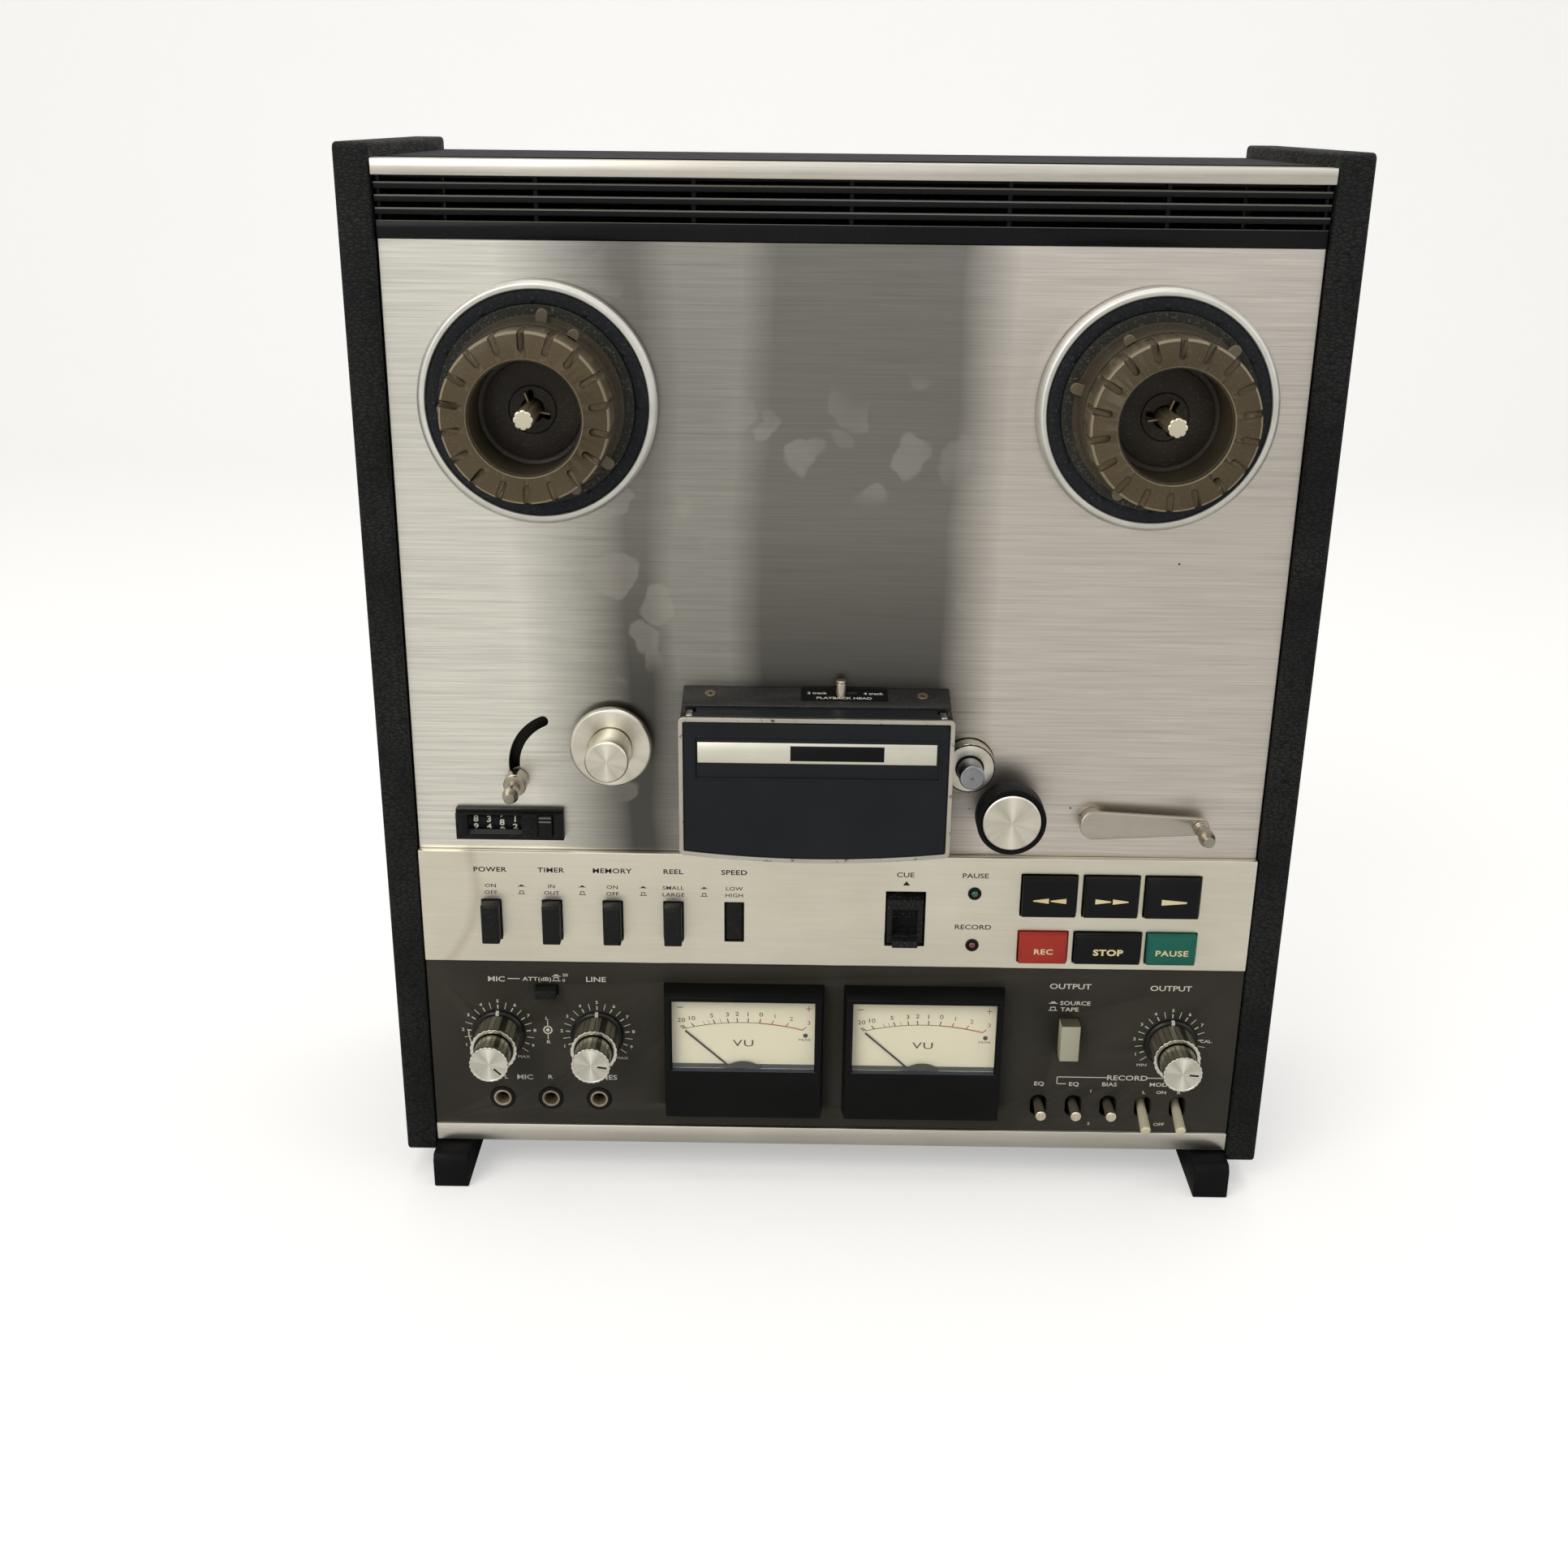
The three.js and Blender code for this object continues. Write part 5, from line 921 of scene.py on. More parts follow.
drum_profile = [
    (boss_radius - 1, flange_back),
    (flange_radius, flange_back),
    (flange_radius, flange_front),
    (drum_radius, flange_front),
    (drum_radius, drum_front),
    (bowl_radius + bowl_wall, drum_front),
    (bowl_radius + bowl_wall, sleeve_front),
    (bowl_radius, sleeve_front),
    (bowl_radius, bowl_floor - 1.5),
    (boss_radius - 1, bowl_floor - 1.5),
]
floor_profile = [
    (boss_radius - 1.2, bowl_floor - 1.6),
    (bowl_radius - 0.15, bowl_floor - 1.6),
    (bowl_radius - 0.15, bowl_floor + 0.6),
    (floor_groove + 0.8, bowl_floor),
    (floor_groove + 0.3, bowl_floor),
    (floor_groove + 0.3, bowl_floor - 0.8),
    (floor_groove - 0.3, bowl_floor - 0.8),
    (floor_groove - 0.3, bowl_floor),
    (boss_radius + 0.4, bowl_floor),
    (boss_radius + 0.2, bowl_floor - 0.6),
    (boss_radius - 1.2, bowl_floor - 0.6),
]
boss_back = flange_back + 1
boss_front = bowl_floor + 0.3
tab_rows = (
    (flange_radius, flange_front - 0.4, flange_front + tab_thickness),
    (drum_radius, drum_front - tab_thickness, drum_front),
)
for name, x in reel_places.items():
    body = name + "_reel"
    drum = turned(drum_profile, x, reel_height, 96, 0.35, ring=True)
    show(name + "_hub_drum", drum, drum_brown, body, "hub_plastic", name + "_hub_adapter")
    tabs = [
        tab(x, reel_height, radius, angle + 120 * i, back, front)
        for i in range(3)
        for (radius, back, front), angle in zip(tab_rows, tab_angles[name])
    ]
    show(name + "_hub_tabs", merged(tabs), tab_brown, body, "hub_plastic")
    floor_disc = turned(floor_profile, x, reel_height, 96, 0.15, ring=True)
    star_hole = star(x, reel_height, star_bore, star_reach, star_slot, star_angles[name])
    boss = plate(circle(x, reel_height, boss_radius), [star_hole], boss_back, boss_front, boss_edge)
    show(name + "_hub_bowl_floor", merged((floor_disc, boss)), bowl_brown, body, "hub_plastic")

# Lock rings: brown moulded rings that are turned by hand to spread the hub's tabs. Eighteen
# U-shaped grooves for the fingers run over the face and down the side.
ring_back = 25.0
ring_front = 44.0
ring_radius = 36.6
ring_hole = 24.8
ring_bore = 26.5
ring_edge = 0.25
groove_count = 18
groove_width = 3.2
groove_depth = 0.8
groove_length = 8.6
groove_end = 28.5
groove_overrun = 1.0


def carved(mesh, cutter):
    """A mesh with another one cut out of it."""
    piece = placed("draft", mesh)
    tool = placed("tool", cutter)
    carving = piece.modifiers.new("carve", "BOOLEAN")
    carving.operation = "DIFFERENCE"
    carving.solver = "EXACT"
    carving.object = tool
    rest = plain_mesh(piece)
    bpy.data.objects.remove(tool)
    return rest


ring_tones = (srgb(91, 79, 57), srgb(73, 62, 44))
ring_brown = moulded("lock_ring_brown", *ring_tones, 0.4, 800.0, 0.04, 0.25, dust=0.25)
# Painted highlights: the slanting faces of the rounded edges and groove rims are painted a light brown.
forward = ring_brown.math("ABSOLUTE", ring_brown.facing(1))
turned_away = ring_brown.between(forward, 0.2, 0.35)
not_flat = ring_brown.between(forward, 0.97, 0.9)
tinted(ring_brown, ring_brown.times(turned_away, not_flat, 0.7), srgb(164, 152, 124))
ring_profile = [
    (ring_bore, ring_back),
    (ring_radius, ring_back),
    (ring_radius, ring_front - 1.6),
    (ring_radius - 0.3, ring_front - 0.6),
    (ring_radius - 1.1, ring_front),
    (ring_hole + 0.5, ring_front),
    (ring_hole, ring_front - 0.6),
    (ring_hole, ring_front - 1.6),
    (ring_bore, ring_front - 1.6),
]
half_groove = groove_width / 2
groove_starts = {
    ring_radius - groove_length + half_groove: ring_front - groove_depth,
    ring_radius - groove_depth + half_groove: groove_end,
}
for name, x in reel_places.items():
    ring = turned(ring_profile, x, reel_height, 108, ring=True)
    for start, back in groove_starts.items():
        cuts = []
        for i in range(groove_count):
            angle = (i + 0.5) * 360 / groove_count
            near = on_circle(x, reel_height, start, angle)
            far = on_circle(x, reel_height, ring_radius + groove_width, angle)
            cuts.append(slab(slot_outline(*near, *far, half_groove), back, ring_front + groove_overrun))
        ring = carved(ring, merged(cuts))
    ring = smooth(ring, ring_edge, 2, 40, 40)
    show(name + "_lock_ring", ring, ring_brown, name + "_lock_ring", "hub_plastic", name + "_hub_lock_ring")

# Left tension arm: a lever behind the deck plate whose nickelled post comes out through the curved
# slot. The post has a thick collar, a waist for the tape and a tapered nose.
collar_back = -3.2
left_collar = (5.6, 10.5)
waist = (2.9, 7.4)
nose_radius = 3.9
nose_tip = 2.4
nose_reach = 24.0
lever_back = -10.0
lever_front = -8.0
lever_hub = 6.0
lever_end = 4.5
lever_round = 0.3
post_radius = 2.2


def capsule(x0, z0, radius0, x1, z1, radius1):
    """The outline round a straight stretch with half-round ends of two radii."""
    lean = math.degrees(math.atan2(z1 - z0, x1 - x0))
    taper = math.degrees(math.asin((radius0 - radius1) / math.dist((x0, z0), (x1, z1))))
    open_angle = 90 - taper
    far = arc(x1, z1, radius1, lean - open_angle, lean + open_angle, 16)
    return far + arc(x0, z0, radius0, lean + open_angle, lean - open_angle + 360, 16)


def guide_post(x, z, back, collar_radius, collar_length):
    """A tape guide: a collar, a waist and a tapered nose."""
    collar_front = back + collar_length
    waist_front = collar_front + waist[1]
    nose_middle = (waist_front + nose_reach) / 2
    profile = [
        (0, back),
        (collar_radius - 0.3, back),
        (collar_radius, back + 0.3),
        (collar_radius, collar_front - 1.6),
        (collar_radius - 0.5, collar_front - 1.3),
        (collar_radius - 0.5, collar_front),
        (waist[0], collar_front + 0.2),
        (waist[0], waist_front),
        (nose_radius, waist_front + 0.3),
        (nose_radius, nose_middle),
        (nose_tip + 0.2, nose_reach - 0.2),
        (nose_tip - 0.2, nose_reach),
        (0, nose_reach),
    ]
    return turned(profile, x, z, 48, 0.25)


nickel = spun("nickelled_post", srgb(172, 165, 150), srgb(120, 112, 96), 0.24, 0.4)
sheet_steel = moulded("arm_sheet_steel", srgb(140, 138, 132), srgb(110, 108, 104), 0.4, metal=1.0)
post = on_circle(*left_arm, left_arm_radius, left_arm_rest)
lever = smooth(slab(capsule(*left_arm, lever_hub, *post, lever_end), lever_back, lever_front), lever_round)
show("left_arm_lever", lever, sheet_steel, "left_tension_arm", "bright_metal", "left_tension_arm")
stem_profile = [(0, lever_front), (post_radius, lever_front), (post_radius, collar_back), (0, collar_back)]
post_mesh = merged((turned(stem_profile, *post, 24), guide_post(*post, collar_back, *left_collar)))
show("left_arm_post", faceted(post_mesh, 28), nickel, "left_tension_arm", "bright_metal")

# Impedance roller: a turned aluminium flange and hub that run on a shaft in the chassis. A dark
# groove parts the hub from the flange.
roller_flange = 19.7
roller_flange_back = 1.0
roller_flange_front = 5.0
roller_hub = 10.3
roller_front = 25.0
roller_shaft = 3.0
chassis_reach = -15.9
stud_front = -3.7
satin_spun = spun("spun_aluminium_roller", srgb(246, 243, 230), srgb(186, 181, 166), 0.3, 0.8, fan=0.7)
roller_profile = [
    (0, chassis_reach),
    (roller_shaft, chassis_reach),
    (roller_shaft, stud_front),
    (roller_boss, stud_front),
    (roller_boss, roller_flange_back),
    (roller_flange, roller_flange_back),
    (roller_flange, roller_flange_front - 1.1),
    (roller_flange - 0.8, roller_flange_front - 0.2),
    (roller_flange - 1.6, roller_flange_front),
    (roller_hub + 0.55, roller_flange_front),
    (roller_hub + 0.55, roller_flange_front - 1.6),
    (roller_hub, roller_flange_front - 1.6),
    (roller_hub, roller_front - 0.9),
    (roller_hub - 0.8, roller_front),
    (0, roller_front),
]
roller_mesh = turned(roller_profile, *roller, 96, 0.18)
roller_node = "impedance_roller"
show(roller_node + "_body", roller_mesh, satin_spun, roller_node, "satin_aluminium", roller_node)

# Capstan: a ground steel shaft with a centre hole in its tip and a flywheel behind the chassis. It
# runs in a bright bearing cap.
capstan_radius = 6.0
capstan_front = 18.5
centre_radius = 0.85
centre_floor = 17.0
flywheel_radius = 38.0
flywheel_back = -34.6
flywheel_front = -18.6
bearing_front = 5.55
bearing_outer = 12.26
bearing_inner = 6.2
ground_steel = spun("ground_capstan_steel", srgb(158, 160, 164), srgb(128, 130, 136), 0.22, 0.5)
capstan_profile = [
    (0, flywheel_back),
    (flywheel_radius, flywheel_back),
    (flywheel_radius, flywheel_front),
    (capstan_radius, flywheel_front),
    (capstan_radius, capstan_front - 0.5),
    (capstan_radius - 0.5, capstan_front),
    (centre_radius, capstan_front),
    (centre_radius, centre_floor),
    (0, centre_floor),
]
capstan_mesh = turned(capstan_profile, *capstan, 64, 0.12)
show("capstan_shaft", capstan_mesh, ground_steel, "capstan", "bright_metal", "capstan")
cap_profile = [
    (bearing_inner, deck_front - 1),
    (bearing_outer, deck_front - 1),
    (bearing_outer, bearing_front - 0.9),
    (bearing_radius - 0.7, bearing_front),
    (capstan_radius + 0.9, bearing_front),
    (bearing_inner, bearing_front - 0.7),
]
bearing = turned(cap_profile, *capstan, 64, 0.15, ring=True)
show("capstan_bearing_cap", bearing, satin_spun, slot="bright_metal")

# Pinch roller: a soft rubber tyre on a hub, with a spun metal cap pressed into its face. Its arm
# and axle lie behind the deck plate.
tyre_back = 6.0
tyre_front = 18.4
tyre_radius = 16.6
tyre_bore = 3.2
tyre_floor = 17.7
cap_radius = 13.9
cap_back = 16.9
cap_front = 19.2
tyre_rubber = moulded("pinch_tyre_rubber", srgb(16, 16, 17), srgb(12, 12, 13), 0.5, 700.0, 0.03, 0.1)
tyre_profile = [
    (tyre_bore, tyre_back),
    (tyre_radius, tyre_back),
    (tyre_radius, tyre_front),
    (cap_radius + 0.9, tyre_front),
    (cap_radius + 0.35, tyre_floor),
    (tyre_bore, tyre_floor),
]
tyre = turned(tyre_profile, *pinch, 96, 1.28, ring=True)
show("pinch_roller_tyre", tyre, tyre_rubber, "pinch_roller", "black_rubber", "pinch_roller")
roller_cap_profile = [
    (0, cap_back),
    (cap_radius, cap_back),
    (cap_radius, cap_front - 0.5),
    (cap_radius - 0.7, cap_front),
    (0, cap_front),
]
roller_cap = turned(roller_cap_profile, *pinch, 96, 0.15)
show("pinch_roller_cap", roller_cap, satin_spun, "pinch_roller", "bright_metal")
repainted("pinch_roller_arm", sheet_steel)

# Right tension arm: a tapered nickelled lever in front of the deck plate, on a boss, with a guide
# post at its end.
arm_back = 1.7
arm_front = 4.3
arm_length = 51.3
arm_root = 7.1
arm_end = 4.3
arm_round = 0.5
arm_boss = 6.6
arm_shaft = 3.5
arm_seat = 4.0
right_collar = (3.9, 4.0)
arm_tones = (srgb(192, 187, 175), srgb(172, 166, 154))
arm_nickel = brushed("nickelled_arm", *arm_tones, 0.3, "x", 1500.0, 0.01, 0.2, 0.8)
arm_tip = (right_arm[0] + arm_length, right_arm[1])
arm_lever = smooth(slab(capsule(*right_arm, arm_root, *arm_tip, arm_end), arm_back, arm_front), arm_round, 4)
show("right_arm_lever", arm_lever, arm_nickel, "right_tension_arm", "bright_metal", "right_tension_arm")
boss_profile = [
    (0, chassis_reach),
    (arm_shaft, chassis_reach),
    (arm_shaft, stud_front),
    (arm_boss, stud_front),
    (arm_boss, arm_seat),
    (0, arm_seat),
]
right_post = (turned(boss_profile, *right_arm, 48, 0.2), guide_post(*arm_tip, arm_seat, *right_collar))
show("right_arm_post", merged(right_post), nickel, "right_tension_arm", "bright_metal")

# Head cover: a black enamelled steel roof with two cheeks, held by two countersunk screws. A label
# plate and the slot of the head selector sit in the middle of its sloping roof.
head_left = -74.8
head_right = 51.6
roof_back = (-3.7, 257.0)
roof_front = (11.5, 252.6)
roof_lean = math.degrees(math.atan2(roof_back[1] - roof_front[1], roof_front[0] - roof_back[0])) - 90
roof_screws = (-61.8, 38.6)
roof_screw_place = (2.2, 255.4)
screw_radius = 2.6
label_size = (40.9, 9.6)
label_middle = 1.55
label_place = (2.2, 255.45)
label_thickness = (0.02, 0.35)
label_print_reach = 0.36
label_slot = (2.4, 0, 12.6, 5.0, 2.4, 6)
label_words = (
    ("2 track", -11.4, 0.7, 1.8, 1.3),
    ("4 track", 15.2, 0.7, 1.8, 1.3),
    ("PLAYBACK HEAD", 1.4, -3.3, 1.7, 1.45),
)
housing_edge = 0.35
cap_share = 0.729


def laid(mesh, x, reach, z, lean):
    """A mesh that was built upright where all measures start, leaned back and placed."""
    tipped = Matrix.Rotation(math.radians(lean), 4, "X")
    mesh.transform(Matrix.Translation(at(x, reach, z)) @ tipped @ Matrix.Translation(-at(0, 0, 0)))
    return mesh


def block(left, right, back, front, bottom, top):
    """A solid with square corners."""
    return slab([(left, bottom), (right, bottom), (right, top), (left, top)], back, front)


def rail(points, left, right):
    """A bar along x over an outline of reach and z."""
    return lofted([[at(x, reach, z) for reach, z in points] for x in (left, right)])


def cross_screw(radius):
    """A flat screw head with a cross recess."""
    arm, half = radius * 0.55, radius * 0.13
    cross = []
    for i in range(4):
        turned_by = math.radians(90 * i + 20)
        cosine, sine = math.cos(turned_by), math.sin(turned_by)
        for along, across in ((arm, -half), (arm, half), (half, half)):
            cross.append((along * cosine - across * sine, along * sine + across * cosine))
    head = plate(circle(0, 0, radius, 28), [cross], -0.6, 0.25, 0.2)
    return merged((head, slab(circle(0, 0, radius * 0.8, 16), -0.7, -0.35)))


def word(text, x, z, height, reach, wide=1.25, heavy=0.0, gap=1.0):
    """Lettering a hair thick, centred on a place: its height is that of a capital."""
    draft = bpy.data.curves.new("word", "FONT")
    draft.body = text
    draft.align_x = "CENTER"
    draft.resolution_u = 3
    draft.offset = heavy
    draft.space_character = gap
    draft.extrude = ink_depth / 2 / (height / cap_share)
    mesh = plain_mesh(placed("word", draft))
    size = height / cap_share * mm
    stood = Matrix.Rotation(math.pi / 2, 4, "X") @ Matrix.Diagonal((size * wide, size, size, 1))
    mesh.transform(Matrix.Translation(at(x, reach, z - height / 2)) @ stood)
    return mesh


enamel_tones = (srgb(42, 42, 41), srgb(31, 31, 31))
head_paint = moulded("head_cover_enamel", *enamel_tones, 0.42, 1500.0, 0.03, 0.3, dust=0.2)
dressed("head_cover_shell", "head_housing", housing_edge, head_paint)
label_outline = hole(label_middle, 0, *label_size, 0.3, 2)
label = plate(label_outline, [hole(*label_slot)], *label_thickness, 0.08)
label_black = moulded("label_plate_gloss", srgb(20, 20, 21), srgb(15, 15, 16), 0.3, 1700.0, 0.02, 0.12)
show("selector_label_plate", laid(label, 0, *label_place, roof_lean), label_black)
label_print = merged([
    word(text, x, z, size, label_print_reach, wide, 0.02) for text, x, z, size, wide in label_words
])
white_ink = moulded("white_print", srgb(226, 224, 212), srgb(206, 203, 190), 0.5, 1500.0, 0.01)
show("selector_label_print", laid(label_print, 0, *label_place, roof_lean), white_ink)
worn_screw = moulded("worn_screw_steel", srgb(186, 174, 152), srgb(104, 84, 66), 0.4, 900.0, 0.05, metal=0.9)
screws = [laid(cross_screw(screw_radius), x, *roof_screw_place, roof_lean) for x in roof_screws]
show("head_cover_screws", merged(screws), worn_screw, slot="plated_steel")

# Head selector: a bright steel pin through the roof's slot, which picks one of the two playback
# heads.
pin_radius = 2.5
pin_place = (-0.1, 2.6, 235.6)
pin_length = 27.2
pin_profile = [
    (0, 0),
    (pin_radius, 0),
    (pin_radius, pin_length - 1.6),
    (pin_radius - 0.35, pin_length - 1.5),
    (pin_radius - 0.35, pin_length - 1.1),
    (pin_radius, pin_length - 1.0),
    (pin_radius, pin_length - 0.4),
    (pin_radius - 0.4, pin_length),
    (0, pin_length),
]
selector = laid(turned(pin_profile, 0, 0, 48, 0.15), *pin_place, -90)
pin_nickel = spun("selector_pin_nickel", srgb(206, 200, 184), srgb(176, 168, 150), 0.2, 0.4)
show("head_selector_pin", selector, pin_nickel, "head_select_lever", "bright_metal", "head_select_lever")

# Head door: a black moulded front that tips forward on two pins, with a worn silver edge all round.
# A recess holds a pale metal strip with a plain black field.
door_left = -75.8
door_right = 52.6
door_top = 250.8
door_corner = 181.8
door_bow = 3.4
door_bow_points = 40
door_round = 2.4
door_least_round = 0.7
door_back = 22.5
door_front = 25.0
door_bed = 24.3
rim_width = 2.1
rim_gap = 0.5
rim_edge = 0.35
recess = (-10.9, 231.15, 113.8, 19.9)
recess_frame = (-10.9, 231.15, 116.0, 22.1)
name_strip = (-66.9, 44.7, 24.2, 24.65, 228.6, 238.7)
name_field = (-23.6, 20.2, 24.3, 24.75, 229.9, 237.3)
lip_back = 12.5
lip_front = 22.9
lip_top = 251.9
lip_sheet = 1.6
lip_notch = 6.8
lip_edge_back = 18.4
lip_round = 0.4
cheek_width = 2.3
cheek_inset = 0.2
cheek_span = (18.0, 22.6, 184.2, 243.0)
knuckle_width = 3
knuckle_inset = 2.5
knuckle_span = (13.9, 22.6, 247.5, 251.2)


def door_outline(inset):
    """The door's outline, drawn in by an inset: three straight sides and a bowed lower one."""
    left, right = door_left + inset, door_right - inset
    top, corner = door_top - inset, door_corner + inset
    radius = max(door_round - inset, door_least_round)
    points = arc(right - radius, top - radius, radius, 0, 90, 6)
    points += arc(left + radius, top - radius, radius, 90, 180, 6)
    points += arc(left + radius, corner + radius, radius, 180, 262, 6)
    middle, half = (left + right) / 2, (right - left) / 2 - radius
    for i in range(1, door_bow_points):
        share = 2 * i / door_bow_points - 1
        points.append((middle + share * half, corner - door_bow * (1 - share ** 2)))
    points += arc(right - radius, corner + radius, radius, 278, 360, 6)
    return points


def door_lip(back, upper, left, right):
    """A strip of the door's upper sheet, from a back edge to its front."""
    points = [
        (back, upper),
        (lip_front, door_top),
        (lip_front, door_top - lip_sheet),
        (back, lip_top - lip_sheet),
    ]
    return softened(rail(points, left, right), lip_round)


door_black = moulded("head_door_black", srgb(37, 39, 42), srgb(31, 33, 36), 0.42, 2200.0, 0.035, 0.1)
recess_outline = hole(*recess, 0.5)
cheeks = [
    softened(block(x, x + cheek_width, *cheek_span), lip_round)
    for x in (door_left + cheek_inset, door_right - cheek_inset - cheek_width)
]
door_parts = [
    softened(slab(door_outline(0.15), door_back, door_bed), 0.3, 2, 40),
    plate(door_outline(rim_width + rim_gap), [recess_outline], door_bed - 0.2, door_front, rim_edge),
    plate(hole(*recess_frame, 0.8), [recess_outline], door_bed, door_front + 0.25),
    door_lip(lip_back, lip_top, head_left + lip_notch, head_right - lip_notch),
    door_lip(lip_edge_back, (lip_top + door_top) / 2, head_left, head_right),
    *cheeks,
]
show("door_front", faceted(merged(door_parts)), door_black, "head_door", "matt_black", "head_door")
worn_rim = finish("worn_silver_rim", srgb(196, 193, 180), 0.34, 0.85)
chips = worn_rim.between(stretched(worn_rim, 240.0, detail=6.0, blur=0.7), 0.60, 0.68)
tarnish = worn_rim.mix(stretched(worn_rim, 40.0, detail=4.0), srgb(168, 164, 150), srgb(208, 205, 194))
link(worn_rim, worn_rim.mix(chips, tarnish, srgb(70, 66, 60)), "Base Color")
link(worn_rim, worn_rim.between(chips, 0, 1, 0.3, 0.55), "Roughness")
emboss(worn_rim, chips, 0.3, -0.05)
rim = plate(door_outline(0), [door_outline(rim_width)], door_back + 0.6, door_front + 0.3, rim_edge)
show("door_silver_edge", rim, worn_rim, "head_door", "bright_metal")
strip_tones = (srgb(232, 230, 216), srgb(216, 213, 198))
strip_paint = brushed("nameplate_strip", *strip_tones, 0.38, "x", 3200.0, 0.008, 0.3, 0.7)
show("nameplate_strip", smooth(block(*name_strip), 0.12), strip_paint, "head_door", "satin_aluminium")
show("nameplate_field", smooth(block(*name_field), 0.05), label_black, "head_door", "gloss_black")
knuckle_places = (head_left + knuckle_inset, head_right - knuckle_inset - knuckle_width)
knuckles = merged([block(x, x + knuckle_width, *knuckle_span) for x in knuckle_places])
knuckle_steel = moulded("hinge_knuckle_steel", srgb(204, 202, 194), srgb(168, 165, 156), 0.35, metal=1.0)
show("hinge_knuckles", smooth(knuckles, 0.5), knuckle_steel, "head_door", "bright_metal")

# Head block: four heads in polished shells on one base plate, with a shield above them and a guide
# at each end. It shows when the door is open.
tape_line = 216.6
head_middle = -11.6
head_pitch = 20.0
head_count = 4
core_half = 2.4
core_depth = 4.2
core_backs = (13.0, 6.5)
core_low = -0.12
core_high = 1.0
shell_tones = (srgb(196, 196, 194), srgb(166, 166, 164))
shell_metal = brushed("head_shell_metal", *shell_tones, 0.22, "z", 2600.0, 0.01, 0.4)
dressed("head_shells", "head_block", housing_edge, shell_metal, slot="bright_metal")
core_dark = moulded("head_core_dark", srgb(52, 50, 48), srgb(34, 33, 32), 0.3, 1500.0, 0.02, metal=0.6)
head_places = [head_middle + (i - (head_count - 1) / 2) * head_pitch for i in range(head_count)]
cores = [
    block(x - core_half, x + core_half, back, back + core_depth, tape_line + core_low, tape_line + core_high)
    for x in head_places
    for back in core_backs
]
show("head_cores", smooth(merged(cores), 0.1), core_dark)

# Tape counter: a black moulded housing in the deck plate, with a glossy chamfer along its top. Four
# number drums turn behind its window, and the reset button stands in an opening beside it.
counter_edge = 0.45
window_middle = -167.6
drum_axis = (-8.5, 185.9)
digit_radius = 6.45
drum_pitch = 6.4
drum_width = 4.5
drum_turns = (8.55, 3.5, 8.1, 1.55)
digit_height = 3.1
digit_cuts = 7
digit_cut_pitch = 0.25
sill_profile = [(-1.9, 182.6), (0.9, 180.0), (-1.9, 180.0)]
sill_span = (-180.8, -154.4)
reset_edge = 0.4
ridge_span = (-145.7, -139.7, 2.0, 2.75)
ridge_places = (190.4, 188.4)
ridge_half = 0.42


def rolled_digit(digit, x, turn_count):
    """A digit cut into narrow bands and bent round its drum."""
    build = bmesh.new()
    build.from_mesh(word(str(digit), 0, 0, digit_height, 0, 1.2, 0.02))
    origin = at(0, 0, 0)
    for k in range(-digit_cuts, digit_cuts + 1):
        level = origin + Vector((0, 0, k * digit_cut_pitch * mm))
        geometry = build.verts[:] + build.edges[:] + build.faces[:]
        bmesh.ops.bisect_plane(build, geom=geometry, plane_co=level, plane_no=(0, 0, 1))
    for vert in build.verts:
        local = vert.co - origin
        angle = math.radians((turn_count - digit) * 36) + local.z / mm / digit_radius
        rise = digit_radius + 0.02 - local.y / mm
        place = (drum_axis[0] + rise * math.cos(angle), drum_axis[1] + rise * math.sin(angle))
        vert.co = at(x + local.x / mm, *place)
    return meshed(build)


counter_tones = (srgb(25, 25, 26), srgb(19, 19, 20))
counter_black = moulded("counter_moulding", *counter_tones, 0.38, 1600.0, 0.03, 0.12, dust=0.1)
dressed("counter_shell", "counter_housing", counter_edge, counter_black)
drum_black = moulded("drum_black", srgb(24, 24, 25), srgb(17, 17, 18), 0.5, 1500.0, 0.02, 0.12)
drum_bodies, drum_digits = [], []
for i, turn_count in enumerate(drum_turns):
    x = window_middle + (i - 1.5) * drum_pitch
    drum = rail(arc(*drum_axis, digit_radius, 0, 357, 119), x - drum_width / 2, x + drum_width / 2)
    drum_bodies.append(softened(drum, 0.15, 2, 60))
    drum_digits += [rolled_digit(digit, x, turn_count) for digit in range(10)]
show("counter_drums", faceted(merged(drum_bodies)), drum_black)
show("counter_digits", merged(drum_digits), white_ink)
sill_grey = moulded("counter_sill_grey", srgb(54, 56, 56), srgb(44, 46, 46), 0.4, 1600.0, 0.03)
show("counter_sill", rail(sill_profile, *sill_span), sill_grey)
dressed("reset_button", "counter_reset_button", reset_edge, counter_black, "counter_reset_button")
# Two ridges on the reset button, in light grey.
ridges = merged([block(*ridge_span, z - ridge_half, z + ridge_half) for z in ridge_places])
ridge_grey = moulded("reset_ridge_light_grey", srgb(120, 120, 118), srgb(92, 92, 90), 0.42, dust=0.2)
show("reset_button_ridges", smooth(ridges, 0.2), ridge_grey, "counter_reset_button")

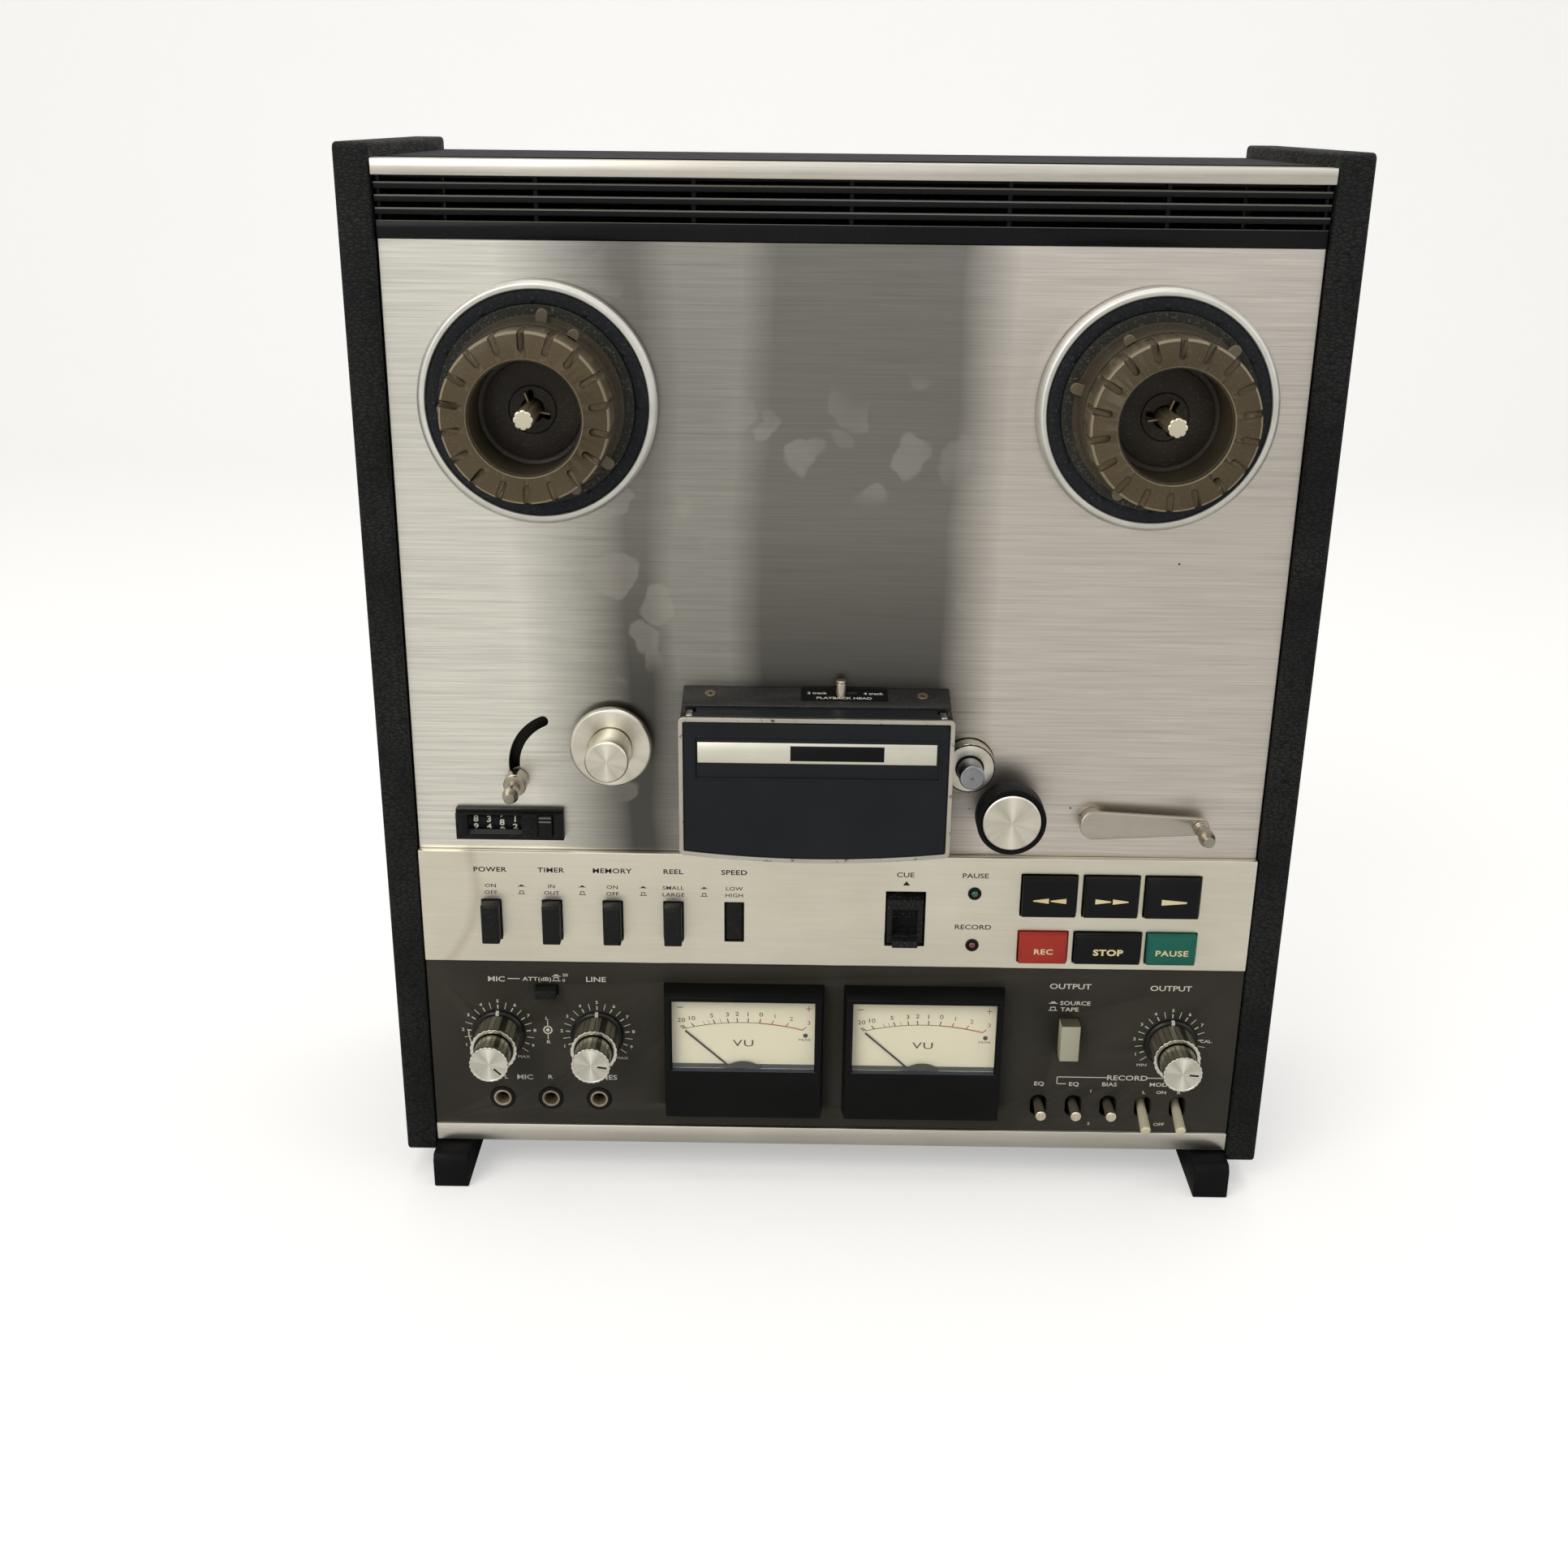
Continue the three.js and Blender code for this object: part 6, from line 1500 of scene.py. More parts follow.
# Control plate: a thick aluminium plate, brushed and anodised in champagne, with square openings
# for the switches, the cue lever and the keys. Two lugs behind it carry the cue lever's pin.
control_bottom = 111.5
control_top = 171.5
control_back = -3.6
control_edge = 0.35
switch_names = ("power", "timer", "memory", "reel_size", "speed")
switch_first = -171.4
switch_pitch = 30.2
switch_middle = 134.9
switch_hole = (9.7, 21.7)
cue_middle = (34.5, 137.9)
cue_hole = (19.8, 29.8)
lug_reach = (-19.2, -1.8)
lug_half = 3.2
lug_spans = ((-12.9, -9.9), (9.9, 12.9))
lamp_middle = 68.4
lamp_heights = {"pause_lamp": 152.3, "record_lamp": 124.1}
lamp_hole = 2.9
key_gap = 0.6
key_faces = {
    "rewind_key": (105.1, 151.9, 26.6, 21.4),
    "fast_forward_key": (135.7, 151.9, 26.6, 21.4),
    "play_key": (166.0, 151.9, 26.6, 21.4),
    "record_key": (103.6, 123.8, 23.8, 16.2),
    "stop_key": (135.8, 123.8, 32.8, 16.2),
    "pause_key": (167.6, 123.8, 24.2, 16.2),
}
ring_stain = (0.236, 0.166, 0.062)

control_tones = (srgb(232, 228, 212), srgb(214, 209, 192))
control_metal = brushed("champagne_control_plate", *control_tones, 0.36, "x", 2600.0, 0.012)
stain_x = control_metal.math("ADD", control_metal.part(control_metal.spot, 0), ring_stain[0])
stain_z = control_metal.math("SUBTRACT", control_metal.part(control_metal.spot, 2), ring_stain[1])
squares = [control_metal.math("POWER", along, 2.0) for along in (stain_x, stain_z)]
stain_radius = control_metal.math("SQRT", control_metal.math("ADD", *squares))
ragged = stretched(control_metal, 25.0, detail=3.0)
stain_away = control_metal.math("MULTIPLY_ADD", ragged, 0.008, stain_radius)
from_ring = control_metal.math("ABSOLUTE", control_metal.math("SUBTRACT", stain_away, ring_stain[2]))
stain_edge = control_metal.math("SUBTRACT", 1.0, control_metal.between(from_ring, 0.0, 0.004))
tinted(control_metal, control_metal.times(stain_edge, 0.28), srgb(166, 152, 130))
switch_places = {name: switch_first + i * switch_pitch for i, name in enumerate(switch_names)}
control_holes = [hole(x, switch_middle, *switch_hole) for x in switch_places.values()]
control_holes.append(hole(*cue_middle, *cue_hole))
control_holes += [circle(lamp_middle, z, lamp_hole, 40) for z in lamp_heights.values()]
control_holes += [hole(x, z, w + 2 * key_gap, h + 2 * key_gap) for x, z, w, h in key_faces.values()]
control_outline = rounded(-plate_half, plate_half, control_bottom, control_top, 0.4, 3)
lug_low, lug_high = cue_middle[1] - lug_half, cue_middle[1] + lug_half
lugs = [
    block(cue_middle[0] + near, cue_middle[0] + far, *lug_reach, lug_low, lug_high)
    for near, far in lug_spans
]
control_sheet = plate(control_outline, control_holes, control_back, 0, control_edge)
control_mesh = merged((control_sheet, smooth(merged(lugs), 0.3)))
show("control_face", control_mesh, control_metal, slot="satin_aluminium", replaced="control_plate")

# Control lettering: screen printed in black over the switches, the cue lever and the lamps, with
# two small signs for a button that stands out and one that is pressed in.
control_reach = 0.0
title_size = (2.6, control_reach, 1.28, 0.02, 1.06)
note_size = (2.0, control_reach, 1.3, 0.01, 1.06)
lamp_word_size = (2.6, control_reach, 1.3, 0.012)
title_line = 162.0
record_line = 134.1
note_lines = (153.2, 149.6)
switch_words = {
    "power": ("POWER", "ON", "OFF"),
    "timer": ("TIMER", "IN", "OUT"),
    "memory": ("MEMORY", "ON", "OFF"),
    "reel_size": ("REEL", "SMALL", "LARGE"),
    "speed": ("SPEED", "LOW", "HIGH"),
}
sign_shift = 15.3
sign_half = 1.75
sign_line = 0.35
sign_high = 152.8
sign_low = 148.7
cue_mark = [(32.75, 156.2), (36.25, 156.2), (34.5, 158.6)]


def printed_block(left, right, bottom, top):
    return block(left, right, control_reach, control_reach + ink_depth, bottom, top)


def switch_signs(middle):
    left, right = middle - sign_half, middle + sign_half
    rise = sign_low + 1.9
    return [
        printed([
            (left + 0.8, sign_high + sign_line),
            (right - 0.8, sign_high + sign_line),
            (right - 1.3, sign_high + 1.0),
            (left + 1.3, sign_high + 1.0),
        ], control_reach),
        printed_block(left + 0.7, left + 0.7 + sign_line, sign_low, rise),
        printed_block(right - 0.7 - sign_line, right - 0.7, sign_low, rise),
        printed_block(left + 0.7, right - 0.7, rise - sign_line, rise),
        printed_block(left, right, sign_low, sign_low + sign_line),
        printed_block(left, right, sign_high, sign_high + sign_line),
    ]


black_ink = moulded("black_print", srgb(44, 42, 38), srgb(34, 32, 29), 0.5, 1500.0, 0.01)
control_print = []
for name, x in switch_places.items():
    title, *notes = switch_words[name]
    control_print.append(word(title, x, title_line, *title_size))
    control_print += [word(note, x, z, *note_size) for note, z in zip(notes, note_lines)]
    if name != "speed":
        control_print += switch_signs(x + sign_shift)
control_print += [
    word("CUE", cue_middle[0] - 0.6, title_line, *lamp_word_size),
    printed(cue_mark, control_reach),
    word("PAUSE", lamp_middle, title_line, *lamp_word_size),
    word("RECORD", lamp_middle, record_line, *lamp_word_size),
]
show("control_lettering", merged(control_print), black_ink)

# Push switches: five black moulded bars that stand out of the plate, or lie nearly flush with it
# when they are pressed in.
moulding_edge = 0.4
switch_tones = (srgb(32, 33, 33), srgb(25, 26, 26))
switch_black = moulded("switch_moulding", *switch_tones, 0.4, 1900.0, 0.03, 0.12, dust=0.1)
for name in switch_names:
    node = name + "_switch"
    dressed(name + "_push_bar", node, moulding_edge, switch_black, node)

# Cue lever: a black moulded rocker on a cross pin. Its ledge slopes back at the top, and a fingertip
# goes into the pocket above its lip.
cue_black = moulded("cue_moulding", srgb(31, 31, 32), srgb(24, 24, 25), 0.36, 1700.0, 0.03, 0.14, dust=0.35)
dressed("cue_rocker", "cue_lever", moulding_edge, cue_black, "cue_lever")

# Lamps: two small domes of coloured plastic, one green and one red, in black bezels. They are
# pressed into the plate from behind.
lamp_tones = {
    "pause_lamp": (srgb(34, 112, 84), srgb(14, 52, 40)),
    "record_lamp": (srgb(124, 22, 30), srgb(48, 10, 14)),
}
bezel_profile = [
    (2.05, -3.4),
    (lamp_hole - 0.05, -3.4),
    (lamp_hole - 0.05, 0.1),
    (lamp_hole + 0.5, 0.15),
    (lamp_hole + 0.35, 0.55),
    (2.45, 0.75),
    (2.05, 0.3),
]
dome_profile = [(0, -3.0), (2.0, -3.0), (2.0, -0.2), (1.85, 0.6), (1.35, 1.15), (0.7, 1.45), (0, 1.55)]
dome_gloss = {"Coat Weight": 0.6, "Subsurface Weight": 0.15, "Subsurface Scale": 0.001}
for name, z in lamp_heights.items():
    show(name + "_bezel", turned(bezel_profile, lamp_middle, z, 48, 0.1, ring=True), switch_black)
    lens = moulded(name + "_lens", *lamp_tones[name], 0.1, 300.0, 0.02, 0.7)
    for socket, value in dome_gloss.items():
        lens.shader.inputs[socket].default_value = value
    show(name + "_dome", turned(dome_profile, lamp_middle, z, 40, 0.25), lens, slot="gloss_black")

# Transport keys: six moulded keys with bevelled edges. Their cream signs and letters are filled
# into the moulding: wedges for winding and playing, words for the lower row.
key_front = 4.0
key_edge = 0.45
word_drop = 0.9
sign_drop = 1.3
wedge_near = 0.45
wedge_far = 8.15
wedge_ends = (2.8, 0.6)
play_wedge = (-5.8, 6.6, 3.1, 0.9)
key_plain = ("matt_black", srgb(27, 27, 28), srgb(21, 21, 22))
key_tones = {
    "record_key": ("key_red", srgb(178, 62, 52), srgb(160, 50, 42)),
    "pause_key": ("key_green", srgb(42, 112, 96), srgb(34, 96, 82)),
}
key_words = {
    "record_key": ("REC", 2.9, 0.02),
    "stop_key": ("STOP", 3.3, 0.04),
    "pause_key": ("PAUSE", 3.1, 0.02),
}
key_wedges = {
    "rewind_key": ((-wedge_near, -wedge_far, *wedge_ends), (wedge_far, wedge_near, *wedge_ends)),
    "fast_forward_key": ((-wedge_far, -wedge_near, *wedge_ends), (wedge_near, wedge_far, *wedge_ends)),
    "play_key": (play_wedge,),
}


def wedge(start, end, z, high, low):
    """A wedge sign from its thick end to its thin end."""
    points = [(start, z - high / 2), (start, z + high / 2), (end, z + low / 2), (end, z - low / 2)]
    return printed(points, key_front)


cream_fill = moulded("cream_fill", srgb(240, 226, 182), srgb(226, 208, 160), 0.5, 1500.0, 0.01)
for node, (x, z, width, height) in key_faces.items():
    slot, tone, dark = key_tones.get(node, key_plain)
    key_moulding = moulded(node + "_moulding", tone, dark, 0.38, 1900.0, 0.03, 0.1)
    dressed(node + "_cap", node, key_edge, key_moulding, node, slot)
    if node in key_words:
        text, size, heavy = key_words[node]
        signs = [word(text, x, z - word_drop, size, key_front, 1.3, heavy, 1.08)]
    else:
        signs = [wedge(x + start, x + end, z - sign_drop, *ends) for start, end, *ends in key_wedges[node]]
    sign_slot = "key_green" if slot == "key_green" else "matt_black"
    show(node + "_sign", merged(signs), cream_fill, node, sign_slot)

# Lower panel: a steel sheet in a satin brown-grey paint, with openings for the knobs, the jacks, the
# meters, the two buttons and the levers. The cradle for the levers' pins is fixed behind it.
panel_edge = 0.2
panel_paint = moulded("panel_paint", srgb(59, 56, 49), srgb(52, 49, 43), 0.5, 1700.0, 0.03, 0.2)
dressed("panel_sheet", "lower_panel", panel_edge, panel_paint, slot="panel_brown", segments=2)

# Panel lettering: screen printed in white. Round each knob stand a scale's lines, the longer ones
# between two digits; further down are the words for the jacks and the levers.
panel_front = -1.5
knob_height = 69.6
knob_middles = {"mic": -171.3, "line": -120.7, "output": 172.6}
scale_start = 230.0
scale_step = 28.0
digit_ring = 18.5
digit_size = (1.75, panel_front, 1.25, 0.015)
end_size = (1.5, panel_front, 1.45, 0.0)
numbered_line = (14.1, 16.4, 0.55)
middle_line = (14.3, 18.0, 0.34)
knob_scales = {
    "mic": (19, 9, "MAX", 12.1, -13.5),
    "line": (19, 9, "MAX", 12.1, -13.5),
    "output": (17, 7, "MIN", -13.6, -13.2),
}
panel_words = (
    ("MIC", -171.3, 100.8, 2.9),
    ("ATT(dB)", -150.6, 101.0, 2.3),
    ("20", -136.3, 103.4, 1.6),
    ("0", -137.1, 100.4, 1.6),
    ("LINE", -120.8, 101.2, 2.9),
    ("L", -146.5, 78.6, 1.9),
    ("R", -146.1, 64.9, 1.9),
    ("L", -168.8, 44.2, 2.3),
    ("MIC", -159.1, 44.2, 2.8),
    ("R", -146.0, 44.4, 2.3),
    ("PHONES", -120.7, 44.6, 2.8),
    ("OUTPUT", 119.5, 101.0, 3.0),
    ("SOURCE", 122.6, 91.5, 2.3),
    ("TAPE", 119.9, 87.9, 2.3),
    ("OUTPUT", 170.3, 100.6, 3.0),
    ("CAL.", 191.0, 70.6, 1.7),
    ("RECORD", 152.3, 48.6, 2.9, 1.35),
    ("EQ", 107.0, 44.6, 2.3),
    ("EQ", 125.0, 44.6, 2.3),
    ("BIAS", 143.4, 44.7, 2.3),
    ("MODE", 169.8, 44.9, 2.3),
    ("L", 161.5, 40.3, 1.8),
    ("ON", 170.6, 40.3, 1.8),
    ("R", 179.6, 40.3, 1.8),
    ("OFF", 170.8, 21.2, 1.8),
    ("1", 134.1, 40.5, 1.6),
    ("2", 134.2, 21.2, 1.6),
)
word_width = 1.3
word_weight = 0.012
line_width = 0.45
panel_lines = (
    (-165.6, 101.0, -159.4, 101.0),
    (116.2, 48.6, 141.8, 48.6),
    (116.2, 48.8, 116.2, 44.4),
    (116.0, 44.6, 121.0, 44.6),
    (162.8, 48.6, 188.2, 48.6),
    (188.2, 48.8, 188.2, 44.4),
    (184.6, 44.6, 188.4, 44.6),
    (-146.2, 77.2, -146.2, 73.9),
    (-146.2, 69.7, -146.2, 66.4),
)
level_mark = (15.6, 0.6, 176, 203)
ring_middle = (-146.2, 71.8)
ring_sizes = (2.4, 1.7, 0.95)
sign_places = ((-140.9, 102.6, 100.9), (111.4, 91.2, 88.1))
sign_width = 4.4
sign_stroke = 0.4


def stroke(x0, z0, x1, z1, width, reach):
    """A straight printed line."""
    along = Vector((x1 - x0, z1 - z0)).normalized()
    x, z = -along.y * width / 2, along.x * width / 2
    return printed([(x0 + x, z0 + z), (x0 - x, z0 - z), (x1 - x, z1 - z), (x1 + x, z1 + z)], reach)


def button_signs(x, high, low):
    """The signs for a button that is pressed in, above, and for one that stands out, below."""
    half = sign_width / 2
    dome = [
        (x - half + 0.7, high),
        (x + half - 0.7, high),
        (x + half - 1.3, high + 1.0),
        (x - half + 1.3, high + 1.0),
    ]
    lines = (
        (x - half, high, x + half, high),
        (x - half, low - 0.9, x + half, low - 0.9),
        (x - half + 1, low - 0.9, x - half + 1, low + 0.9),
        (x + half - 1, low - 0.9, x + half - 1, low + 0.9),
        (x - half + 0.8, low + 0.9, x + half - 0.8, low + 0.9),
    )
    return [printed(dome, panel_front)] + [stroke(*line, sign_stroke, panel_front) for line in lines]


def knob_scale(middle, lines, digits, end_word, end_x, end_z):
    """The printed scale round a knob, with a word at one of its ends."""
    made = []
    for i in range(1, lines + 1):
        angle = scale_start - scale_step * i / 2
        near, far, width = middle_line if i % 2 else numbered_line
        ends = (*on_circle(middle, knob_height, near, angle), *on_circle(middle, knob_height, far, angle))
        made.append(stroke(*ends, width, panel_front))
        if i % 2 == 0 and i // 2 <= digits:
            made.append(word(str(i // 2), *on_circle(middle, knob_height, digit_ring, angle), *digit_size))
    made.append(word(end_word, middle + end_x, knob_height + end_z, *end_size))
    return made


panel_print = []
for text, x, z, size, *wide in panel_words:
    panel_print.append(word(text, x, z, size, panel_front, *(wide or [word_width]), word_weight))
for name, middle in knob_middles.items():
    panel_print += knob_scale(middle, *knob_scales[name])
outer_ring, inner_ring, dot = (circle(*ring_middle, radius, 32) for radius in ring_sizes)
panel_print.append(printed(curved_slot((knob_middles["mic"], knob_height), *level_mark), panel_front))
panel_print += [stroke(*line, line_width, panel_front) for line in panel_lines]
panel_print.append(plate(outer_ring, [inner_ring], panel_front, panel_front + ink_depth, 0.005))
panel_print.append(printed(circle(*ring_middle, ring_sizes[2], 24), panel_front))
for place in sign_places:
    panel_print += button_signs(*place)
show("panel_lettering", merged(panel_print), white_ink, slot="panel_brown")

# Twin knobs: a black skirt with a white pointer and a barrel of dark mirror-like facets under a bright
# notched ring. The inner knob has the same barrel, and a cap of spun aluminium with a black line.
skirt_radius = 13.3
skirt_core = 10.7
barrel_radius = 11.3
barrel_wall = 0.7
barrel_foot = 1.25
barrel_edge = 0.22
ring_outer = 11.8
ring_inner = 9.95
outer_front = 17.0
inner_radius = 9.2
inner_bore = 5.5
inner_back = 17.3
rim_inner = 8.6
rim_radius = 9.7
face_radius = 8.7
face_front = 30.85
rim_front = 31.0
rim_thick = 1.6
facet_count = 24
notch_share = 0.13
pointer_half = 0.85
pointer_spans = ((0.9, 1.5, 11.35, 12.9), (-0.6, 0.75, 12.6, 13.42))
mark_angles = {"mic": -44, "line": -8, "output": -5}
mark_ends = (3.3, 8.0)
mark_width = 1.05


def notched(profile, ease, x, z, over, depth):
    """A turned ring with small notches in its rim, where it is wider than a radius."""
    mesh = turned(profile, x, z, 192, ease, ring=True)
    axis = at(x, 0, z)
    for vert in mesh.vertices:
        away = vert.co - axis
        radius = math.hypot(away.x, away.z)
        phase = math.atan2(away.z, away.x) / (2 * math.pi) * facet_count % 1
        if radius > over * mm and not notch_share < phase < 1 - notch_share:
            vert.co.x -= away.x / radius * depth * mm
            vert.co.z -= away.z / radius * depth * mm
    return mesh


def barrel(x, z, radius, inner, back, front):
    """A ring whose outside is made of flat facets."""
    profile = [(inner, back), (radius, back), (radius, front), (inner, front)]
    return smooth(turned(profile, x, z, facet_count, ring=True), barrel_edge, 2, 10, 8)


skirt_black = moulded("knob_skirt_black", srgb(22, 22, 21), srgb(16, 16, 15), 0.26, 1500.0, 0.02, 0.3)
smoked = finish("smoked_chrome", srgb(150, 142, 116), 0.3, 0.65, 0.4)
around_knob = smoked.node("ShaderNodeUVMap", {"uv_map": "round"}).outputs[0]
facet = smoked.times(smoked.part(around_knob, 0), facet_count)
facet_seed = smoked.math("FLOOR", facet)
# Painted reflections: each facet gets its own tone, dark to light; a dark line runs along each facet's edge.
facet_reflection = smoked.node("ShaderNodeTexWhiteNoise", {"noise_dimensions": "1D"}, W=facet_seed).outputs[0]
facet_edge = smoked.math("ABSOLUTE", smoked.math("SUBTRACT", smoked.math("FRACT", facet), 0.5))
facet_reflection_tone = smoked.mix(facet_reflection, srgb(62, 58, 46), srgb(172, 166, 146))
link(smoked, smoked.mix(smoked.between(facet_edge, 0.40, 0.48), facet_reflection_tone, srgb(38, 35, 28)), "Base Color")
link(smoked, smoked.between(stretched(smoked, 160.0, detail=4.0), 0.3, 0.7, 0.26, 0.36), "Roughness")
bright_rim = spun("bright_knob_rim", srgb(232, 229, 218), srgb(206, 202, 188), 0.2, 0.4)
cap_spun = spun("spun_knob_cap", srgb(252, 251, 242), srgb(186, 183, 168), 0.27, 0.85, fan=0.8)
barrel_front = outer_front - rim_thick
rim_back = rim_front - rim_thick
skirt_profile = [
    (3.3, -13.2),
    (4.4, -13.2),
    (4.4, -1.2),
    (skirt_radius, -1.2),
    (skirt_radius, 0.3),
    (skirt_radius - 0.9, 1.2),
    (skirt_core, 1.2),
    (skirt_core, 16.2),
    (3.3, 16.2),
]
outer_rim_profile = [
    (ring_inner, barrel_front),
    (ring_outer, barrel_front),
    (ring_outer, outer_front),
    (ring_inner, outer_front),
]
knob_stem_profile = [(0, -21.5), (3.0, -21.5), (3.0, 17.4), (6.0, 17.4), (6.0, 28), (0, 28)]
cap_rim_profile = [
    (rim_inner, rim_back),
    (rim_radius, rim_back),
    (rim_radius, rim_front - 0.1),
    (rim_radius - 0.35, rim_front),
    (rim_inner + 0.2, rim_front),
    (rim_inner, rim_front - 0.3),
]
cap_face_profile = [(0, rim_back), (face_radius, rim_back), (face_radius, face_front), (0, face_front)]
for name, x in knob_middles.items():
    z = knob_height
    outer, inner = name + "_outer_knob", name + "_inner_knob"
    skirt = turned(skirt_profile, x, z, 96, 0.15, ring=True)
    show(name + "_skirt", skirt, skirt_black, outer, "gloss_black", outer)
    outer_barrel = barrel(x, z, barrel_radius, barrel_radius - barrel_wall, barrel_foot, barrel_front)
    show(name + "_outer_barrel", outer_barrel, smoked, outer, "bright_metal")
    outer_rim = notched(outer_rim_profile, 0.3, x, z, ring_outer - 0.5, 0.3)
    show(name + "_outer_rim", outer_rim, bright_rim, outer, "bright_metal")
    pointer = merged([
        block(x - pointer_half, x + pointer_half, back, front, z + low, z + high)
        for back, front, low, high in pointer_spans
    ])
    show(name + "_pointer", smooth(pointer, 0.15, 2), white_ink, outer, "gloss_black")
    show(name + "_stem", turned(knob_stem_profile, x, z, 48, 0.2), skirt_black, inner, replaced=inner)
    inner_barrel = barrel(x, z, inner_radius, inner_bore, inner_back, rim_back)
    show(name + "_inner_barrel", inner_barrel, smoked, inner, "bright_metal")
    cap_rim = notched(cap_rim_profile, 0.15, x, z, rim_radius - 0.3, 0.28)
    show(name + "_cap_rim", cap_rim, bright_rim, inner, "bright_metal")
    show(name + "_cap_face", turned(cap_face_profile, x, z, 96, 0.1), cap_spun, inner, "bright_metal")
    ends = [on_circle(x, z, radius, mark_angles[name]) for radius in mark_ends]
    show(name + "_cap_mark", stroke(*ends[0], *ends[1], mark_width, face_front), black_ink, inner)

# Push buttons: a small black one for the microphone attenuator, and a tall grey one whose top is
# painted darker as shade, for what the outputs carry.
output_edge = 0.35
dressed("attenuator_push", "attenuator_button", moulding_edge, switch_black, "attenuator_button")
button_grey = moulded("grey_button_moulding", srgb(184, 182, 160), srgb(172, 170, 148), 0.48, 1500.0, 0.03)
# Painted shade: faces that look up are darkened.
tinted(button_grey, button_grey.between(button_grey.facing(2, "Normal"), 0.5, 0.8), srgb(84, 82, 66))
dressed("output_push", "output_button", output_edge, button_grey, "output_button", "button_grey")

# Jacks: three black sockets with nickel sleeves, held by black ring nuts in one steel bracket behind
# the lower panel.
jack_height = 31.8
jack_middle = -146.0
jack_pitch = 25.1
nut_radius = 6.3
bracket_size = (66.2, 18)
bracket_corner = 1.5
bracket_reach = (-5.8, -3.8)
bracket_edge = 0.2
bracket_steel = moulded("jack_bracket_steel", srgb(120, 116, 108), srgb(92, 89, 82), 0.42, metal=1.0)
jack_black = moulded("jack_moulding", srgb(24, 24, 23), srgb(18, 18, 17), 0.38, 1500.0, 0.03, 0.15)
sleeve_tones = (srgb(186, 174, 150), srgb(142, 130, 108))
sleeve_nickel = moulded("jack_sleeve_nickel", *sleeve_tones, 0.34, 700.0, 0.01, 0.5, 0.4)
jack_places = [jack_middle + (i - 1) * jack_pitch for i in range(3)]
nut_holes = [circle(x, jack_height, nut_radius, 32) for x in jack_places]
bracket_outline = hole(jack_middle, jack_height, *bracket_size, bracket_corner, 6)
bracket = plate(bracket_outline, nut_holes, *bracket_reach, bracket_edge)
show("jack_plate", bracket, bracket_steel, slot="plated_steel", replaced="jack_bracket")
socket_profile = [
    (3.45, -29.8),
    (8, -29.8),
    (8, -5.9),
    (6.2, -5.9),
    (6.2, -1.1),
    (4.7, -1.1),
    (4.7, -10.2),
    (3.45, -10.2),
]
sleeve_profile = [(3.4, -10.1), (4.6, -10.1), (4.6, -0.9), (4.35, -0.7), (3.75, -0.7), (3.4, -1.2)]
sockets = [turned(socket_profile, x, jack_height, 64, 0.25, ring=True) for x in jack_places]
sleeves = [turned(sleeve_profile, x, jack_height, 64, 0.1, ring=True) for x in jack_places]
show("jack_sockets", merged(sockets), jack_black)
show("jack_sleeves", merged(sleeves), sleeve_nickel, slot="bright_metal")

# Toggle levers: turned sticks with a ball and a cross pin at their root. Three short ones of dark
# metal have bright flat tips; the two long ones are satin brass with rounded tips.
lever_first = 107.4
lever_pitch = 18.05
lever_root = (-13.0, 31.6)
ball_radius = 3.4
short_length = 22.5
shoulder = 20.9
long_length = 25.5
long_lean = 16
lever_pin_radius = 1.3
lever_pin_half = 6.3
short_levers = ("equaliser_lever", "record_equaliser_lever", "bias_lever")
long_levers = ("left_record_lever", "right_record_lever")
stick_steel = moulded("dark_lever_steel", srgb(126, 121, 104), srgb(92, 87, 72), 0.3, 700.0, 0.01, 0.6, 0.3)
tip_bright = spun("bright_lever_tip", srgb(244, 238, 218), srgb(206, 196, 170), 0.26, 0.6, fan=0.6)
brass_tones = (srgb(238, 231, 202), srgb(214, 206, 174))
stick_brass = moulded("satin_brass_lever", *brass_tones, 0.3, 700.0, 0.01, 0.6, 0.25)
ball_profile = [(r, p) for p, r in arc(0, 0, ball_radius, 180, 41, 10)]
short_stick = ball_profile + [(2.65, shoulder), (2.3, shoulder + 0.1), (0, shoulder + 0.1)]
long_stick = ball_profile + [
    (2.7, long_length - 1.1),
    (2.45, long_length - 0.4),
    (1.7, long_length - 0.05),
    (0, long_length),
]
tip_profile = [
    (0, shoulder),
    (2.7, shoulder),
    (2.7, short_length - 0.3),
    (2.4, short_length),
    (0, short_length),
]
for i, node in enumerate(short_levers + long_levers):
    x = lever_first + i * lever_pitch
    if node in short_levers:
        stick = laid(turned(short_stick, 0, 0, 48), x, *lever_root, 0)
        tip = laid(turned(tip_profile, 0, 0, 48, 0.1), x, *lever_root, 0)
        show(node + "_stick", stick, stick_steel, node, "bright_metal", node)
        show(node + "_tip", tip, tip_bright, node, "bright_metal")
    else:
        stick = laid(turned(long_stick, 0, 0, 48, 0.2), x, *lever_root, long_lean)
        show(node + "_stick", stick, stick_brass, node, "bright_metal", node)
    pin = rail(arc(*lever_root, lever_pin_radius, 0, 345, 23), x - lever_pin_half, x + lever_pin_half)
    show(node + "_pin", smooth(pin, 0.15, 2), bracket_steel, node, "plated_steel")

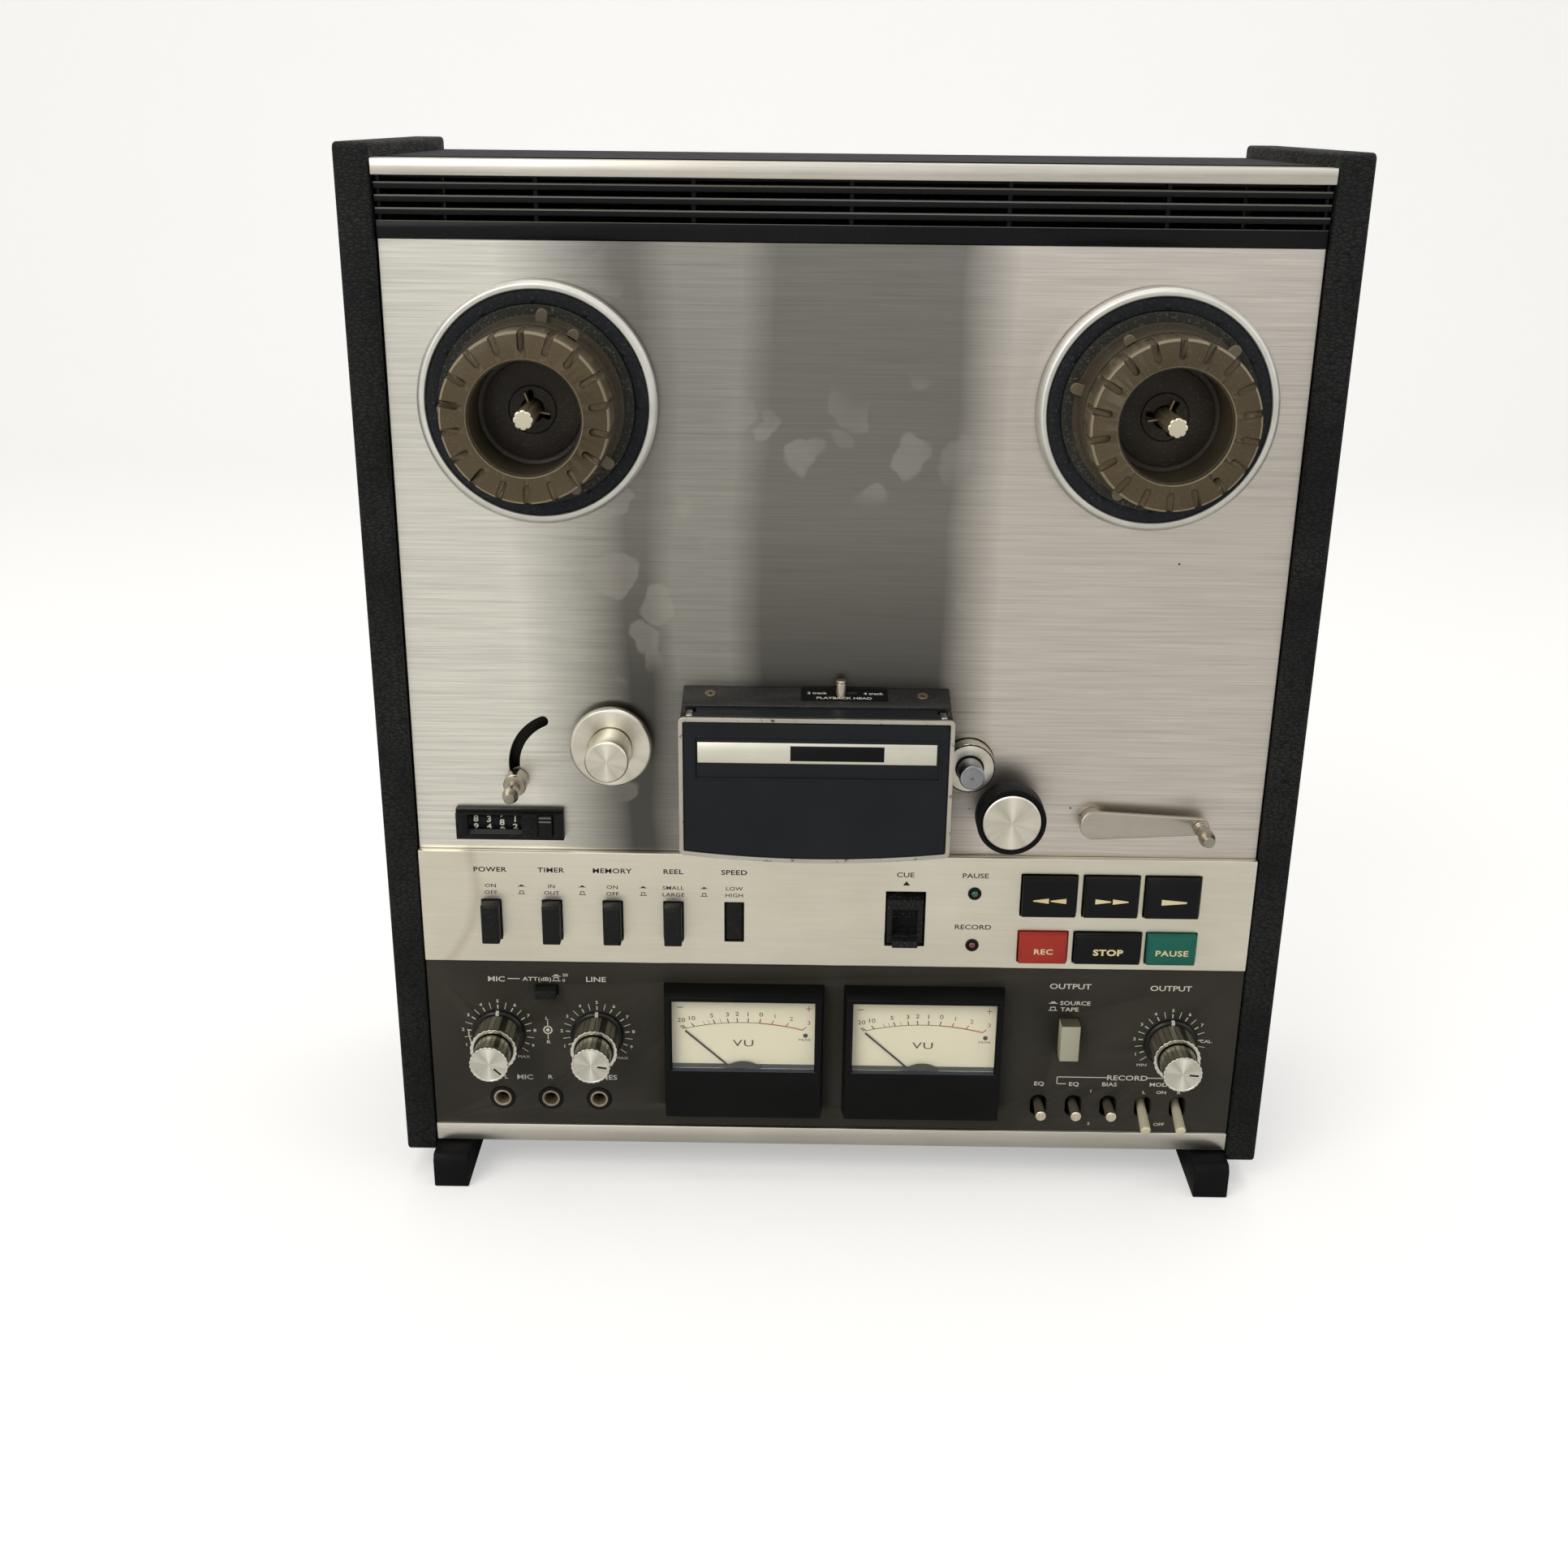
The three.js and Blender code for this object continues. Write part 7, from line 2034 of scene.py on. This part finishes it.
# Level meters: a tapered black case with a glass window, a cream card with its printed scale, a
# needle, a small glossy cover over the needle's root, and a lamp for the peaks.
meter_middles = {"left": -45.7, "right": 45.7}
card_half = 36.7
card_bottom = 55.5
card_top = 95.9
card_back = 4.0
card_front = 4.3
pivot_height = 49.4
scale_radius = 118.0
scale_centre = -37.1
zero_place = 8.1
scale_left = -29.4
scale_right = 30.0
tick_length = 2.5
black_ticks = (
    (-30.2, 0.5),
    (-29.2, 0.5),
    (-24.9, 0.5),
    (-19.4, 0.2),
    (-17.0, 0.2),
    (-14.4, 0.5),
    (-11.2, 0.2),
    (-7.6, 0.5),
    (-3.1, 0.5),
    (2.3, 0.5),
    (8.1, 0.5),
)
red_ticks = ((14.2, 0.5), (21.4, 0.5), (30.0, 0.5))
black_digits = (
    ("20", -31.6, 82.0),
    ("10", -26.5, 83.1),
    ("5", -16.2, 84.8),
    ("3", -8.2, 85.5),
    ("2", -3.3, 85.9),
    ("1", 2.3, 85.7),
    ("0", 8.9, 85.7),
)
red_digits = (("1", 15.9, 84.8), ("2", 24.2, 83.4), ("3", 33.2, 81.3))
card_digit_size = (2.4, card_front, 1.25, 0.005)
meter_word = (69.2, 3.9, card_front, 1.5, 0.0, 1.1)
peak_word = (71.5, 1.25, card_front, 1.6, 0.0, 1.05)
minus_sign = (-33.6, 89.2, -30.6, 89.2)
plus_sign = ((31.5, 89.2, 34.5, 89.2), (33.0, 87.7, 33.0, 90.7))
sign_weight = 0.4
black_arc = 0.3
red_arc = 0.6
peak_place = (31.5, 74.0)
peak_profile = [(0, 4.2), (1.15, 4.2), (1.15, 4.6), (0.75, 4.85), (0.5, 4.7), (0, 4.75)]
hood_arc = (45.3, 14.4, 44.5, 135.5, 28)
hood_reach = (5.7, 7.0)
frame_half = 36.75
meter_sill = [(4.3, 57.1), (9.9, 55.55), (9.9, 55.45), (4.3, 55.45)]
frame_reach = (8.9, 9.8)
frame_top = 95.05
frame_width = 0.65
frame_bottom = 56.0
pane_reach = (7.6, 8.0)
pane_bottom = 56.45
adjuster_place = (39.2, 2.9, 40)
adjuster_reach = (9.9, 10.08)
case_black = moulded("meter_case_moulding", srgb(19, 20, 20), srgb(14, 15, 15), 0.42, 2000.0, 0.04, 0.08)
card_cream = moulded("meter_card", srgb(236, 230, 204), srgb(231, 225, 197), 0.7, 1200.0, 0.01, 0.2)
card_black = moulded("card_black_print", srgb(40, 40, 38), srgb(30, 30, 28), 0.6, 1500.0, 0.01, 0.3)
card_red = moulded("card_red_print", srgb(176, 92, 80), srgb(160, 78, 68), 0.6, 1500.0, 0.01, 0.3)
sill_slate = moulded("meter_sill_slate", srgb(58, 64, 70), srgb(50, 56, 62), 0.38, 1900.0, 0.02, 0.25)
cover_gloss = moulded("needle_cover_gloss", srgb(16, 16, 17), srgb(11, 11, 12), 0.14, 900.0, 0.01, 0.6)
peak_lens = moulded("peak_lamp_lens", srgb(70, 34, 30), srgb(36, 22, 20), 0.2, 600.0, 0.01, 0.5)
glass = finish("meter_glass", (1.0, 1.0, 1.0, 1.0), 0.02, 0.0, 0.5, Transmission_Weight=1.0, IOR=1.45)
link(glass, glass.between(stretched(glass, 45.0, detail=4.0), 0.4, 0.75, 0.01, 0.05), "Roughness")
see_through = glass.node("ShaderNodeBsdfTransparent", Color=(0.96, 0.97, 0.96, 1))
shadow_ray = glass.node("ShaderNodeLightPath").outputs["Is Shadow Ray"]
glass_light = glass.shader.outputs[0]
pane_mix = glass.node("ShaderNodeMixShader", i0=shadow_ray, i1=glass_light, i2=see_through.outputs[0])
glass.tree.links.new(pane_mix.outputs[0], glass.tree.nodes["Material Output"].inputs["Surface"])


def scale_at(x):
    """The angle and height of the card's arc at a distance from the card's middle."""
    return math.degrees(math.acos(x / scale_radius)), scale_centre + math.sqrt(scale_radius ** 2 - x ** 2)


def card_tick(middle, x, width):
    z = scale_at(x)[1]
    away = Vector((x, z - pivot_height)).normalized() * tick_length
    return stroke(middle + x, z, middle + x + away.x, z + away.y, width, card_front)


def card_print(middle, arc_width, start, end, ticks, digits):
    """One colour's part of the scale: its arc, its ticks and its digits."""
    angles = (scale_at(start)[0], scale_at(end)[0])
    made = [printed(curved_slot((middle, scale_centre), scale_radius, arc_width, *angles), card_front)]
    made += [card_tick(middle, x, width) for x, width in ticks]
    return made + [word(text, middle + x, z, *card_digit_size) for text, x, z in digits]


def card_sign(middle, x0, z0, x1, z1):
    return stroke(middle + x0, z0, middle + x1, z1, sign_weight, card_front)


for side, middle in meter_middles.items():
    name = side + "_meter"
    dressed(name + "_shell", name + "_case", 0.35, case_black)
    card_span = (middle - card_half, middle + card_half)
    show(name + "_card", block(*card_span, card_back, card_front, card_bottom, card_top), card_cream)
    black_print = card_print(middle, black_arc, zero_place, scale_left, black_ticks, black_digits)
    black_print += [word("VU", middle, *meter_word), word("PEAK", middle + 31.3, *peak_word)]
    black_print.append(card_sign(middle, *minus_sign))
    show(name + "_print", merged(black_print), card_black)
    red_print = card_print(middle, red_arc, scale_right, zero_place, red_ticks, red_digits)
    red_print += [card_sign(middle, *line) for line in plus_sign]
    show(name + "_red_print", merged(red_print), card_red)
    peak_dome = turned(peak_profile, middle + peak_place[0], peak_place[1], 32, 0.05)
    show(side + "_peak_lamp", peak_dome, peak_lens)
    needle_hood = smooth(slab(arc(middle, *hood_arc), *hood_reach), 0.35, 3, 40)
    show(side + "_needle_cover", needle_hood, cover_gloss, slot="gloss_black")
    repainted(name + "_needle", card_black)
    edge_left, edge_right = middle - frame_half, middle + frame_half
    show(name + "_sill", rail(meter_sill, edge_left, edge_right), sill_slate)
    window_frame = [block(edge_left, edge_right, *frame_reach, frame_top, card_top + 0.05)]
    for x in (edge_left, edge_right - frame_width):
        window_frame.append(block(x, x + frame_width, *frame_reach, frame_bottom, frame_top))
    show(side + "_window_edge", faceted(merged(window_frame)), case_black)
    show(name + "_glass", block(*card_span, *pane_reach, pane_bottom, card_top), glass)
    adjuster = plate(circle(middle, *adjuster_place), [], *adjuster_reach, 0.05)
    show(name + "_adjuster", adjuster, case_black)

# Rear fittings: twelve cross-head screws hold the cover. Four phono sockets have nickel shells, and
# white and red insulators; three flat pins stand in the mains inlet. The labels are screen printed.
rear_plane = -165.0
screw_columns = 2
screw_rows = 6
screw_spread = 396.0
screw_pitch = 88.0
screw_bottom = 28.0
rear_screw_radius = 3.2
socket_middle = (120.0, 70.0)
socket_pitch = (18.0, 16.0)
socket_end = -171.5
insulator_tones = {"white": srgb(214, 212, 202), "red": srgb(158, 44, 38)}
inlet_pin_places = ((-145.5, 70.0), (-134.5, 70.0), (-140.0, 73.4))
inlet_pin_size = (1.8, 4)
inlet_pin_reach = (-162.5, -152.8)
rear_words = (
    ("L", 98.0, 78.0, 3.0),
    ("R", 98.0, 62.0, 3.0),
    ("LINE IN", 131.5, 91.5, 2.6),
    ("LINE OUT", 108.5, 91.5, 2.6),
    ("AC IN", -140.0, 86.0, 3.0),
)


def behind(mesh, place):
    """A mesh that was built upright where all measures start, turned to face the rear and placed."""
    about = Matrix.Rotation(math.pi, 4, "Z") @ Matrix.Translation(-at(0, 0, 0))
    mesh.transform(Matrix.Translation(place) @ about)
    return mesh


def screw_grid(sketch, size):
    """Screws on an upright grid."""
    sizes = {"Size_X": size["Width"], "Size_Y": size["Height"]}
    grid = sketch.node("GeometryNodeMeshGrid", **sizes, Vertices_X=size["Columns"], Vertices_Y=size["Rows"])
    screw = sketch.node("GeometryNodeObjectInfo", Object=screw_draft).outputs["Geometry"]
    return on_points(sketch, upright(sketch, grid.outputs[0], size), screw)


cover_screw = moulded("cover_screw_steel", srgb(70, 70, 72), srgb(44, 44, 46), 0.4, 900.0, 0.04, metal=0.8)
screw_draft = placed("screw_draft", behind(cross_screw(rear_screw_radius), (0, 0, 0)))
grid_height = (screw_rows - 1) * screw_pitch
grid_sizes = {
    "Width": screw_spread * mm,
    "Height": grid_height * mm,
    "Columns": screw_columns,
    "Rows": screw_rows,
    "Place": tuple(at(0, rear_plane, screw_bottom + grid_height / 2)),
}
cover_screws = grown("cover_screws", grid_sizes, screw_grid, cover_screw)
bpy.data.objects.remove(screw_draft)
show("rear_cover_screws", cover_screws, cover_screw, slot="plated_steel")
shell_back = rear_plane - 1.4
shell_front = socket_end - 0.12
shell_profile = [
    (3.5, shell_back),
    (4.3, shell_back),
    (4.3, socket_end),
    (4.0, shell_front),
    (3.5, shell_front),
]
insert_back = socket_end + 0.6
insert_front = socket_end - 0.08
insert_profile = [(1.9, insert_back), (3.5, insert_back), (3.5, insert_front), (1.9, insert_front)]
socket_shells = []
for row, (tone_name, tone) in enumerate(insulator_tones.items()):
    z = socket_middle[1] + (0.5 - row) * socket_pitch[1]
    columns = [socket_middle[0] + side * socket_pitch[0] for side in (-0.5, 0.5)]
    socket_shells += [turned(shell_profile, x, z, 48, 0.08, ring=True) for x in columns]
    inserts = [turned(insert_profile, x, z, 40, 0.05, ring=True) for x in columns]
    insulator = moulded(tone_name + "_insulator", tone, tuple(0.8 * part for part in tone[:3]) + (1.0,), 0.4)
    show(tone_name + "_socket_inserts", merged(inserts), insulator, slot="dark_cover")
show("socket_shells", merged(socket_shells), nickel, slot="dark_cover")
pin_half = inlet_pin_size[0] / 2
pin_rise = inlet_pin_size[1] / 2
inlet_pins = [
    block(x - pin_half, x + pin_half, *inlet_pin_reach, z - pin_rise, z + pin_rise)
    for x, z in inlet_pin_places
]
show("inlet_pins", smooth(merged(inlet_pins), 0.3, 2), tip_bright, slot="dark_cover")
rear_print = [
    behind(word(text, 0, 0, size, 0.0, 1.2, 0.01), at(x, rear_plane, z)) for text, x, z, size in rear_words
]
show("rear_lettering", merged(rear_print), white_ink, slot="dark_cover")

# Sizes: the frame's box and the visual model's box, each as a list of its two corners.
size_boxes = {"frame": cad_box, "visual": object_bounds()}
{name: [list(corner) for corner in box] for name, box in size_boxes.items()}
